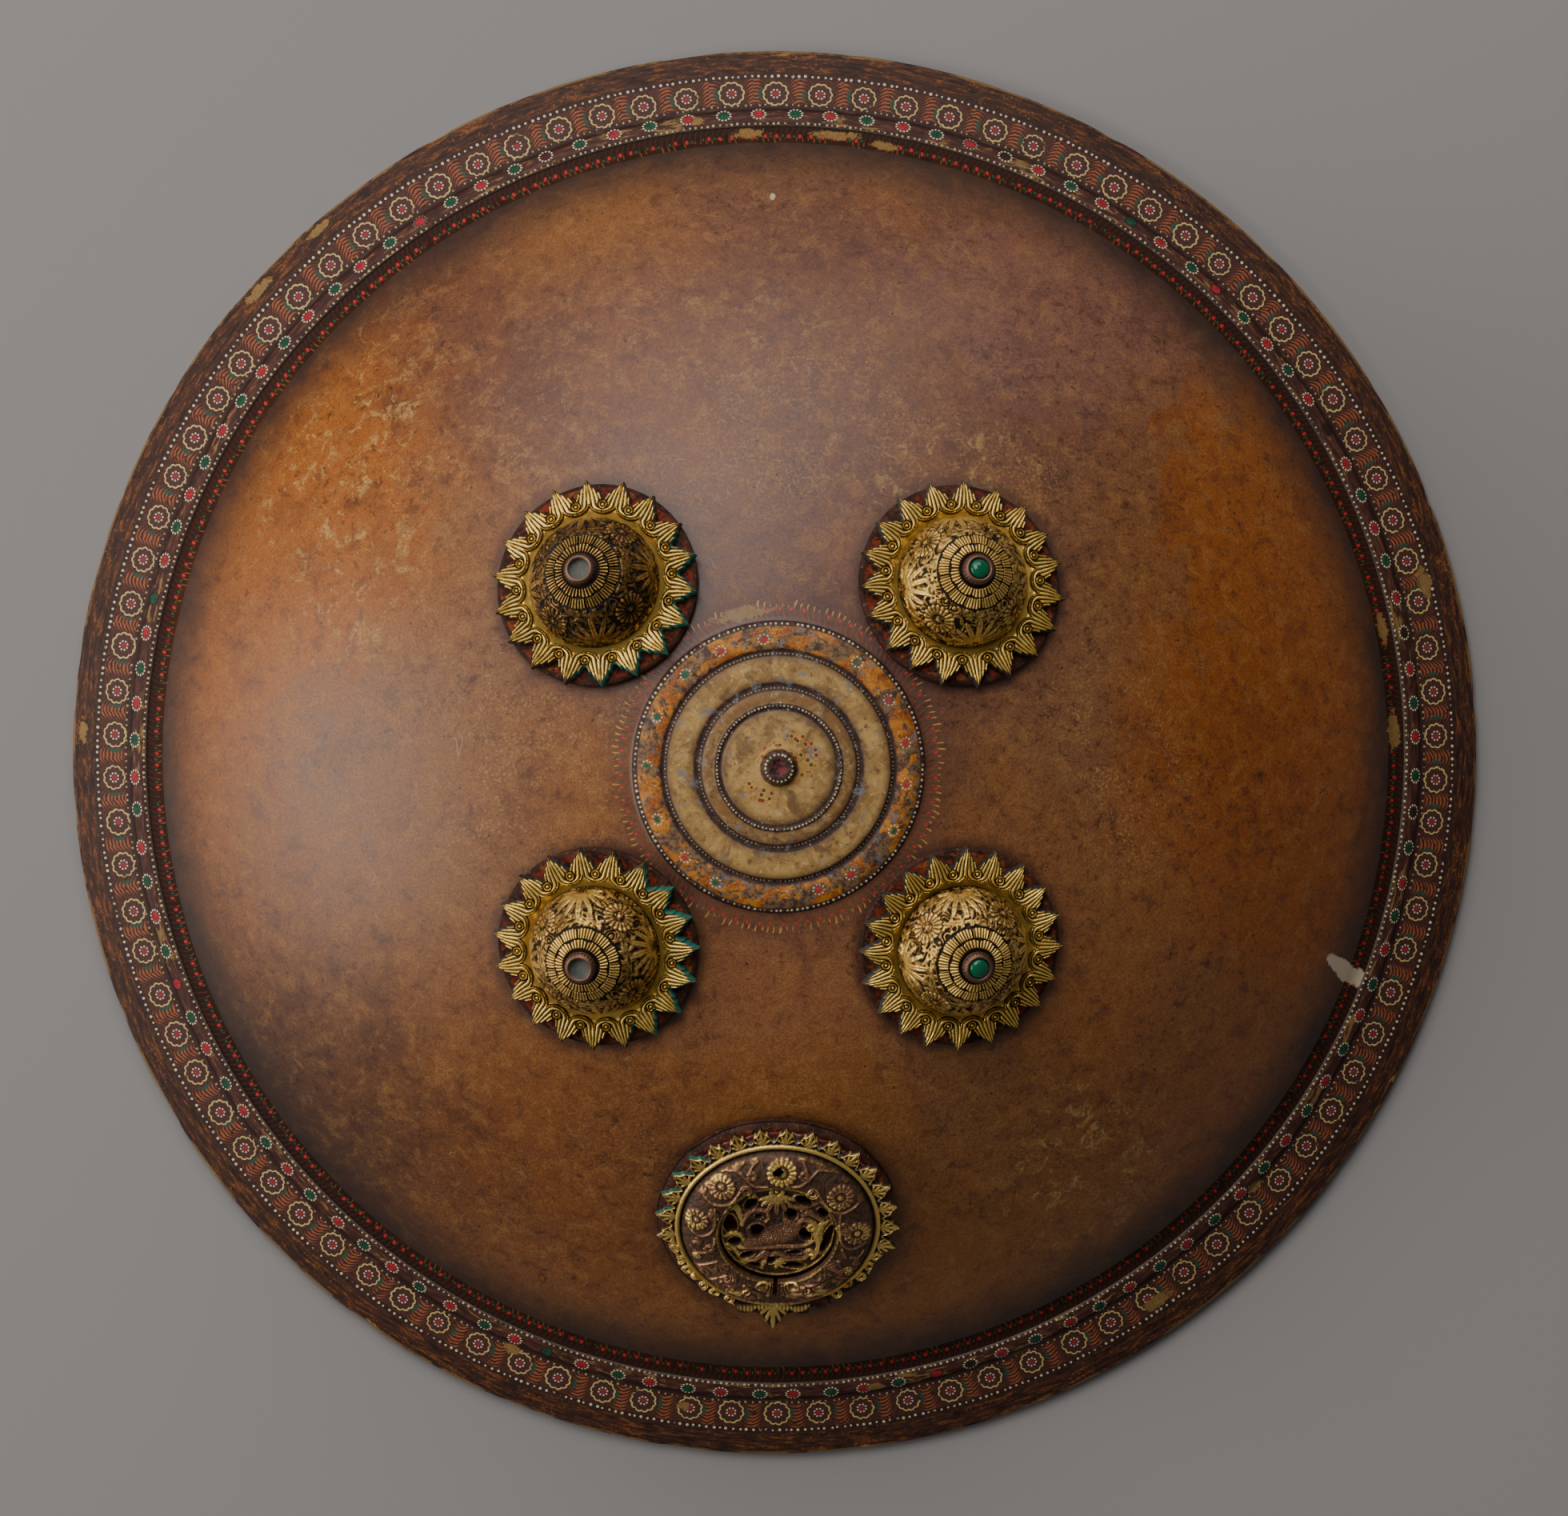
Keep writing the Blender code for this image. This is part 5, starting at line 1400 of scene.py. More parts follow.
def make_boss_collar(scene, name, place, leaves, green, paint):
    """Cast collar of acanthus leaves, with an eye in each valley."""
    s = scene.shield_bosses
    foot = (s.pad_top + s.gap) / MM
    bore, tip, valley, eye = s.bore / MM, s.leaf_tip / MM, s.leaf_valley / MM, s.eye_radius / MM
    outline = [(20 + 10 * share, 1) for share in np.linspace(0, 1, 41)]
    outline += [(30, 0.66), (30, 0.33), (30, 0), (27, 0), (23.5, 0), (20, 0), (20, 0.5)]
    piece = turn(name, outline, leaves * LEAF_STEPS, closed=True)
    points = points_of(piece)
    flag = points[:, 2].copy()
    share = (np.hypot(points[:, 0], points[:, 1]) - 20) / 10
    around = np.arctan2(points[:, 1], points[:, 0])
    turns = (around / math.tau * leaves) % leaves
    number = np.floor(turns).astype(np.int64)
    seed = seed_of(name)
    keys = np.stack([number, number * 0, number * 0], axis=1)
    length_here = hashed(keys, seed) - 0.6
    lean = hashed(keys, seed + 1) - 0.5
    a = 1 - np.abs(2 * (turns - number) - 1)
    edge = leaf_edge(a, tip, valley) + 0.5 * length_here * a**2
    edge += 0.2 * (cloud(points[:, :2] * 3, 1.6, seed) - 0.5) * (a > 0.05)
    radius = bore + (edge - bore) * share
    # Ribs run round the eye and then fan along the leaf to its tip and lobes; g is 1 on the midrib.
    w = np.clip((radius - eye) / (tip - eye), 0, 1)
    inner = np.sqrt(a**2 + ((eye - radius) / 3.1) ** 2)
    outer = 1 - (1 - a) / (1 - 0.78 * w)
    g = np.where(radius < eye, inner, outer)
    ribs = np.abs(np.cos(3 * math.pi * (1 - g))) ** 0.65 * (g < 1.03)
    beat = 0.78 + 0.22 * cloud(points, 2.2, seed)
    distance = np.hypot(radius - eye, a * math.pi * eye / leaves)
    in_eye = smooth(-distance, -2.0, -1.8)
    eye_shape = np.maximum(bump(distance, 1.25, 0.3), np.sqrt(np.clip(1 - (distance / 0.7) ** 2, 0, 1)))
    cove = 1.5 + 1.5 * np.clip((radius - bore) / 3.0, 0, 1) ** 1.4
    leaf = 3.42 - 1.15 * np.clip((radius - 28) / 9.2, 0, 1) ** 1.5 + 0.9 * (a - 0.5) * smooth(w, 0, 0.5)
    on_leaf = np.where(radius < eye, smooth(-g, -1.04, -0.96), 1)
    base = cove + (leaf - cove) * on_leaf * smooth(radius, 24.6, 25.6)
    carved = 0.85 * ribs * beat * (1 - in_eye) + 0.6 * eye_shape * in_eye - 0.4 * in_eye * (1 - eye_shape)
    rim = smooth(edge - radius, 0.75, 0.1)
    height = base + carved * on_leaf - 0.7 * rim + 0.06 * (cloud(points, 0.7, seed + 3) - 0.5)
    points[:, 2] = foot + np.where(flag > 0.99, height, np.where(flag > 0.01, height * flag, 0))
    points[:, 2] = np.where((share < 0.01) & (flag < 0.9), foot + 0.6 * flag, points[:, 2])
    bent = around + np.radians(lean * 2.4) * smooth(radius, 30, 37)
    points[:, 0], points[:, 1] = radius * np.cos(bent), radius * np.sin(bent)
    move_points(piece, points)
    relief = 1.08 * ribs**1.5 * beat
    relief = relief * (1 - in_eye) + in_eye * (0.95 * eye_shape - 0.05)
    on_cove = np.where(radius < eye, smooth(g, 1.02, 1.08), 0)
    relief = relief * (1 - on_cove) + on_cove * 0.98
    relief -= 0.8 * bump(g, 1.03, 0.04) * (radius < eye)
    # Dark at the bore, where the collar meets the dome, and along the leaves' edges: patina and painted
    # shade.
    relief -= 0.5 * smooth(-radius, -23.6, -23.1) + 0.75 * rim
    store(piece, "relief", np.clip(relief, -0.3, 1))
    degrees = np.degrees(around)
    tips = np.zeros(len(points))
    for centre, half, strength in green:
        tips = np.maximum(tips, sector(degrees, centre, half) * strength)
    store(piece, "tips", tips * np.clip(smooth(edge - radius, 1.9, 0.1), 0, 1))
    return finish_piece(piece, paint, (name,), place, sharp=60)


def dome_outline(scene, rows):
    """Outer profile of a boss's dome: (radius, height, arc distance from the crown), foot first."""
    s = scene.shield_bosses
    radius, foot, height = (s.bore - s.gap) / MM, (s.pad_top + s.gap) / MM, s.dome_height / MM
    crown = s.setting_radius / MM + s.gap / MM
    top_share = math.sqrt(1 - (crown / radius) ** 2)
    fine = [
        (radius * math.sqrt(1 - u**2), foot + height * u / top_share)
        for u in np.sin(np.linspace(0, math.asin(top_share), 2000))
    ]
    fine = np.array(fine)
    steps = np.hypot(*np.diff(fine, axis=0).T)
    travelled = np.concatenate([[0], np.cumsum(steps)])
    wanted = np.linspace(0, travelled[-1], rows)
    profile = np.column_stack([np.interp(wanted, travelled, fine[:, k]) for k in (0, 1)])
    return profile, travelled[-1] - wanted + crown


def petal_ring(radius, phi, low, high, petals, ribs):
    """Height from 0 to 1 of a ring of ribbed petals."""
    q = np.abs((phi * petals / math.tau) % 1 - 0.5) * 2
    outer = high - 0.9 * q**3
    body = smooth(radius, low, low + 0.3) * smooth(outer - radius, 0.0, 0.25)
    rib = np.abs(np.sin(phi * petals * ribs / 2)) ** 0.7
    gap = 1 - 0.85 * smooth(q, 0.88, 1.0)
    return body * gap * (0.28 + 0.72 * rib) * (0.78 + 0.22 * (radius - low) / (high - low))


def dome_relief(along, phi, radius, points, seed):
    """Height in millimetres of the embossing on a dome, and its share from 0 to 1."""
    total = petal_ring(along, phi, 6.2, 9.7, 9, 5)
    total = np.maximum(total, 1.05 * petal_ring(along, phi + 0.13, 9.7, 13.9, 12, 6))
    ground = cloud(points, 0.85, seed)
    vines = np.zeros(len(along))
    figures = np.zeros(len(along))
    for k in range(4):
        turn_k = math.radians(90 * k + 8)
        x = ((phi - turn_k + math.pi) % math.tau - math.pi) * radius
        figures = np.maximum(figures, 0.95 * daisy(x, 23.4 - along, 6.2, 17, 0.24))
        for lean, size in ((-90, 10.5), (-60, 9.0), (-120, 9.0), (-30, 7.4), (-150, 7.4)):
            vines = np.maximum(vines, 0.9 * leaflet(x, 27.0 - along, lean, size, 1.3, 4.2))
        x = ((phi - turn_k - math.pi / 4 + math.pi) % math.tau - math.pi) * radius
        y = 30.5 - along
        for lean, size, width in (
            (90, 12.5, 1.7), (66, 11.5, 1.5), (114, 11.5, 1.5), (42, 10, 1.5), (138, 10, 1.5), (18, 8.4, 1.4),
            (162, 8.4, 1.4), (-8, 7, 1.2), (188, 7, 1.2),
        ):
            figures = np.maximum(figures, leaflet(x, y, lean, size, width, 0.8))
        figures = np.maximum(figures, 0.8 * daisy(x, y - 0.4, 2.6, 9, 0.35))
        for side in (-1, 1):
            for offset, where, size in ((20, 17.2, 2.6), (25, 29.0, 2.4), (38, 17.0, 2.2)):
                x = ((phi - turn_k - math.radians(side * offset) + math.pi) % math.tau - math.pi) * radius
                for lean in (20, 70, 130, 200, 290):
                    vines = np.maximum(
                        vines, 0.85 * leaflet(x, where - along, lean * side, 1.5 * size, 0.95, 0.3)
                    )
    zone = smooth(along, 13.9, 14.5) * smooth(-along, -35.2, -34.0)
    waves = np.abs(np.sin(cloud(points, 3.4, seed + 5) * 17)) ** 1.2
    low = np.maximum(vines, 0.72 * waves)
    field = np.where(figures > 0.12, figures, low) * (0.82 + 0.36 * ground)
    total = total + zone * np.clip(field, 0, 1.1)
    band = smooth(along, 34.3, 34.7) * 0.35 * smooth(-along, -36.2, -35.6)
    return total + band, np.clip(total / 0.95, 0, 1)


def make_boss_dome(scene, name, place, shine, paint):
    """Embossed hollow dome, open below."""
    profile, along = dome_outline(scene, DOME_ROWS)
    s = scene.shield_bosses
    foot = (s.pad_top + s.gap) / MM
    inside = [
        (r, h)
        for r, h in zip(
            21.5 * np.cos(np.linspace(math.pi / 2, 0, 9)),
            foot + 22.2 * np.sin(np.linspace(math.pi / 2, 0, 9)),
        )
    ]
    top = profile[-1][1]
    outline = [(0, top), (2.5, top), (4.6, top)] + [
        tuple(row) for row in profile[::-1]
    ] + [tuple(row) for row in inside[::-1]]
    piece = turn(name, outline, DOME_STEPS)
    points = points_of(piece)
    radius = np.hypot(points[:, 0], points[:, 1])
    phi = np.arctan2(points[:, 1], points[:, 0])
    order = np.argsort(profile[:, 1])
    distance = np.interp(points[:, 2], profile[order, 1], along[order])
    near = np.abs(radius - np.interp(points[:, 2], profile[order, 1], profile[order, 0])) < 0.05
    seed = seed_of(name)
    height, relief = dome_relief(distance, phi, radius, points, seed)
    unit = np.column_stack([points[:, 0] / 22.7**2, points[:, 1] / 22.7**2, (points[:, 2] - foot) / 24.3**2])
    unit /= np.maximum(np.linalg.norm(unit, axis=1), 1e-9)[:, None]
    move_points(piece, points + unit * (height * near)[:, None])
    store(piece, "relief", np.clip(np.where(near, relief, 0.3) + shine, 0, 1))
    return finish_piece(piece, paint, (name,), place, sharp=60)


def make_setting(scene, name, place, paint, floor_paint):
    """Cup with a beaded lip on top of a dome."""
    s = scene.shield_bosses
    foot = (s.pad_top + s.gap + s.dome_height + s.gap) / MM
    radius = s.setting_radius / MM
    inner = radius - s.setting_lip / MM
    outline = [
        (0, foot), (radius * 0.94, foot), (radius * 0.97, foot + 0.5), (radius * 0.985, foot + 0.9),
        (radius * 0.93, foot + 1.15),
    ]
    outline += [
        (radius * 0.9, foot + 1.3), (radius * 0.93, foot + 1.5), (radius * 0.985, foot + 1.75),
        (radius * 0.985, foot + 2.1),
    ]
    outline += [
        (radius * 0.95, foot + 2.5), (radius * 0.9, foot + 2.75), (radius * 0.87, foot + 2.85),
        (radius * 0.84, foot + 3.05),
    ]
    outline += [
        (radius * 0.79, foot + 3.3), (radius * 0.74, foot + 3.38), (radius * 0.69, foot + 3.3),
        (inner, foot + 3.06),
    ]
    outline += [
        (inner, foot + 2.4), (inner, foot + 1.6), (inner, foot + 0.95), (inner - 0.05, foot + 0.9),
        (inner - 1.2, foot + 0.9), (0, foot + 0.9),
    ]
    piece = turn(name, outline, CUP_STEPS)
    points = points_of(piece)
    out = np.hypot(points[:, 0], points[:, 1])
    phi = np.arctan2(points[:, 1], points[:, 0])
    high = points[:, 2] - foot
    bead = np.abs(np.sin(phi * 13)) ** 0.6
    on_lip = bump(out, radius * 0.96, 0.5) * bump(high, 1.9, 0.75)
    points[:, :2] *= (1 - 0.07 * on_lip * (1 - bead))[:, None]
    move_points(piece, points)
    store(
        piece, "relief",
        np.clip(
            0.62 - 0.5 * on_lip * (1 - bead) - 0.4 * bump(high, 1.3, 0.2) + 0.2 * smooth(high, 2.9, 3.3), 0, 1
        ),
    )
    piece.data.materials.append(paint)
    piece.data.materials.append(floor_paint)
    for face in piece.data.polygons:
        centre = face.center / MM
        inside = math.hypot(centre.x, centre.y) < inner + 0.02 and centre.z > foot + 0.5
        face.material_index = 1 if inside else 0
    return finish_piece(piece, None, (name,), place)


def make_stone(scene, name, place, paint):
    """Round cabochon of green glass."""
    s = scene.shield_bosses
    foot = (s.pad_top + s.gap + s.dome_height + s.gap) / MM + 0.9 + 0.3
    radius = (s.setting_radius - s.setting_lip - s.gap) / MM
    outline = [(0, foot), (radius * 0.9, foot), (radius, foot + 0.15), (radius, foot + 1.4)]
    outline += [
        (radius * math.cos(u), foot + 1.4 + 1.88 * math.sin(u)) for u in np.linspace(0.12, math.pi / 2, 14)
    ]
    outline[-1] = (0, foot + 3.28)
    piece = turn(name, outline, SMALL_STEPS)
    return finish_piece(piece, paint, (name,), place)


def each_boss(scene):
    """Name, place, leaves, whether the stone is left, and green tips of each boss."""
    for name, turn_degrees, leaves, has_stone, green in BOSSES:
        yield name, seat(
            scene.shield_plate, scene.shield_bosses.distance, turn_degrees
        ), leaves, has_stone, green


def make_boss_pads(scene):
    """Four leather pads."""
    s = scene.shield_bosses
    pad = make_leather("pad_leather", s.pad, "2C1810", 0.75, s.pad_red)
    for name, place, _, _, _ in each_boss(scene):
        make_boss_pad(scene, f"boss_{name}_pad", place, pad)


def make_boss_collars(scene):
    """Four gilt collars."""
    s = scene.shield_bosses
    # Rubbed gilding: bright yellow on the ribs and brown-black in the grooves.
    gilt = make_metal("gilt_copper", s.gilt, s.gilt_deep, s.patina, s, 0.36, green=True, soften=0.08)
    for name, place, leaves, _, green in each_boss(scene):
        make_boss_collar(scene, f"boss_{name}_collar", place, leaves, green, gilt)


def make_boss_domes(scene):
    """Four embossed domes."""
    # Gold left on the high spots of the embossing, over brown copper.
    embossed = make_metal(
        "embossed_gilt", "F4CC70", "8E6830", "1E120B", scene.shield_bosses, 0.38, pink="94643E", soften=0.24
    )
    shine = {"upper_right": 0.06, "upper_left": -0.14, "lower_left": 0.03, "lower_right": 0.05}
    for name, place, _, _, _ in each_boss(scene):
        make_boss_dome(scene, f"boss_{name}_dome", place, shine[name], embossed)


def make_settings(scene):
    """Four cups on top of the domes."""
    s = scene.shield_bosses
    copper = make_metal("bare_copper", s.copper, "5A4030", "180F0A", s, 0.46, soften=0.1)
    # Dry grey cement on the floor of a cup, seen where the stone is gone.
    putty, tree, shader = material("grey_putty", 0.8)
    tone = coat(
        tree, "4A4A44", "7C7C72",
        add(tree, "TexNoise", place_in_mm(tree), Scale=1 / 1.2, Detail=3, Roughness=0.55),
    )
    connect(tree, shader, tone)
    for name, place, _, _, _ in each_boss(scene):
        make_setting(scene, f"boss_{name}_setting", place, copper, putty)


def make_stones(scene):
    """Two green stones that are left."""
    # Clear deep green glass with a small bright highlight.
    glass, _, shader = material("green_glass", 0.05, Transmission_Weight=0.3, IOR=1.52)
    shader.inputs["Base Color"].default_value = (*scene.shield_bosses.stone, 1)
    for name, place, _, has_stone, _ in each_boss(scene):
        if has_stone:
            make_stone(scene, f"boss_{name}_stone", place, glass)


def ridge(x, y, path, profile=0.5):
    """Height from 0 to 1 of a rounded stroke through points (x, y, half width)."""
    best = np.zeros(len(x))
    for (x0, y0, w0), (x1, y1, w1) in zip(path, path[1:]):
        dx, dy = x1 - x0, y1 - y0
        share = np.clip(((x - x0) * dx + (y - y0) * dy) / (dx * dx + dy * dy), 0, 1)
        distance = np.hypot(x - x0 - share * dx, y - y0 - share * dy)
        width = w0 + (w1 - w0) * share
        best = np.maximum(best, np.clip(1 - (distance / width) ** 2, 0, 1) ** profile)
    return best


def curve(points, steps=8):
    """Smooth path through points (x, y, half width), as a finer list."""
    rows = np.array([points[0], *points, points[-1]], dtype=float)
    fine = []
    for k in range(1, len(rows) - 2):
        p0, p1, p2, p3 = rows[k - 1 : k + 3]
        for t in np.linspace(0, 1, steps, endpoint=False):
            fine.append(
                0.5 * (
                    2 * p1 + (p2 - p0) * t + (
                        2 * p0 - 5 * p1 + 4 * p2 - p3
                    ) * t**2 + (3 * p1 - p0 - 3 * p2 + p3) * t**3
                )
            )
    fine.append(rows[-1])
    return [tuple(row) for row in fine]


def crest_heights(scene):
    """Feet of the crest's layers in millimetres: felt, collar and the top of its pierced disc."""
    c, gap = scene.shield_crest, scene.shield_bosses.gap / MM
    felt = c.pad_top / MM + gap
    collar = felt + c.felt_thickness / MM + gap
    return felt, collar, collar + (c.arch_height - c.pierced_depth) / MM


def crest_pad_radius(degrees, radius):
    """Outline of the crest's pad: round, pointed under the finial and broken away on one side."""
    from_point = np.abs((degrees - FINIAL + 180) % 360 - 180)
    signed = (degrees + 180) % 360 - 180
    lost = smooth(signed, -40, -35) * smooth(-signed, -16, -11)
    return radius + 3.6 * np.clip(1 - from_point / 24, 0, 1) - 5.6 * lost


def make_crest_pad(scene, place, paint):
    """Leather pad under the crest."""
    c, s = scene.shield_crest, scene.shield_bosses
    sphere, radius, top = scene.shield_plate.dome_radius / MM, c.pad_radius / MM, c.pad_top / MM
    shares = [(u, top) for u in np.linspace(0, 0.935, 14)]
    shares += [
        (0.955, top - 0.22), (0.972, top - 0.7), (0.986, top - 1.4), (0.995, top - 2.1), (1.0, top - 2.7),
        (1.0, 0), (1.0, -1.0), (1.0, -1.6),
    ]
    shares += [(u, -2.5) for u in np.linspace(0.995, 0, 9)]
    piece = turn("crest_pad", [(u * 40, h) for u, h in shares], CREST_PAD_STEPS)
    points = points_of(piece)
    out = np.hypot(points[:, 0], points[:, 1])
    angle_here = np.arctan2(points[:, 1], points[:, 0])
    limit = crest_pad_radius(np.degrees(angle_here), radius) - 0.5 * cloud(
        points[:, :2] / np.maximum(out, 1)[:, None] * 43, 7, 4
    )
    grown = out / 40 * limit
    under = points[:, 2] < -2.4
    points[:, 0], points[:, 1] = grown * np.cos(angle_here), grown * np.sin(angle_here)
    points[:, 2] = np.where(under, s.pad_seat / MM - sphere + np.sqrt(sphere**2 - grown**2), points[:, 2])
    points[:, 2] -= np.where(points[:, 2] > top - 0.05, 0.25 * cloud(points, 5, 9) * smooth(grown, 20, 30), 0)
    move_points(piece, points)
    store(piece, "inner", smooth(-grown, -42.0, -41.0))
    return finish_piece(piece, paint, ("crest_pad",), place)


def make_crest_felt(scene, place, paint):
    """Faded red cloth between the pad and the collar."""
    c = scene.shield_crest
    foot, _, _ = crest_heights(scene)
    radius, thick = c.felt_radius / MM, c.felt_thickness / MM
    outline = [(r, foot + thick) for r in np.linspace(0, radius - 0.3, 16)]
    outline += [(radius, foot + thick * 0.6), (radius - 0.1, foot), (radius * 0.5, foot), (0, foot)]
    piece = turn("crest_felt", outline, CREST_PAD_STEPS)
    points = points_of(piece)
    out = np.hypot(points[:, 0], points[:, 1])
    away = points[:, :2] / np.maximum(out, 1)[:, None]
    points[:, :2] -= away * (
        (1.3 * cloud(away * 41, 2.4, 7) + 0.4 * cloud(away * 41, 0.8, 8)) * smooth(out, 36, 40)
    )[:, None]
    points[:, 2] -= np.where(points[:, 2] > foot + 0.5, 0.3 * cloud(points, 1.4, 3), 0)
    move_points(piece, points)
    return finish_piece(piece, paint, ("crest_felt",), place)


def crest_edge(degrees):
    """Radius of the collar's outer edge: leaves, scrolls, the finial and the notch."""
    turn_here = (degrees + 20) % 360 - 20
    share = (turn_here + 14) / 12.5
    a = 1 - 2 * np.abs(share - np.round(share))
    leaf = 38.3 + 5.9 * (0.6 * a + 0.4 * a**2) + bump(a, 0.42, 0.16)
    leaves = (turn_here > -20.3) & (turn_here < 192.2)
    wavy = 40.5 - 1.3 * np.abs(np.sin(np.radians(turn_here - 192) * 9.6)) ** 1.5
    side = np.abs(turn_here - FINIAL)
    tip = 38.3 + 10.4 * np.clip(1 - side / 9.0, 0, 1) ** 0.95
    wing = 38.3 + 4.6 * smooth(side, 7, 14) * smooth(-side, -20.5, -17.0)
    finial = np.maximum(tip, wing)
    edge = np.where(leaves, leaf, wavy)
    edge = np.where(side < 20.5, finial, edge)
    notch = smooth(-np.abs((turn_here - NOTCH + 180) % 360 - 180), -6.0, -5.2)
    return edge - (edge - 37.25) * notch


def collar_relief(x, y, degrees, radius, points, edge):
    """Heights from 0 to 1 of the collar's ring and of its carving, and how much gilding is left."""
    ring = np.sqrt(np.clip(1 - ((radius - 35.95) / 1.05) ** 2, 0, 1))
    total = np.zeros(len(x))
    gold = np.full(len(x), 0.62)
    for k in range(17):
        turn_k = math.radians(-14 + 12.5 * k)
        c, s = math.cos(turn_k), math.sin(turn_k)
        u, v = -x * s + y * c, x * c + y * s - 36.9
        near = (np.abs(u) < 5) & (v > -1.5)
        here = np.zeros(len(x))
        nu, nv = u[near], v[near]
        part = np.zeros(len(nu))
        for lean, size, width in (
            (90, 6.6, 0.85), (64, 5.4, 0.7), (116, 5.4, 0.7), (32, 3.8, 0.65), (148, 3.8, 0.65)
        ):
            part = np.maximum(part, leaflet(nu, nv, lean, size, width, 0.2))
        here[near] = part
        total = np.maximum(total, here)
    leaves = smooth(np.sin(np.radians(degrees)), -0.3, -0.2)
    total = np.maximum(total, bump(edge - radius, 0.62, 0.34) * leaves)
    for k in range(2, 12):
        turn_k = math.radians(-14 + 12.5 * (k + 0.5))
        distance = np.hypot(x - 37.9 * math.cos(turn_k), y - 37.9 * math.sin(turn_k))
        total = np.maximum(total, 1.25 * np.sqrt(np.clip(1 - (distance / 0.75) ** 2, 0, 1)))
        gold = np.where(distance < 0.8, -1.0, gold)
    for turn_k, size, way in (
        (196, 2.0, 1), (204, 2.2, -1), (212, 1.9, 1), (226, 2.1, -1), (234, 2.0, 1), (243, 2.2, -1),
        (304, 2.2, 1), (322, 2.0, -1), (330, 2.2, 1), (338, 1.9, -1),
    ):
        px, py = 38.4 * math.cos(math.radians(turn_k)), 38.4 * math.sin(math.radians(turn_k))
        total = np.maximum(total, 1.05 * scroll(x - px, y - py, size, way, 0.42))
    leaves = ridge(x, y, curve([(-37.5, -6, 0.9), (-36.9, -11, 1.0), (-35, -15.6, 0.8)])) * 0.8
    leaves = np.maximum(
        leaves, ridge(x, y, curve([(37.8, -13, 0.8), (36.2, -17.5, 1.0), (33.0, -22.0, 0.9)])) * 0.8
    )
    total = np.maximum(total, leaves)
    for lean, size, width in (
        (-90, 12.2, 1.5), (-108, 9.4, 1.2), (-72, 9.2, 1.2), (-134, 7.8, 1.3), (-46, 7.6, 1.3)
    ):
        total = np.maximum(total, leaflet(x + 1.4, y + 36.4, lean, size, width * 0.8, 0.0))
    wing_left = curve([(-3.0, -37.2, 1.3), (-8, -38.6, 1.9), (-13, -38.4, 1.6), (-17, -36.0, 0.6)])
    wing_right = curve([(0.4, -37.2, 1.3), (5, -38.8, 1.9), (9, -38.8, 1.5), (12, -37.0, 0.6)])
    for wing in (wing_left, wing_right):
        body = ridge(x, y, wing)
        veins = 1 - 0.45 * np.abs(np.sin(x * 2.4))
        total = np.maximum(total, body * veins)
        gold = gold + 0.3 * (body > 0.2)
    gold = gold + 0.35 * cloud(points, 6, 21)
    for turn_k, where in ((218, 37.3), (314, 36.4)):
        px, py = where * math.cos(math.radians(turn_k)), where * math.sin(math.radians(turn_k))
        distance = np.hypot(x - px, y - py)
        ball = np.sqrt(np.clip(1 - (distance / 2.1) ** 2, 0, 1))
        total = np.where(distance < 2.15, 2.3 * ball, total)
        gold = np.where(distance < 2.15, 1.1, gold)
    low = smooth(-y, 20, 32)
    gold = np.where(radius < 37.0, 1.05 - 0.4 * (cloud(points, 8, 22) > 0.7) - 0.75 * low, gold)
    return ring, total, gold


def make_crest_collar(scene, place, paint):
    """Cast collar of the crest with its smooth bright ring."""
    c = scene.shield_crest
    _, foot, _ = crest_heights(scene)
    bore = c.bore / MM
    outline = [
        (20 + 10 * u, 1) for u in np.linspace(0, 1, 34)
    ] + [(30, 0.5), (30, 0), (26, 0), (20, 0), (20, 0.5)]
    piece = turn("crest_collar", outline, CREST_COLLAR_STEPS, closed=True)
    points = points_of(piece)
    flag = points[:, 2].copy()
    share = (np.hypot(points[:, 0], points[:, 1]) - 20) / 10
    around = np.arctan2(points[:, 1], points[:, 0])
    degrees = np.degrees(around)
    edge = crest_edge(degrees) + 0.2 * (
        cloud(np.column_stack([np.cos(around), np.sin(around)]) * 41, 1.1, 6) - 0.5
    )
    edge = np.minimum(edge, 48.4)
    radius = bore + (edge - bore) * share
    x, y = radius * np.cos(around), radius * np.sin(around)
    flat = np.column_stack([x, y])
    ring, carved, gold = collar_relief(x, y, degrees, radius, flat, edge)
    height = 1.3 + 1.55 * ring * (radius < 37.1) + np.where(radius > 36.7, 0.9 * carved, 0)
    height = height - 0.35 * smooth(share, 0.93, 1.0) + 0.1 * (cloud(flat, 0.8, 5) - 0.5)
    points[:, 0], points[:, 1] = x, y
    points[:, 2] = foot + np.where(flag > 0.99, height, np.where(flag > 0.01, height * 0.5, 0))
    move_points(piece, points)
    relief = np.where(radius < 36.9, 0.35 + 0.65 * ring, 0.02 + 0.9 * carved)
    store(piece, "relief", np.clip(relief, 0, 1))
    store(piece, "gilding", gold)
    tips = sector(degrees, 152, 26) * smooth(edge - radius, 0.8, 0.1)
    store(piece, "tips", 0.62 * tips)
    return finish_piece(piece, paint, ("crest_collar",), place, sharp=60)


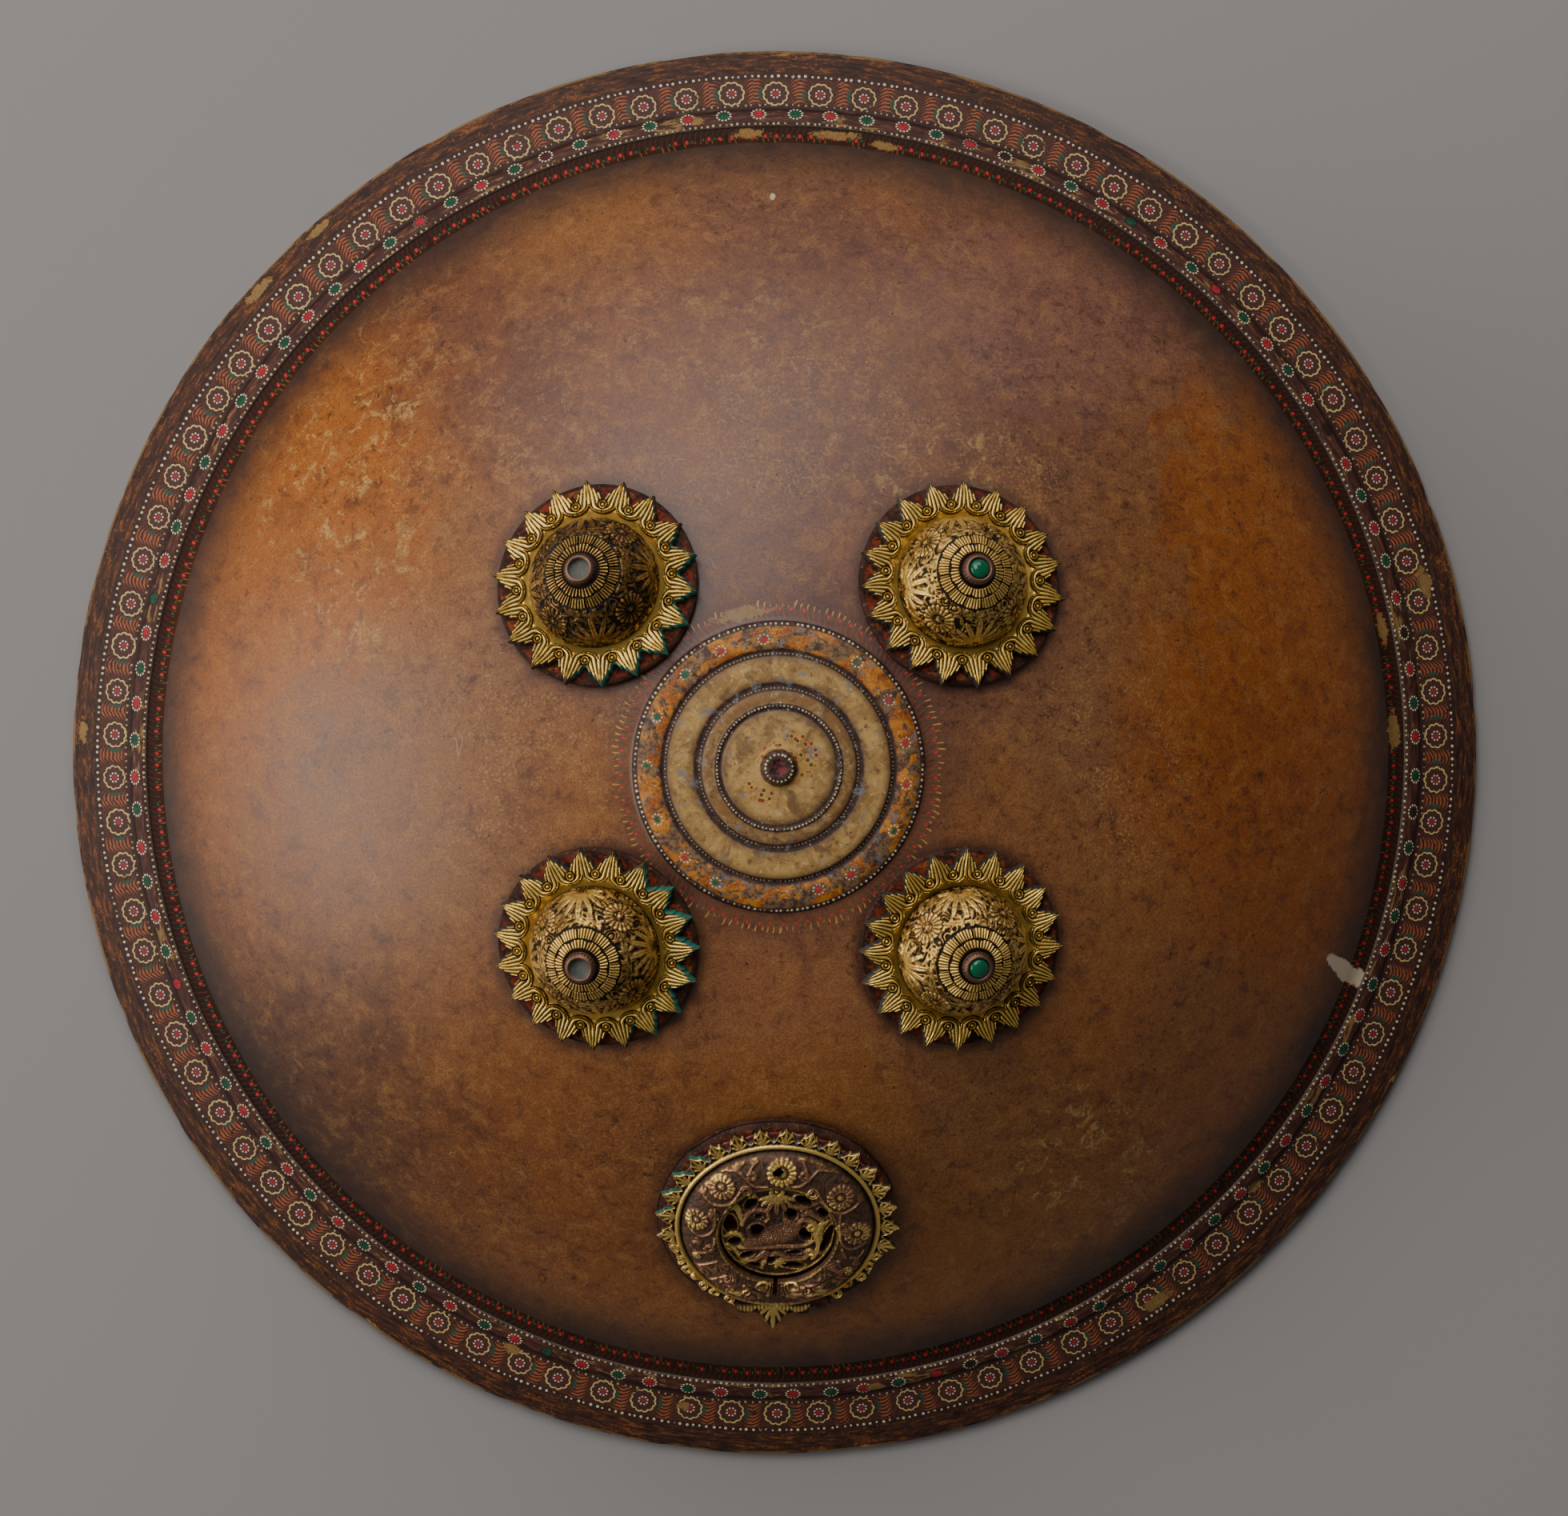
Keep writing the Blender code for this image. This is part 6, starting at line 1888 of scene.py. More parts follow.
def cut_holes(piece, drills):
    """Cuts prisms, each given by points of its outline and its turn, out of a piece."""
    for outline in drills:
        bm = bmesh.new()
        low = [bm.verts.new((px * MM, py * MM, -12 * MM)) for px, py in outline]
        high = [bm.verts.new((px * MM, py * MM, 40 * MM)) for px, py in outline]
        bm.faces.new(low)
        bm.faces.new(high)
        for k in range(len(outline)):
            n = (k + 1) % len(outline)
            bm.faces.new((low[k], low[n], high[n], high[k]))
        bmesh.ops.recalc_face_normals(bm, faces=bm.faces)
        mesh = bpy.data.meshes.new("drill")
        bm.to_mesh(mesh)
        bm.free()
        drill = bpy.data.objects.new("drill", mesh)
        bpy.context.scene.collection.objects.link(drill)
        deselect()
        piece.select_set(True)
        bpy.context.view_layer.objects.active = piece
        modifier = piece.modifiers.new("Cut", "BOOLEAN")
        modifier.operation = "DIFFERENCE"
        modifier.solver = "EXACT"
        modifier.object = drill
        bpy.ops.object.modifier_apply(modifier=modifier.name)
        bpy.data.objects.remove(drill)


# Flowers of the crest's ring plate: turn, distance, radius and petals.
CREST_FLOWERS = (
    (87, 28.0, 5.9, 16), (133, 29.3, 5.3, 15), (167, 29.7, 4.6, 13), (37, 28.0, 5.3, 15), (1, 28.5, 5.3, 14)
)


def plate_relief(x, y, points):
    """Height in millimetres of the ring plate's embossing, and how much gilding is left."""
    radius = np.hypot(x, y)
    flowers = np.zeros(len(x))
    gold = 0.02 + 0.3 * cloud(points, 5, 31)
    for turn_k, where, size, petals in CREST_FLOWERS:
        px, py = where * math.cos(math.radians(turn_k)), where * math.sin(math.radians(turn_k))
        core = 0.36 if turn_k == 87 else 0.3
        flowers = np.maximum(flowers, daisy(x - px, y - py, size, petals, core))
        distance = np.hypot(x - px, y - py)
        gold = gold + (0.6 if turn_k == 87 else 0.15) * smooth(-distance, -size, -size * 0.5)
    vines = [
        [(-3.5, 22.4, 0.5), (-8, 22.6, 0.55), (-10.6, 25.2, 0.6), (-9.6, 29.0, 0.55), (-8.2, 31.2, 0.4)],
        [(3.5, 22.4, 0.5), (8, 22.8, 0.55), (10.6, 25.4, 0.6), (10.0, 29.2, 0.55), (9.0, 31.4, 0.4)],
        [(-10.4, 24.4, 0.6), (-14.2, 28.0, 0.6), (-18.0, 27.6, 0.45)],
        [(10.6, 24.6, 0.6), (14.6, 28.2, 0.6), (19.0, 27.0, 0.45)],
        [(-13.4, 20.2, 0.6), (-17.0, 14.8, 0.6), (-22.6, 14.2, 0.6), (-26.4, 17.0, 0.45)],
        [(14.0, 20.0, 0.6), (18.2, 12.6, 0.6), (23.4, 10.4, 0.6), (28.8, 13.2, 0.45)],
        [(-22.4, 12.0, 0.5), (-23.0, 3.0, 0.6), (-27.8, -0.4, 0.6), (-32.0, 3.0, 0.4)],
        [(22.4, 10.0, 0.5), (22.6, -2.0, 0.6), (26.6, -6.4, 0.6), (32.0, -4.2, 0.45)],
        [(-22.6, -1.0, 0.5), (-23.4, -6.0, 0.55), (-28.0, -8.4, 0.5), (-31.4, -6.0, 0.4)],
        [(23.2, -6.4, 0.5), (25.2, -11.2, 0.6), (29.2, -11.0, 0.5), (31.0, -8.0, 0.4)],
    ]
    total = np.zeros(len(x))
    for path in vines:
        total = np.maximum(total, 0.8 * ridge(x, y, curve(path)))
    for px, py, lean, size in (
        (-18, 27.6, 150, 4.6), (19, 27, 20, 5.4), (-8.6, 30.6, 80, 3.2), (9, 31, 95, 3.2), (-14, 28, 110, 4),
        (14.6, 28, 70, 4), (-26, 17.4, 120, 4.2), (29, 13.4, 50, 4.2), (-31.6, 3.4, 80, 4), (32, -3.6, 85, 4),
        (-27, -2.6, 200, 4), (22.8, 0.4, 70, 3.4), (-22.8, 9, 110, 3.4), (12, 30.6, 40, 5),
        (-12, 30.2, 140, 5), (24, 22, 60, 4), (-25, 20.5, 110, 3.6),
    ):
        total = np.maximum(total, 0.85 * leaflet(x - px, y - py, lean, size, 1.0))
        total = np.maximum(total, 0.7 * leaflet(x - px, y - py, lean + 38, size * 0.72, 0.8))
        total = np.maximum(total, 0.7 * leaflet(x - px, y - py, lean - 38, size * 0.72, 0.8))
    for px, py, size, way in (
        (-11.2, 20.6, 2.2, 1), (12.4, 19.4, 2.4, -1), (-22.8, 8.6, 2.0, 1), (23.4, 3.8, 2.6, -1),
        (-24.4, -5.6, 2.0, -1), (27.0, -12.6, 2.2, 1), (-9.2, 26.6, 1.8, 1), (9.2, 26.8, 1.8, -1),
    ):
        total = np.maximum(total, 0.8 * scroll(x - px, y - py, size, way, 0.42))
    total = np.maximum(total, flowers)

    # Banded necks, and two heads whose muzzles meet at the slot.
    for sign, shift in ((-1, 0.0), (1, 0.6)):
        u = x * sign
        neck_a = ridge(u, y, [(20.6 - shift, -14.6, 3.4), (29.6 - shift, -19.4, 3.0)], 0.3)
        hatch = 0.55 + 0.45 * np.abs(np.sin((u * 0.5 + y * -0.9) * 2.6))
        neck_b = ridge(u, y, [(16.6, -19.4, 2.2), (24.6, -25.4, 2.2)], 0.3)
        knots = 0.5 + 0.5 * np.abs(np.sin((u * 0.8 + y * -0.5) * 1.35))
        total = np.where(neck_a > 0.05, 0.85 * neck_a * hatch, total)
        total = np.where(neck_b > 0.05, 0.8 * neck_b * knots, total)
        for path in (
            [(21.8, -11.6, 0.5), (31.0, -16.0, 0.5)], [(18.4, -17.4, 0.5), (27.4, -23.0, 0.5)],
            [(14.2, -21.0, 0.5), (22.4, -28.4, 0.5)],
        ):
            total = np.maximum(total, 0.95 * ridge(u, y, path))
        head = ridge(u, y, curve([(16.5, -24.6, 4.6), (10.5, -26.6, 5.6), (4.6, -25.6, 3.6)]), 0.6)
        total = np.where(head > 0.02, np.maximum(total * 0.4, 0.75 * head), total)
        eye = np.hypot(u - 11.2, y + 24.6)
        total = np.where(eye < 1.9, 0.95 * bump(eye, 1.2, 0.35) + 0.85 * (eye < 0.55) + 0.35, total)
        for path in (
            [(15.4, -22.2, 0.5), (12, -21.4, 0.55), (8.6, -22.6, 0.5)],
            [(16.0, -30.6, 0.5), (11.0, -30.0, 0.5), (5.6, -28.6, 0.5)],
            [(15.0, -27.6, 0.4), (11.0, -28.0, 0.4), (7.0, -27.0, 0.4)],
            [(17.2, -22.0, 0.5), (18.4, -25.6, 0.5), (17.2, -29.4, 0.5)],
            [(2.0, -23.0, 0.6), (4.4, -21.4, 0.7), (7.2, -21.8, 0.6), (7.4, -23.8, 0.5), (5.4, -24.0, 0.4)],
            [(2.4, -27.2, 0.5), (4.8, -28.4, 0.5), (7.2, -27.4, 0.4)],
        ):
            total = np.maximum(total, ridge(u, y, curve(path)))
        mane = 0.8 * np.abs(np.sin(u * 1.9 - y * 0.9)) * ridge(
            u, y, [(12.5, -31.6, 2.0), (20.6, -28.6, 1.6)], 0.4
        )
        total = np.maximum(total, mane)
        gold = gold + 0.6 * bump(np.hypot(u - 5, y + 22.4), 0, 2.4)
    bluish = np.hypot(x + 29.0, y + 10.0)
    total = np.where(bluish < 1.9, 1.1 * np.sqrt(np.clip(1 - (bluish / 1.9) ** 2, 0, 1)) + 0.1, total)
    worn = np.hypot(x - 25.0, y + 12.8)
    total = np.where(worn < 2.4, 0.15, total)
    edge = smooth(radius, 33.0, 34.4)
    gold = gold + 0.45 * edge + 0.3 * smooth(-radius, -23.6, -21.6)
    waves = np.abs(np.sin(cloud(points, 4.6, 36) * 17)) ** 0.8
    jaws = smooth(-y, 12, 16) * smooth(radius, 21.5, 22.5) * smooth(-radius, -33.8, -33.0)
    total = np.maximum(total, 0.2 * waves)
    total = total * (1 - 0.85 * jaws * (1 - waves)) + 0.1 * jaws * waves
    gold = gold - 0.25 * jaws + 0.5 * jaws * smooth(cloud(points, 3.2, 37), 0.6, 0.85)
    ground = 0.2 * cloud(points, 0.8, 33)
    inner_rim = 0.5 * bump(radius, 21.7, 0.45)
    return np.maximum(total, inner_rim) * smooth(-radius, -34.2, -33.4) + ground, gold


def swell(degrees):
    """Share of the heads' swelling on both sides of the finial."""
    side = np.abs((degrees - FINIAL + 180) % 360 - 180)
    return smooth(-np.abs(side - 30), -25, 0)


def make_crest_plate(scene, place, paint):
    """Embossed arch with flowers, vines and two heads, cut by a slot and a nail hole."""
    c, gap = scene.shield_crest, scene.shield_bosses.gap / MM
    _, foot, _ = crest_heights(scene)
    outer, inner, rise = c.bore / MM - gap, c.pierced_radius / MM + gap, c.arch_height / MM
    width = outer - inner
    shape = (
        (0, 0.0), (0.012, 0.2), (0.03, 0.40), (0.09, 0.53), (0.18, 0.67), (0.32, 0.82), (0.45, 0.90),
        (0.6, 0.965), (0.72, 1.0), (0.86, 1.01), (1.0, 1.0),
    )
    shares = np.concatenate([np.linspace(0, 0.05, 5), np.linspace(0.068, 1, 50)])
    heights = np.interp(shares, [p for p, _ in shape], [h for _, h in shape])
    outline = [(outer - width * u, foot + rise * h) for u, h in zip(shares, heights)]
    outline += [
        (inner, foot + rise * 0.92), (inner, foot + rise * 0.84), (outer - 0.5 * width, foot + rise * 0.74),
        (outer - 0.3 * width, foot + rise * 0.62), (outer - 1.2, foot),
    ]
    piece = turn("crest_plate", outline, CREST_PLATE_STEPS, closed=True)
    points = points_of(piece)
    radius = np.hypot(points[:, 0], points[:, 1])
    degrees = np.degrees(np.arctan2(points[:, 1], points[:, 0]))
    top = foot + rise * np.interp((outer - radius) / width, shares, heights)
    near = np.abs(points[:, 2] - top) < 0.02
    flat = points[:, :2]
    height, _ = plate_relief(flat[:, 0], flat[:, 1], flat)
    lift = 2.3 * swell(degrees) * np.sin(math.pi * np.clip((outer - radius) / width, 0, 1)) ** 0.7
    rising = smooth((outer - radius) / width, 0.02, 0.09)
    points[:, 2] += lift * (points[:, 2] > foot + 1)
    points[:, 2] += np.where(near, height * rising, 0)
    move_points(piece, points)
    middle = (outer + inner) / 2
    nail = [
        (
            2.1 * (1 + 0.16 * math.sin(3 * t + 0.6)) * math.cos(t),
            middle + 2.1 * (1 + 0.14 * math.sin(2 * t)) * math.sin(t),
        )
        for t in np.linspace(0, math.tau, 20, endpoint=False)
    ]
    c0, s0 = math.cos(math.radians(FINIAL)), math.sin(math.radians(FINIAL))
    slot = [
        (u * c0 - v * s0, u * s0 + v * c0)
        for u, v in (
            (19, -0.7), (24, -0.85), (27.2, -0.8), (27.9, -0.4), (27.9, 0.4), (27.2, 0.8), (24, 0.75),
            (19, 0.8),
        )
    ]
    cut_holes(piece, [nail, slot])
    points = points_of(piece)
    flat = points[:, :2]
    height, gold = plate_relief(flat[:, 0], flat[:, 1], flat)
    store(piece, "relief", np.clip(height, 0, 1))
    store(piece, "gilding", gold)
    return finish_piece(piece, paint, ("crest_plate",), place, sharp=60)


# Holes of the openwork: across, up, half width, half height and lean.
OPENWORK = (
    (-17.0, 3.4, 2.3, 4.0, 8), (
        -15.4, -4.6, 2.4, 2.0, 30
    ), (-9.6, 12.6, 1.9, 3.0, -35), (-6.8, 7.2, 1.4, 1.2, 0),
    (-7.2, 0.6, 2.8, 2.8, 0), (4.8, 8.2, 2.2, 2.5, 20), (9.2, 14.0, 3.2, 1.8, -30), (16.2, 8.4, 1.6, 2.3, 35),
    (9.8, -1.0, 2.0, 3.0, 20), (17.6, -3.6, 1.7, 6.0, -18), (
        -11.0, -10.6, 2.8, 1.4, 20
    ), (-2.4, -12.8, 1.7, 1.9, -30),
    (6.0, -9.4, 2.6, 1.0, 0), (5.6, -15.4, 4.0, 1.5, -8), (-8.2, -15.2, 2.6, 1.1, -18),
)


def hole_outline(across, up, half_width, half_height, lean):
    """Rounded, slightly irregular outline of one hole."""
    c, s = math.cos(math.radians(lean)), math.sin(math.radians(lean))
    points = []
    for k in range(22):
        t = math.tau * k / 22
        wobble = 1 + 0.10 * math.sin(2 * t + across) + 0.08 * math.sin(3 * t + up)
        u, v = half_width * wobble * math.cos(t), half_height * wobble * math.sin(t)
        points.append((across + u * c - v * s, up + u * s + v * c))
    return points


def pierced_relief(x, y, points):
    """Height from 0 to 1 of the openwork's figure and scrolls, and how much gilding is left."""
    radius = np.hypot(x, y)
    total = np.zeros(len(x))
    gold = 0.25 * cloud(points, 5, 41)
    body = ridge(
        x, y,
        curve([(-10.4, -5.4, 2.4), (-3, -2.2, 4.2), (2.6, -0.4, 4.8), (6.4, 2.0, 3.0), (3.6, 5.2, 1.8)]), 0.6,
    )
    stipple = 0.62 + 0.38 * np.abs(np.sin(x * 3.3 + np.sin(y * 1.3)) * np.sin(y * 3.3 + np.sin(x)))
    total = np.maximum(total, 0.95 * body * stipple)
    strokes = (
        [(-13.6, -7.2, 0.9), (-7, -7.4, 1.0), (1, -6.6, 1.0), (8.6, -6.6, 0.9), (12.6, -4.4, 0.7)],
        [(12.6, -12.6, 0.8), (15.2, -7.0, 1.6), (14.4, -1.0, 1.8), (16.4, 3.6, 1.4), (19.6, 5.4, 0.6)],
        [(6.6, 3.2, 1.0), (9.4, 5.4, 1.2), (12.8, 4.0, 1.2), (13.2, 1.0, 0.9), (11.2, 1.2, 0.6)],
        [
            (-12.8, 3.4, 0.9), (-11.4, 6.8, 1.1), (-8.8, 9.6, 0.9), (-4.4, 9.6, 0.9), (-3.2, 6.6, 0.8),
            (-4.2, 4.8, 0.6),
        ],
        [(-19.2, 9.0, 0.8), (-15.6, 11.4, 1.6), (-13.4, 8.0, 1.2), (-12.6, 3.0, 0.9)],
        [(-19.0, -2.4, 0.8), (-16.6, -0.8, 1.2), (-13.8, -1.2, 1.0), (-11.8, -3.6, 1.0)],
        [(-15.6, -8.0, 0.9), (-14.2, -10.4, 1.0), (-12.0, -13.2, 1.2), (-7.6, -12.6, 1.2), (-4.6, -9.8, 1.2)],
        [(-5.4, -16.8, 0.9), (-4.4, -13.4, 1.2), (-0.6, -10.0, 1.0), (4.0, -11.8, 1.0)],
        [(-0.4, -16.6, 0.9), (0.6, -13.4, 1.1), (4.8, -12.6, 1.2), (9.6, -12.4, 1.1), (10.6, -9.8, 0.8)],
        [(4.4, 12.0, 0.9), (7.6, 11.0, 1.2), (11.0, 11.6, 1.2), (14.0, 12.8, 0.9)],
        [(9.0, 7.4, 1.0), (11.6, 8.8, 1.3), (13.2, 7.0, 1.1), (16.0, 5.2, 0.9)],
    )
    for path in strokes:
        line = ridge(x, y, curve(path))
        total = np.maximum(total, 0.95 * line * (1 - 0.3 * bump(line, 0.86, 0.1)))
    for lean, size, width in (
        (-90, 8.4, 1.3), (-66, 8.0, 1.2), (-114, 8.0, 1.2), (-44, 7.4, 1.1), (-136, 7.4, 1.1),
        (-24, 6.4, 1.0), (-156, 6.4, 1.0),
    ):
        total = np.maximum(total, leaflet(x + 0.3, y - 17.2, lean, size, width, 0.6))
    total = np.maximum(total, daisy(x + 0.3, y - 18.0, 3.0, 11, 0.35))
    for px, py, size, way in (
        (-17.6, -7.4, 1.9, 1), (-4.4, -10.2, 2.0, -1), (11.4, -9.8, 1.8, 1), (12.2, 2.2, 1.9, -1),
        (-9.4, 16.2, 1.6, 1), (1.8, -14.8, 1.5, -1), (-13.0, -15.2, 1.5, 1), (9.8, 9.2, 1.7, 1),
    ):
        total = np.maximum(total, 0.9 * scroll(x - px, y - py, size, way, 0.4))
    for across, up, half_width, half_height, lean in OPENWORK:
        c, s = math.cos(math.radians(lean)), math.sin(math.radians(lean))
        u, v = (x - across) * c + (y - up) * s, -(x - across) * s + (y - up) * c
        far = np.hypot(u / half_width, v / half_height)
        total = np.maximum(total, 0.55 * bump(far, 1.22, 0.13))
    rim = smooth(radius, 19.4, 19.9)
    total = np.maximum(total * (1 - rim), 0.6 * rim)
    gold = gold + 0.55 * smooth(
        -x, 10, 16
    ) + 0.5 * smooth(y, 10, 17) + 0.45 * smooth(x, 8, 12) * smooth(-y, -7, -2)
    gold = gold + 0.35 * smooth(-y, 10, 15) + 0.4 * rim
    ground = 0.3 * cloud(points, 0.7, 43)
    return total + ground, gold


def make_crest_pierced(scene, place, paint):
    """Openwork disc with a beast among scrolls."""
    c = scene.shield_crest
    _, _, top = crest_heights(scene)
    radius, thick = c.pierced_radius / MM, 1.8
    outline = [(r, top + 0.9 * (1 - (r / radius) ** 2)) for r in np.linspace(0, radius - 0.15, 66)]
    outline += [
        (radius, top - 0.2), (radius, top - thick), (radius * 0.6, top - thick), (radius * 0.3, top - thick),
        (0, top - thick),
    ]
    piece = turn("crest_pierced", outline, OPENWORK_STEPS)
    points = points_of(piece)
    out = np.hypot(points[:, 0], points[:, 1])
    near = points[:, 2] > top - 0.1
    flat = points[:, :2]
    height, _ = pierced_relief(flat[:, 0], flat[:, 1], flat)
    points[:, 2] += np.where(near, height - 0.5, 0) * smooth(-out, -radius, -radius + 0.5)
    move_points(piece, points)
    cut_holes(piece, [hole_outline(*hole) for hole in OPENWORK])
    points = points_of(piece)
    flat = points[:, :2]
    height, gold = pierced_relief(flat[:, 0], flat[:, 1], flat)
    inside = points[:, 2] < top - 0.9
    store(piece, "relief", np.where(inside, 0.1, np.clip(height, 0, 1)))
    store(piece, "gilding", gold)
    return finish_piece(piece, paint, ("crest_pierced",), place, sharp=60)


def make_strap_end(scene, place, paint):
    """Short end of a thong in the collar's notch."""
    _, foot, _ = crest_heights(scene)
    deselect()
    bpy.ops.mesh.primitive_cube_add(size=1, location=(0, 0, 0))
    piece = bpy.context.object
    piece.name = "crest_tab"
    bpy.ops.object.mode_set(mode="EDIT")
    bpy.ops.mesh.select_all(action="SELECT")
    bpy.ops.transform.resize(value=(4.4 * MM, 5.6 * MM, 1.6 * MM), center_override=(0, 0, 0))
    bpy.ops.mesh.bevel(offset=0.35 * MM, segments=3)
    bpy.ops.mesh.subdivide(number_cuts=5)
    bpy.ops.object.mode_set(mode="OBJECT")
    points = points_of(piece)
    points[:, 2] += 0.25 * (points[:, 1] / 2.8) ** 2 - 0.25 - 0.1 * cloud(points, 1.2, 3)
    c, s = math.cos(math.radians(NOTCH)), math.sin(math.radians(NOTCH))
    middle = 40.0
    px, py = middle * c, middle * s
    turned = np.column_stack(
        [
            px + points[:, 0] * c - points[:, 1] * s, py + points[:, 0] * s + points[:, 1] * c,
            foot + 0.9 + points[:, 2],
        ]
    )
    move_points(piece, turned)
    return finish_piece(piece, paint, ("crest_tab",), place)


def make_crest_metal(name, scene):
    """Worn copper with gilding left where the attribute says so."""
    s, c = scene.shield_bosses, scene.shield_crest
    made, tree, shader = material(name, 0.42, 0.75)
    place = place_in_mm(tree)
    relief = add(tree, "Attribute", attribute_name="relief", output="Fac")
    gilding = add(tree, "Attribute", attribute_name="gilding", output="Fac")
    tips = add(tree, "Attribute", attribute_name="tips", output="Fac")
    stain, fine = add(tree, "TexNoise", place, Scale=1 / 5, Detail=4, Roughness=0.6), add(
        tree, "TexNoise", place, Scale=1 / 0.8, Detail=4, Roughness=0.65
    )
    level = add(
        tree, "Math", relief, add(tree, "Math", stain, 0.4, -0.2, operation="MULTIPLY_ADD"), operation="ADD"
    )
    level = add(
        tree, "Math", level, add(tree, "Math", fine, 0.5, -0.25, operation="MULTIPLY_ADD"), operation="ADD"
    )
    tone = coat(tree, "2A1C14", c.copper, (level, -0.02, 0.4))
    tone = coat(tree, tone, "B4805C", (level, 0.42, 0.95))
    worn = add(
        tree, "Math", gilding, add(tree, "Math", fine, 1.1, -0.55, operation="MULTIPLY_ADD"), operation="ADD"
    )
    worn = add(
        tree, "Math", worn, add(tree, "Math", relief, 0.36, -0.14, operation="MULTIPLY_ADD"), operation="ADD"
    )
    worn = add(
        tree, "Math", worn, add(tree, "Math", stain, 0.5, -0.25, operation="MULTIPLY_ADD"), operation="ADD"
    )
    kept = mask(tree, (worn, 0.40, 0.56), (level, 0.14, 0.46))
    bright = coat(tree, "6E4E22", "F6CE72", (level, 0.36, 0.8))
    tone = coat(tree, tone, bright, kept)
    tone = coat(tree, tone, "7C8084", (gilding, -0.3, -0.6))
    corroded = mask(
        tree,
        (
            add(
                tree, "Math", tips, add(tree, "Math", fine, 0.9, -0.45, operation="MULTIPLY_ADD"),
                operation="ADD",
            ),
            0.5, 0.62,
        ),
    )
    tone = coat(tree, tone, s.verdigris, corroded)
    roughness = mask(tree, (level, 0.2, 0.8, 0.62, 0.38))
    metal = mask(tree, (level, 0.1, 0.5, 0.3, 0.75), add(tree, "Math", 1.0, corroded, operation="SUBTRACT"))
    connect(tree, shader, tone, roughness, metal, fine, 0.12, 0.6)
    return made


def crest_place(scene):
    """Frame of the crest on the dome."""
    return seat(scene.shield_plate, scene.shield_crest.distance, 270)


def crest_metal(scene):
    """The one worn gilt copper that the crest's metal pieces share."""
    return bpy.data.materials.get("worn_gilt_copper") or make_crest_metal("worn_gilt_copper", scene)


def make_red_felt(scene):
    """Faded red cloth, matt and a little fuzzy, paler where it is worn."""
    felt, tree, shader = material("red_felt", 0.95, Sheen_Weight=0.3)
    soft = add(tree, "TexNoise", place_in_mm(tree), Scale=1 / 1.0, Detail=4, Roughness=0.7)
    tone = coat(tree, "5E1A20", scene.shield_crest.felt, (soft, 0.36, 0.62))
    tone = coat(
        tree, tone, "9A6A5E",
        (add(tree, "TexNoise", place_in_mm(tree), Scale=1 / 3.6, Detail=3, Roughness=0.55), 0.56, 0.66),
    )
    connect(tree, shader, tone, height=soft, depth=0.4)
    return felt


def grip_gap(scene):
    """Room between the dome's inside and a grip's flat end, in millimetres."""
    plate = scene.shield_plate
    inner = (plate.dome_radius - plate.wall) / MM
    reach = math.hypot(22.5, scene.shield_grips.width / MM / 2)
    return 0.3 + inner - math.sqrt(inner**2 - reach**2)


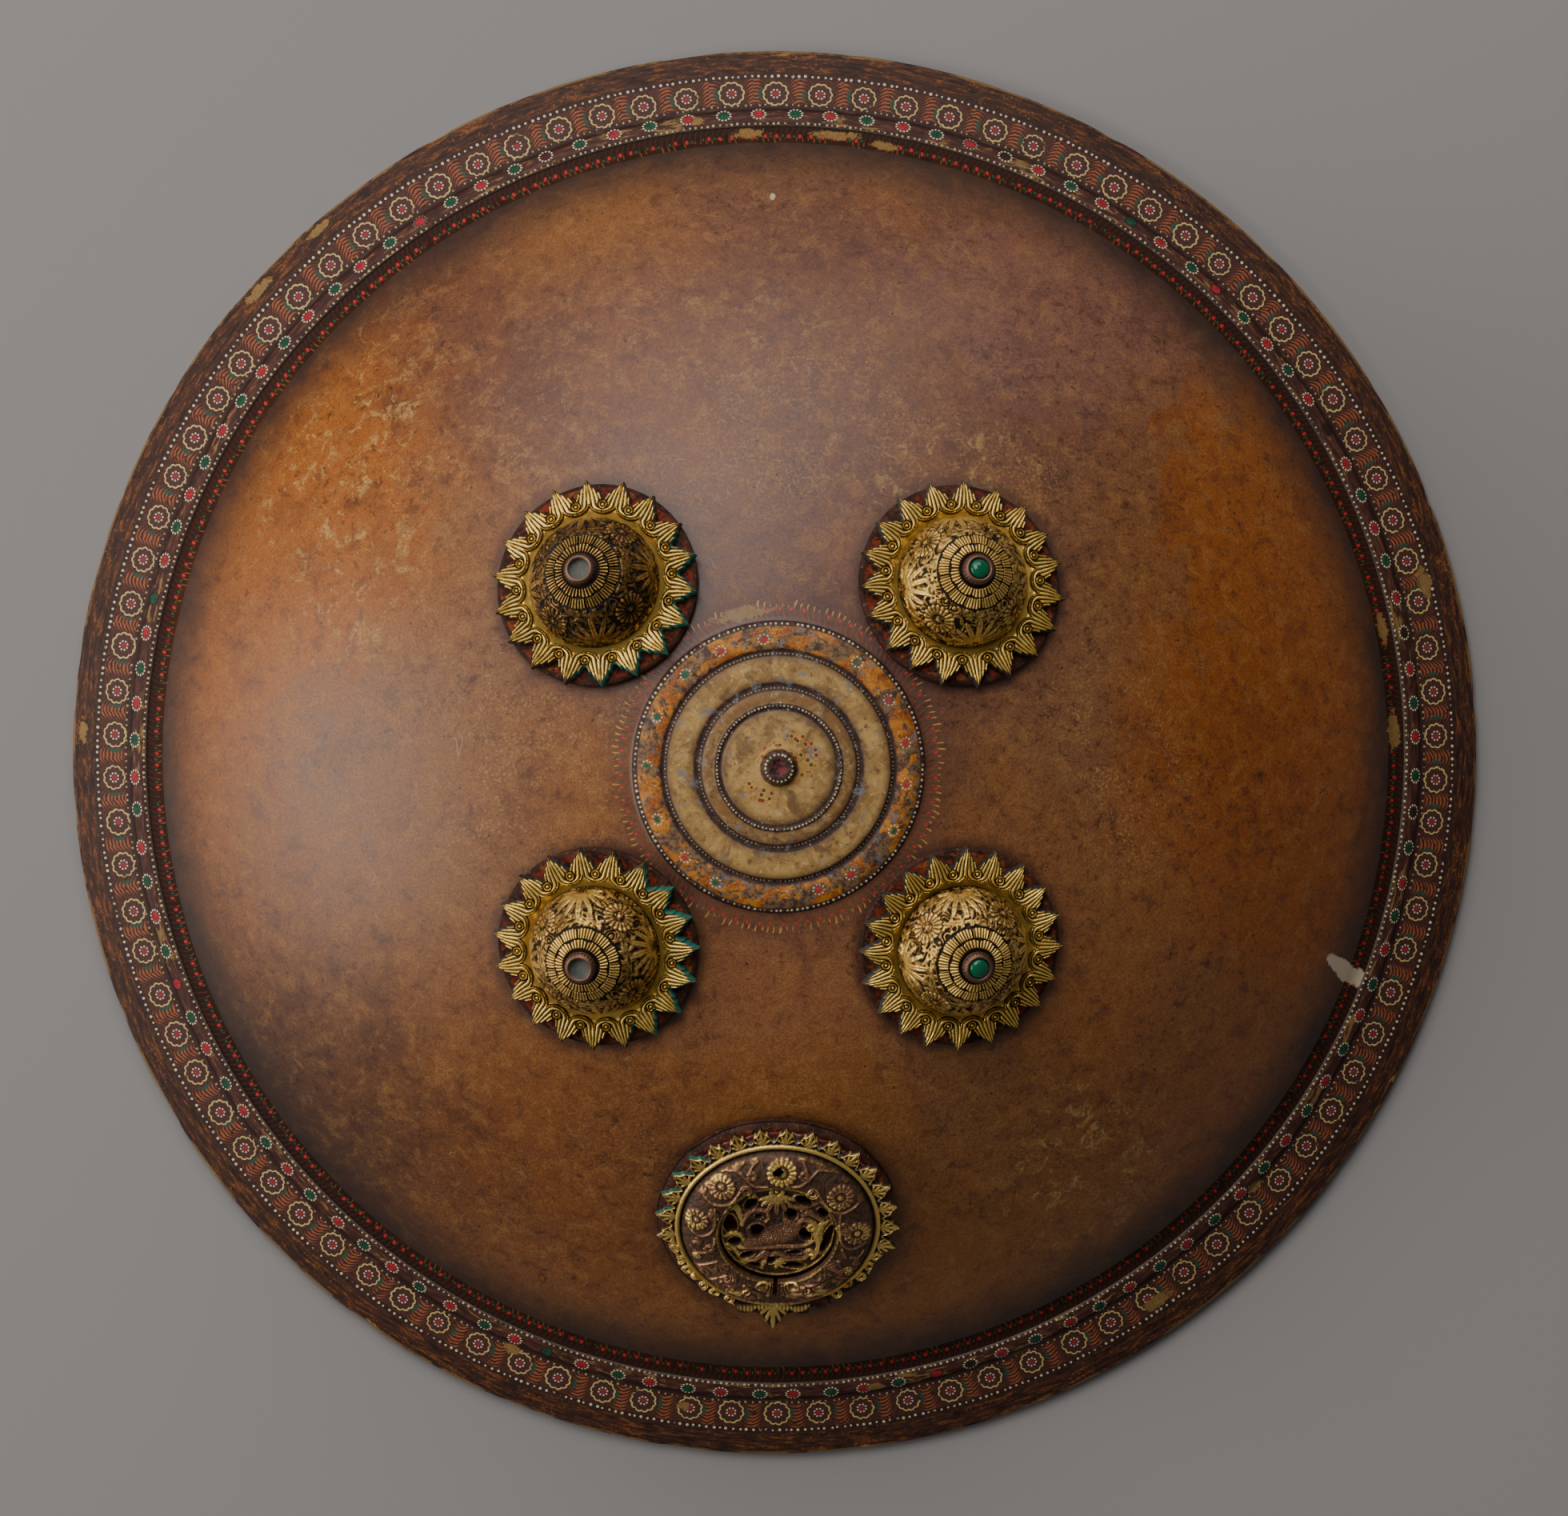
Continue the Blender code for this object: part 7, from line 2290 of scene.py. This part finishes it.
def make_grip(scene, name, side, paint):
    """Leather band that bows inwards between two rivets."""
    plate, grips = scene.shield_plate, scene.shield_grips
    thick, wide = grips.thickness / MM, grips.width / MM
    across = scene.shield_bosses.distance / MM * math.sqrt(0.5)
    sphere = plate.dome_radius / MM
    out = np.array([side * across, 0, math.sqrt(sphere**2 - 2 * across**2)])
    out /= np.linalg.norm(out)
    along, cross = np.array([0, 1.0, 0]), np.cross(out, (0, 1.0, 0))
    half = math.asin(across / sphere)
    outer = sphere - plate.wall / MM - grip_gap(scene) - thick / 2
    tail = half + grips.tail / MM / outer
    lift_off = half - grips.tail / MM / outer
    deselect()
    bpy.ops.mesh.primitive_cube_add(size=1)
    piece = bpy.context.object
    piece.name = name
    bpy.ops.object.mode_set(mode="EDIT")
    bpy.ops.mesh.select_all(action="SELECT")
    bpy.ops.transform.resize(value=(2 * tail, wide * MM, thick * MM), center_override=(0, 0, 0))
    for cut in range(1, 64):
        bpy.ops.mesh.select_all(action="SELECT")
        bpy.ops.mesh.bisect(plane_co=(-tail + 2 * tail * cut / 64, 0, 0), plane_no=(1, 0, 0))
    for cut in (-0.42, -0.3, -0.15, 0, 0.15, 0.3, 0.42):
        bpy.ops.mesh.select_all(action="SELECT")
        bpy.ops.mesh.bisect(plane_co=(0, cut * wide * MM, 0), plane_no=(0, 1, 0))
    bpy.ops.object.mode_set(mode="OBJECT")
    points = points_of(piece)
    turn_here, off, up = points[:, 0] * MM, points[:, 1], points[:, 2]
    share = np.clip((1 - np.abs(turn_here) / lift_off) / 0.5, 0, 1)
    depth = grips.room / MM * share * share * (3 - 2 * share)
    rate = np.where(
        (share > 0) & (share < 1),
        grips.room / MM * 6 * share * (1 - share) * (-np.sign(turn_here) / lift_off / 0.5), 0,
    )
    distance = outer - depth
    radial = out[None, :] * np.cos(turn_here)[:, None] + along[None, :] * np.sin(turn_here)[:, None]
    tangent = -out[None, :] * np.sin(turn_here)[:, None] + along[None, :] * np.cos(turn_here)[:, None]
    normal = radial * distance[:, None] + tangent * rate[:, None]
    normal /= np.linalg.norm(normal, axis=1)[:, None]
    rounding = 1 - 0.35 * smooth(np.abs(off) / wide, 0.40, 0.5)
    waist = 1 - 0.14 * share
    lift = up * rounding
    placed = radial * distance[:, None] + normal * lift[:, None] + cross[None, :] * (off * waist)[:, None]
    placed[:, 2] += dome_centre(plate)
    move_points(piece, placed)
    deselect()
    piece.select_set(True)
    bpy.context.view_layer.objects.active = piece
    bpy.ops.object.mode_set(mode="EDIT")
    bpy.ops.mesh.select_all(action="SELECT")
    bpy.ops.mesh.normals_make_consistent(inside=False)
    bpy.ops.object.mode_set(mode="OBJECT")
    return finish_piece(piece, paint, (name,), sharp=40)


def make_rivet(scene, name, turn_degrees, paint):
    """Iron plate with a clenched rivet head inside the dome."""
    plate, grips = scene.shield_plate, scene.shield_grips
    sphere, radius, head = plate.dome_radius / MM, grips.rivet_radius / MM, grips.head_radius / MM
    sag = sphere - math.sqrt(sphere**2 - radius**2)
    top = -(plate.wall / MM + grip_gap(scene) + grips.thickness / MM + 0.3 + 2 * sag)
    low = top - 1.4
    outline = [
        (0, top), (radius * 0.7, top), (radius - 0.2, top), (radius, top - 0.25), (radius, low + 0.4),
        (radius - 0.35, low),
    ]
    outline += [(radius * 0.75, low), (head + 0.3, low)]
    outline += [(head * math.cos(u), low - 2.2 * math.sin(u)) for u in np.linspace(0, math.pi / 2, 12)]
    outline[-1] = (0, low - 2.2)
    piece = turn(name, outline, SMALL_STEPS)
    return finish_piece(
        piece, paint, (name,), seat(plate, scene.shield_bosses.distance, turn_degrees)
    )


def make_both_grips(scene):
    """Two leather grips on the inside."""
    leather = make_leather("grip_leather", "4A2E20", "27170F", 0.62)
    make_grip(scene, "grip_right", 1, leather)
    make_grip(scene, "grip_left", -1, leather)


def make_rivets(scene):
    """Four rivets that hold the grips and the bosses."""
    # Forged iron, dark grey with thin brown rust.
    iron, tree, shader = material("forged_iron", 0.55, 1.0)
    rust = add(tree, "TexNoise", place_in_mm(tree), Scale=1 / 3, Detail=4, Roughness=0.65)
    tone = coat(tree, "3C3835", "5A3A28", (rust, 0.5, 0.64))
    connect(
        tree, shader, tone, add(tree, "Math", rust, 0.5, 0.3, operation="MULTIPLY_ADD"),
        mask(tree, (rust, 0.5, 0.64, 1.0, 0.3)), rust, 0.2,
    )
    for name, turn_degrees, _, _, _ in BOSSES:
        make_rivet(scene, f"grip_rivet_{name}", turn_degrees, iron)


def make_stage(scene):
    """Pale floor, soft studio light and the camera above the shield."""
    stage = scene.shield_stage
    deselect()
    bpy.ops.mesh.primitive_plane_add(size=6, location=(0, 0, 0))
    floor = bpy.context.object
    floor.name = "floor"
    paper, _, shader = material("grey_paper", 0.85)
    shader.inputs["Base Color"].default_value = (*stage.floor, 1)
    floor.data.materials.append(paper)
    lamps = (
        ("Left window", (-2.25, -0.16, 1.0), 1.7, 1.5, stage.key, (1.0, 0.985, 0.96)),
        ("Back window", (-0.3, 2.1, 1.5), 3.0, 1.5, stage.fill, (1.0, 0.99, 0.98)),
        ("Overhead", (-0.5, 1.2, 2.3), 1.2, 1.2, stage.overhead, (0.98, 0.99, 1.0)),
    )
    for name, place, width, height, power, tone in lamps:
        deselect()
        bpy.ops.object.light_add(type="AREA", location=place)
        light = bpy.context.object
        light.name = name
        light.data.shape = "RECTANGLE"
        light.data.size, light.data.size_y = width, height
        light.data.energy = power
        light.data.color = tone
        light.rotation_euler = (-Vector(place)).to_track_quat("-Z", "Y").to_euler()
    world = bpy.data.worlds.new("Studio")
    world.use_nodes = True
    world.node_tree.nodes["Background"].inputs[0].default_value = (0.55, 0.56, 0.58, 1)
    world.node_tree.nodes["Background"].inputs[1].default_value = 0.2
    scene.world = world
    deselect()
    bpy.ops.object.camera_add(location=(stage.side, stage.forward, stage.distance))
    camera = bpy.context.object
    camera.name = "Camera"
    camera.data.lens = 130
    camera.data.sensor_width = 36
    back = (camera.location - Vector((0.0031, -0.0009, 0.0046))).normalized()
    right = Vector((0, 1, 0)).cross(back).normalized()
    camera.rotation_euler = Matrix((right, back.cross(right), back)).transposed().to_euler()
    scene.camera = camera


class SHIELD_OT_hide_plate(bpy.types.Operator):
    """Build the painted hide plate with its medallion, bead and rim"""
    bl_idname = "shield.hide_plate"
    bl_label = "Hide plate"

    def execute(self, context):
        make_plate(context.scene)
        return {"FINISHED"}


class SHIELD_OT_boss_pads(bpy.types.Operator):
    """Build the leather pads under the four bosses"""
    bl_idname = "shield.boss_pads"
    bl_label = "Boss pads"

    def execute(self, context):
        make_boss_pads(context.scene)
        return {"FINISHED"}


class SHIELD_OT_boss_collars(bpy.types.Operator):
    """Build the four collars of gilt leaves"""
    bl_idname = "shield.boss_collars"
    bl_label = "Boss collars"

    def execute(self, context):
        make_boss_collars(context.scene)
        return {"FINISHED"}


class SHIELD_OT_boss_domes(bpy.types.Operator):
    """Build the four embossed domes"""
    bl_idname = "shield.boss_domes"
    bl_label = "Boss domes"

    def execute(self, context):
        make_boss_domes(context.scene)
        return {"FINISHED"}


class SHIELD_OT_settings(bpy.types.Operator):
    """Build the cups on top of the domes"""
    bl_idname = "shield.settings"
    bl_label = "Settings"

    def execute(self, context):
        make_settings(context.scene)
        return {"FINISHED"}


class SHIELD_OT_stones(bpy.types.Operator):
    """Build the two green stones that are left"""
    bl_idname = "shield.stones"
    bl_label = "Stones"

    def execute(self, context):
        make_stones(context.scene)
        return {"FINISHED"}


class SHIELD_OT_crest_pad(bpy.types.Operator):
    """Build the leather pad under the crest"""
    bl_idname = "shield.crest_pad"
    bl_label = "Crest pad"

    def execute(self, context):
        s = context.scene.shield_bosses
        pad = make_leather("crest_pad_leather", s.pad, "2C1810", 0.75, "6A3222")
        make_crest_pad(context.scene, crest_place(context.scene), pad)
        return {"FINISHED"}


class SHIELD_OT_crest_felt(bpy.types.Operator):
    """Build the red cloth between the crest's pad and its collar"""
    bl_idname = "shield.crest_felt"
    bl_label = "Crest felt"

    def execute(self, context):
        make_crest_felt(context.scene, crest_place(context.scene), make_red_felt(context.scene))
        return {"FINISHED"}


class SHIELD_OT_crest_collar(bpy.types.Operator):
    """Build the crest's cast collar with its smooth ring"""
    bl_idname = "shield.crest_collar"
    bl_label = "Crest collar"

    def execute(self, context):
        make_crest_collar(context.scene, crest_place(context.scene), crest_metal(context.scene))
        return {"FINISHED"}


class SHIELD_OT_crest_plate(bpy.types.Operator):
    """Build the crest's embossed ring plate"""
    bl_idname = "shield.crest_plate"
    bl_label = "Crest plate"

    def execute(self, context):
        make_crest_plate(context.scene, crest_place(context.scene), crest_metal(context.scene))
        return {"FINISHED"}


class SHIELD_OT_crest_pierced(bpy.types.Operator):
    """Build the crest's openwork disc"""
    bl_idname = "shield.crest_pierced"
    bl_label = "Openwork disc"

    def execute(self, context):
        make_crest_pierced(context.scene, crest_place(context.scene), crest_metal(context.scene))
        return {"FINISHED"}


class SHIELD_OT_thong_end(bpy.types.Operator):
    """Build the end of a leather thong in the crest's notch"""
    bl_idname = "shield.thong_end"
    bl_label = "Thong end"

    def execute(self, context):
        thong = make_leather("brown_leather", tuple(context.scene.shield_crest.thong), "2A1812", 0.6)
        make_strap_end(context.scene, crest_place(context.scene), thong)
        return {"FINISHED"}


class SHIELD_OT_grips(bpy.types.Operator):
    """Build the two leather grips on the inside"""
    bl_idname = "shield.grips"
    bl_label = "Grips"

    def execute(self, context):
        make_both_grips(context.scene)
        return {"FINISHED"}


class SHIELD_OT_rivets(bpy.types.Operator):
    """Build the four rivets of the grips"""
    bl_idname = "shield.rivets"
    bl_label = "Rivets"

    def execute(self, context):
        make_rivets(context.scene)
        return {"FINISHED"}


class SHIELD_OT_stage(bpy.types.Operator):
    """Build the floor, the light and the camera"""
    bl_idname = "shield.stage"
    bl_label = "Stage"

    def execute(self, context):
        make_stage(context.scene)
        return {"FINISHED"}


SETTINGS = {
    "shield_plate": PlateSettings,
    "shield_bosses": BossSettings,
    "shield_crest": CrestSettings,
    "shield_grips": GripSettings,
    "shield_stage": StageSettings,
}
OPERATORS = (
    SHIELD_OT_hide_plate,
    SHIELD_OT_boss_pads,
    SHIELD_OT_boss_collars,
    SHIELD_OT_boss_domes,
    SHIELD_OT_settings,
    SHIELD_OT_stones,
    SHIELD_OT_crest_pad,
    SHIELD_OT_crest_felt,
    SHIELD_OT_crest_collar,
    SHIELD_OT_crest_plate,
    SHIELD_OT_crest_pierced,
    SHIELD_OT_thong_end,
    SHIELD_OT_grips,
    SHIELD_OT_rivets,
    SHIELD_OT_stage,
)


class SHIELD_PT_sidebar(bpy.types.Panel):
    """Lists the builders in the order in which they run"""
    bl_idname = "SHIELD_PT_sidebar"
    bl_label = "Round hide shield"
    bl_space_type = "VIEW_3D"
    bl_region_type = "UI"
    bl_category = "Shield"

    def draw(self, context):
        for kind in OPERATORS:
            self.layout.operator(kind.bl_idname)


def register():
    """Registers the settings, the operators and the panel."""
    for name, kind in SETTINGS.items():
        bpy.utils.register_class(kind)
        setattr(bpy.types.Scene, name, bpy.props.PointerProperty(type=kind))
    for kind in (*OPERATORS, SHIELD_PT_sidebar):
        bpy.utils.register_class(kind)


def unregister():
    """Undoes register."""
    for kind in (SHIELD_PT_sidebar, *reversed(OPERATORS)):
        bpy.utils.unregister_class(kind)
    for name, kind in SETTINGS.items():
        delattr(bpy.types.Scene, name)
        bpy.utils.unregister_class(kind)


def main():
    """Builds every piece and the stage."""
    register()
    for kind in OPERATORS:
        group, name = kind.bl_idname.split(".")
        if getattr(getattr(bpy.ops, group), name)() != {"FINISHED"}:
            raise RuntimeError(f"{kind.bl_label} wasn't finished")


if __name__ == "__main__":
    main()
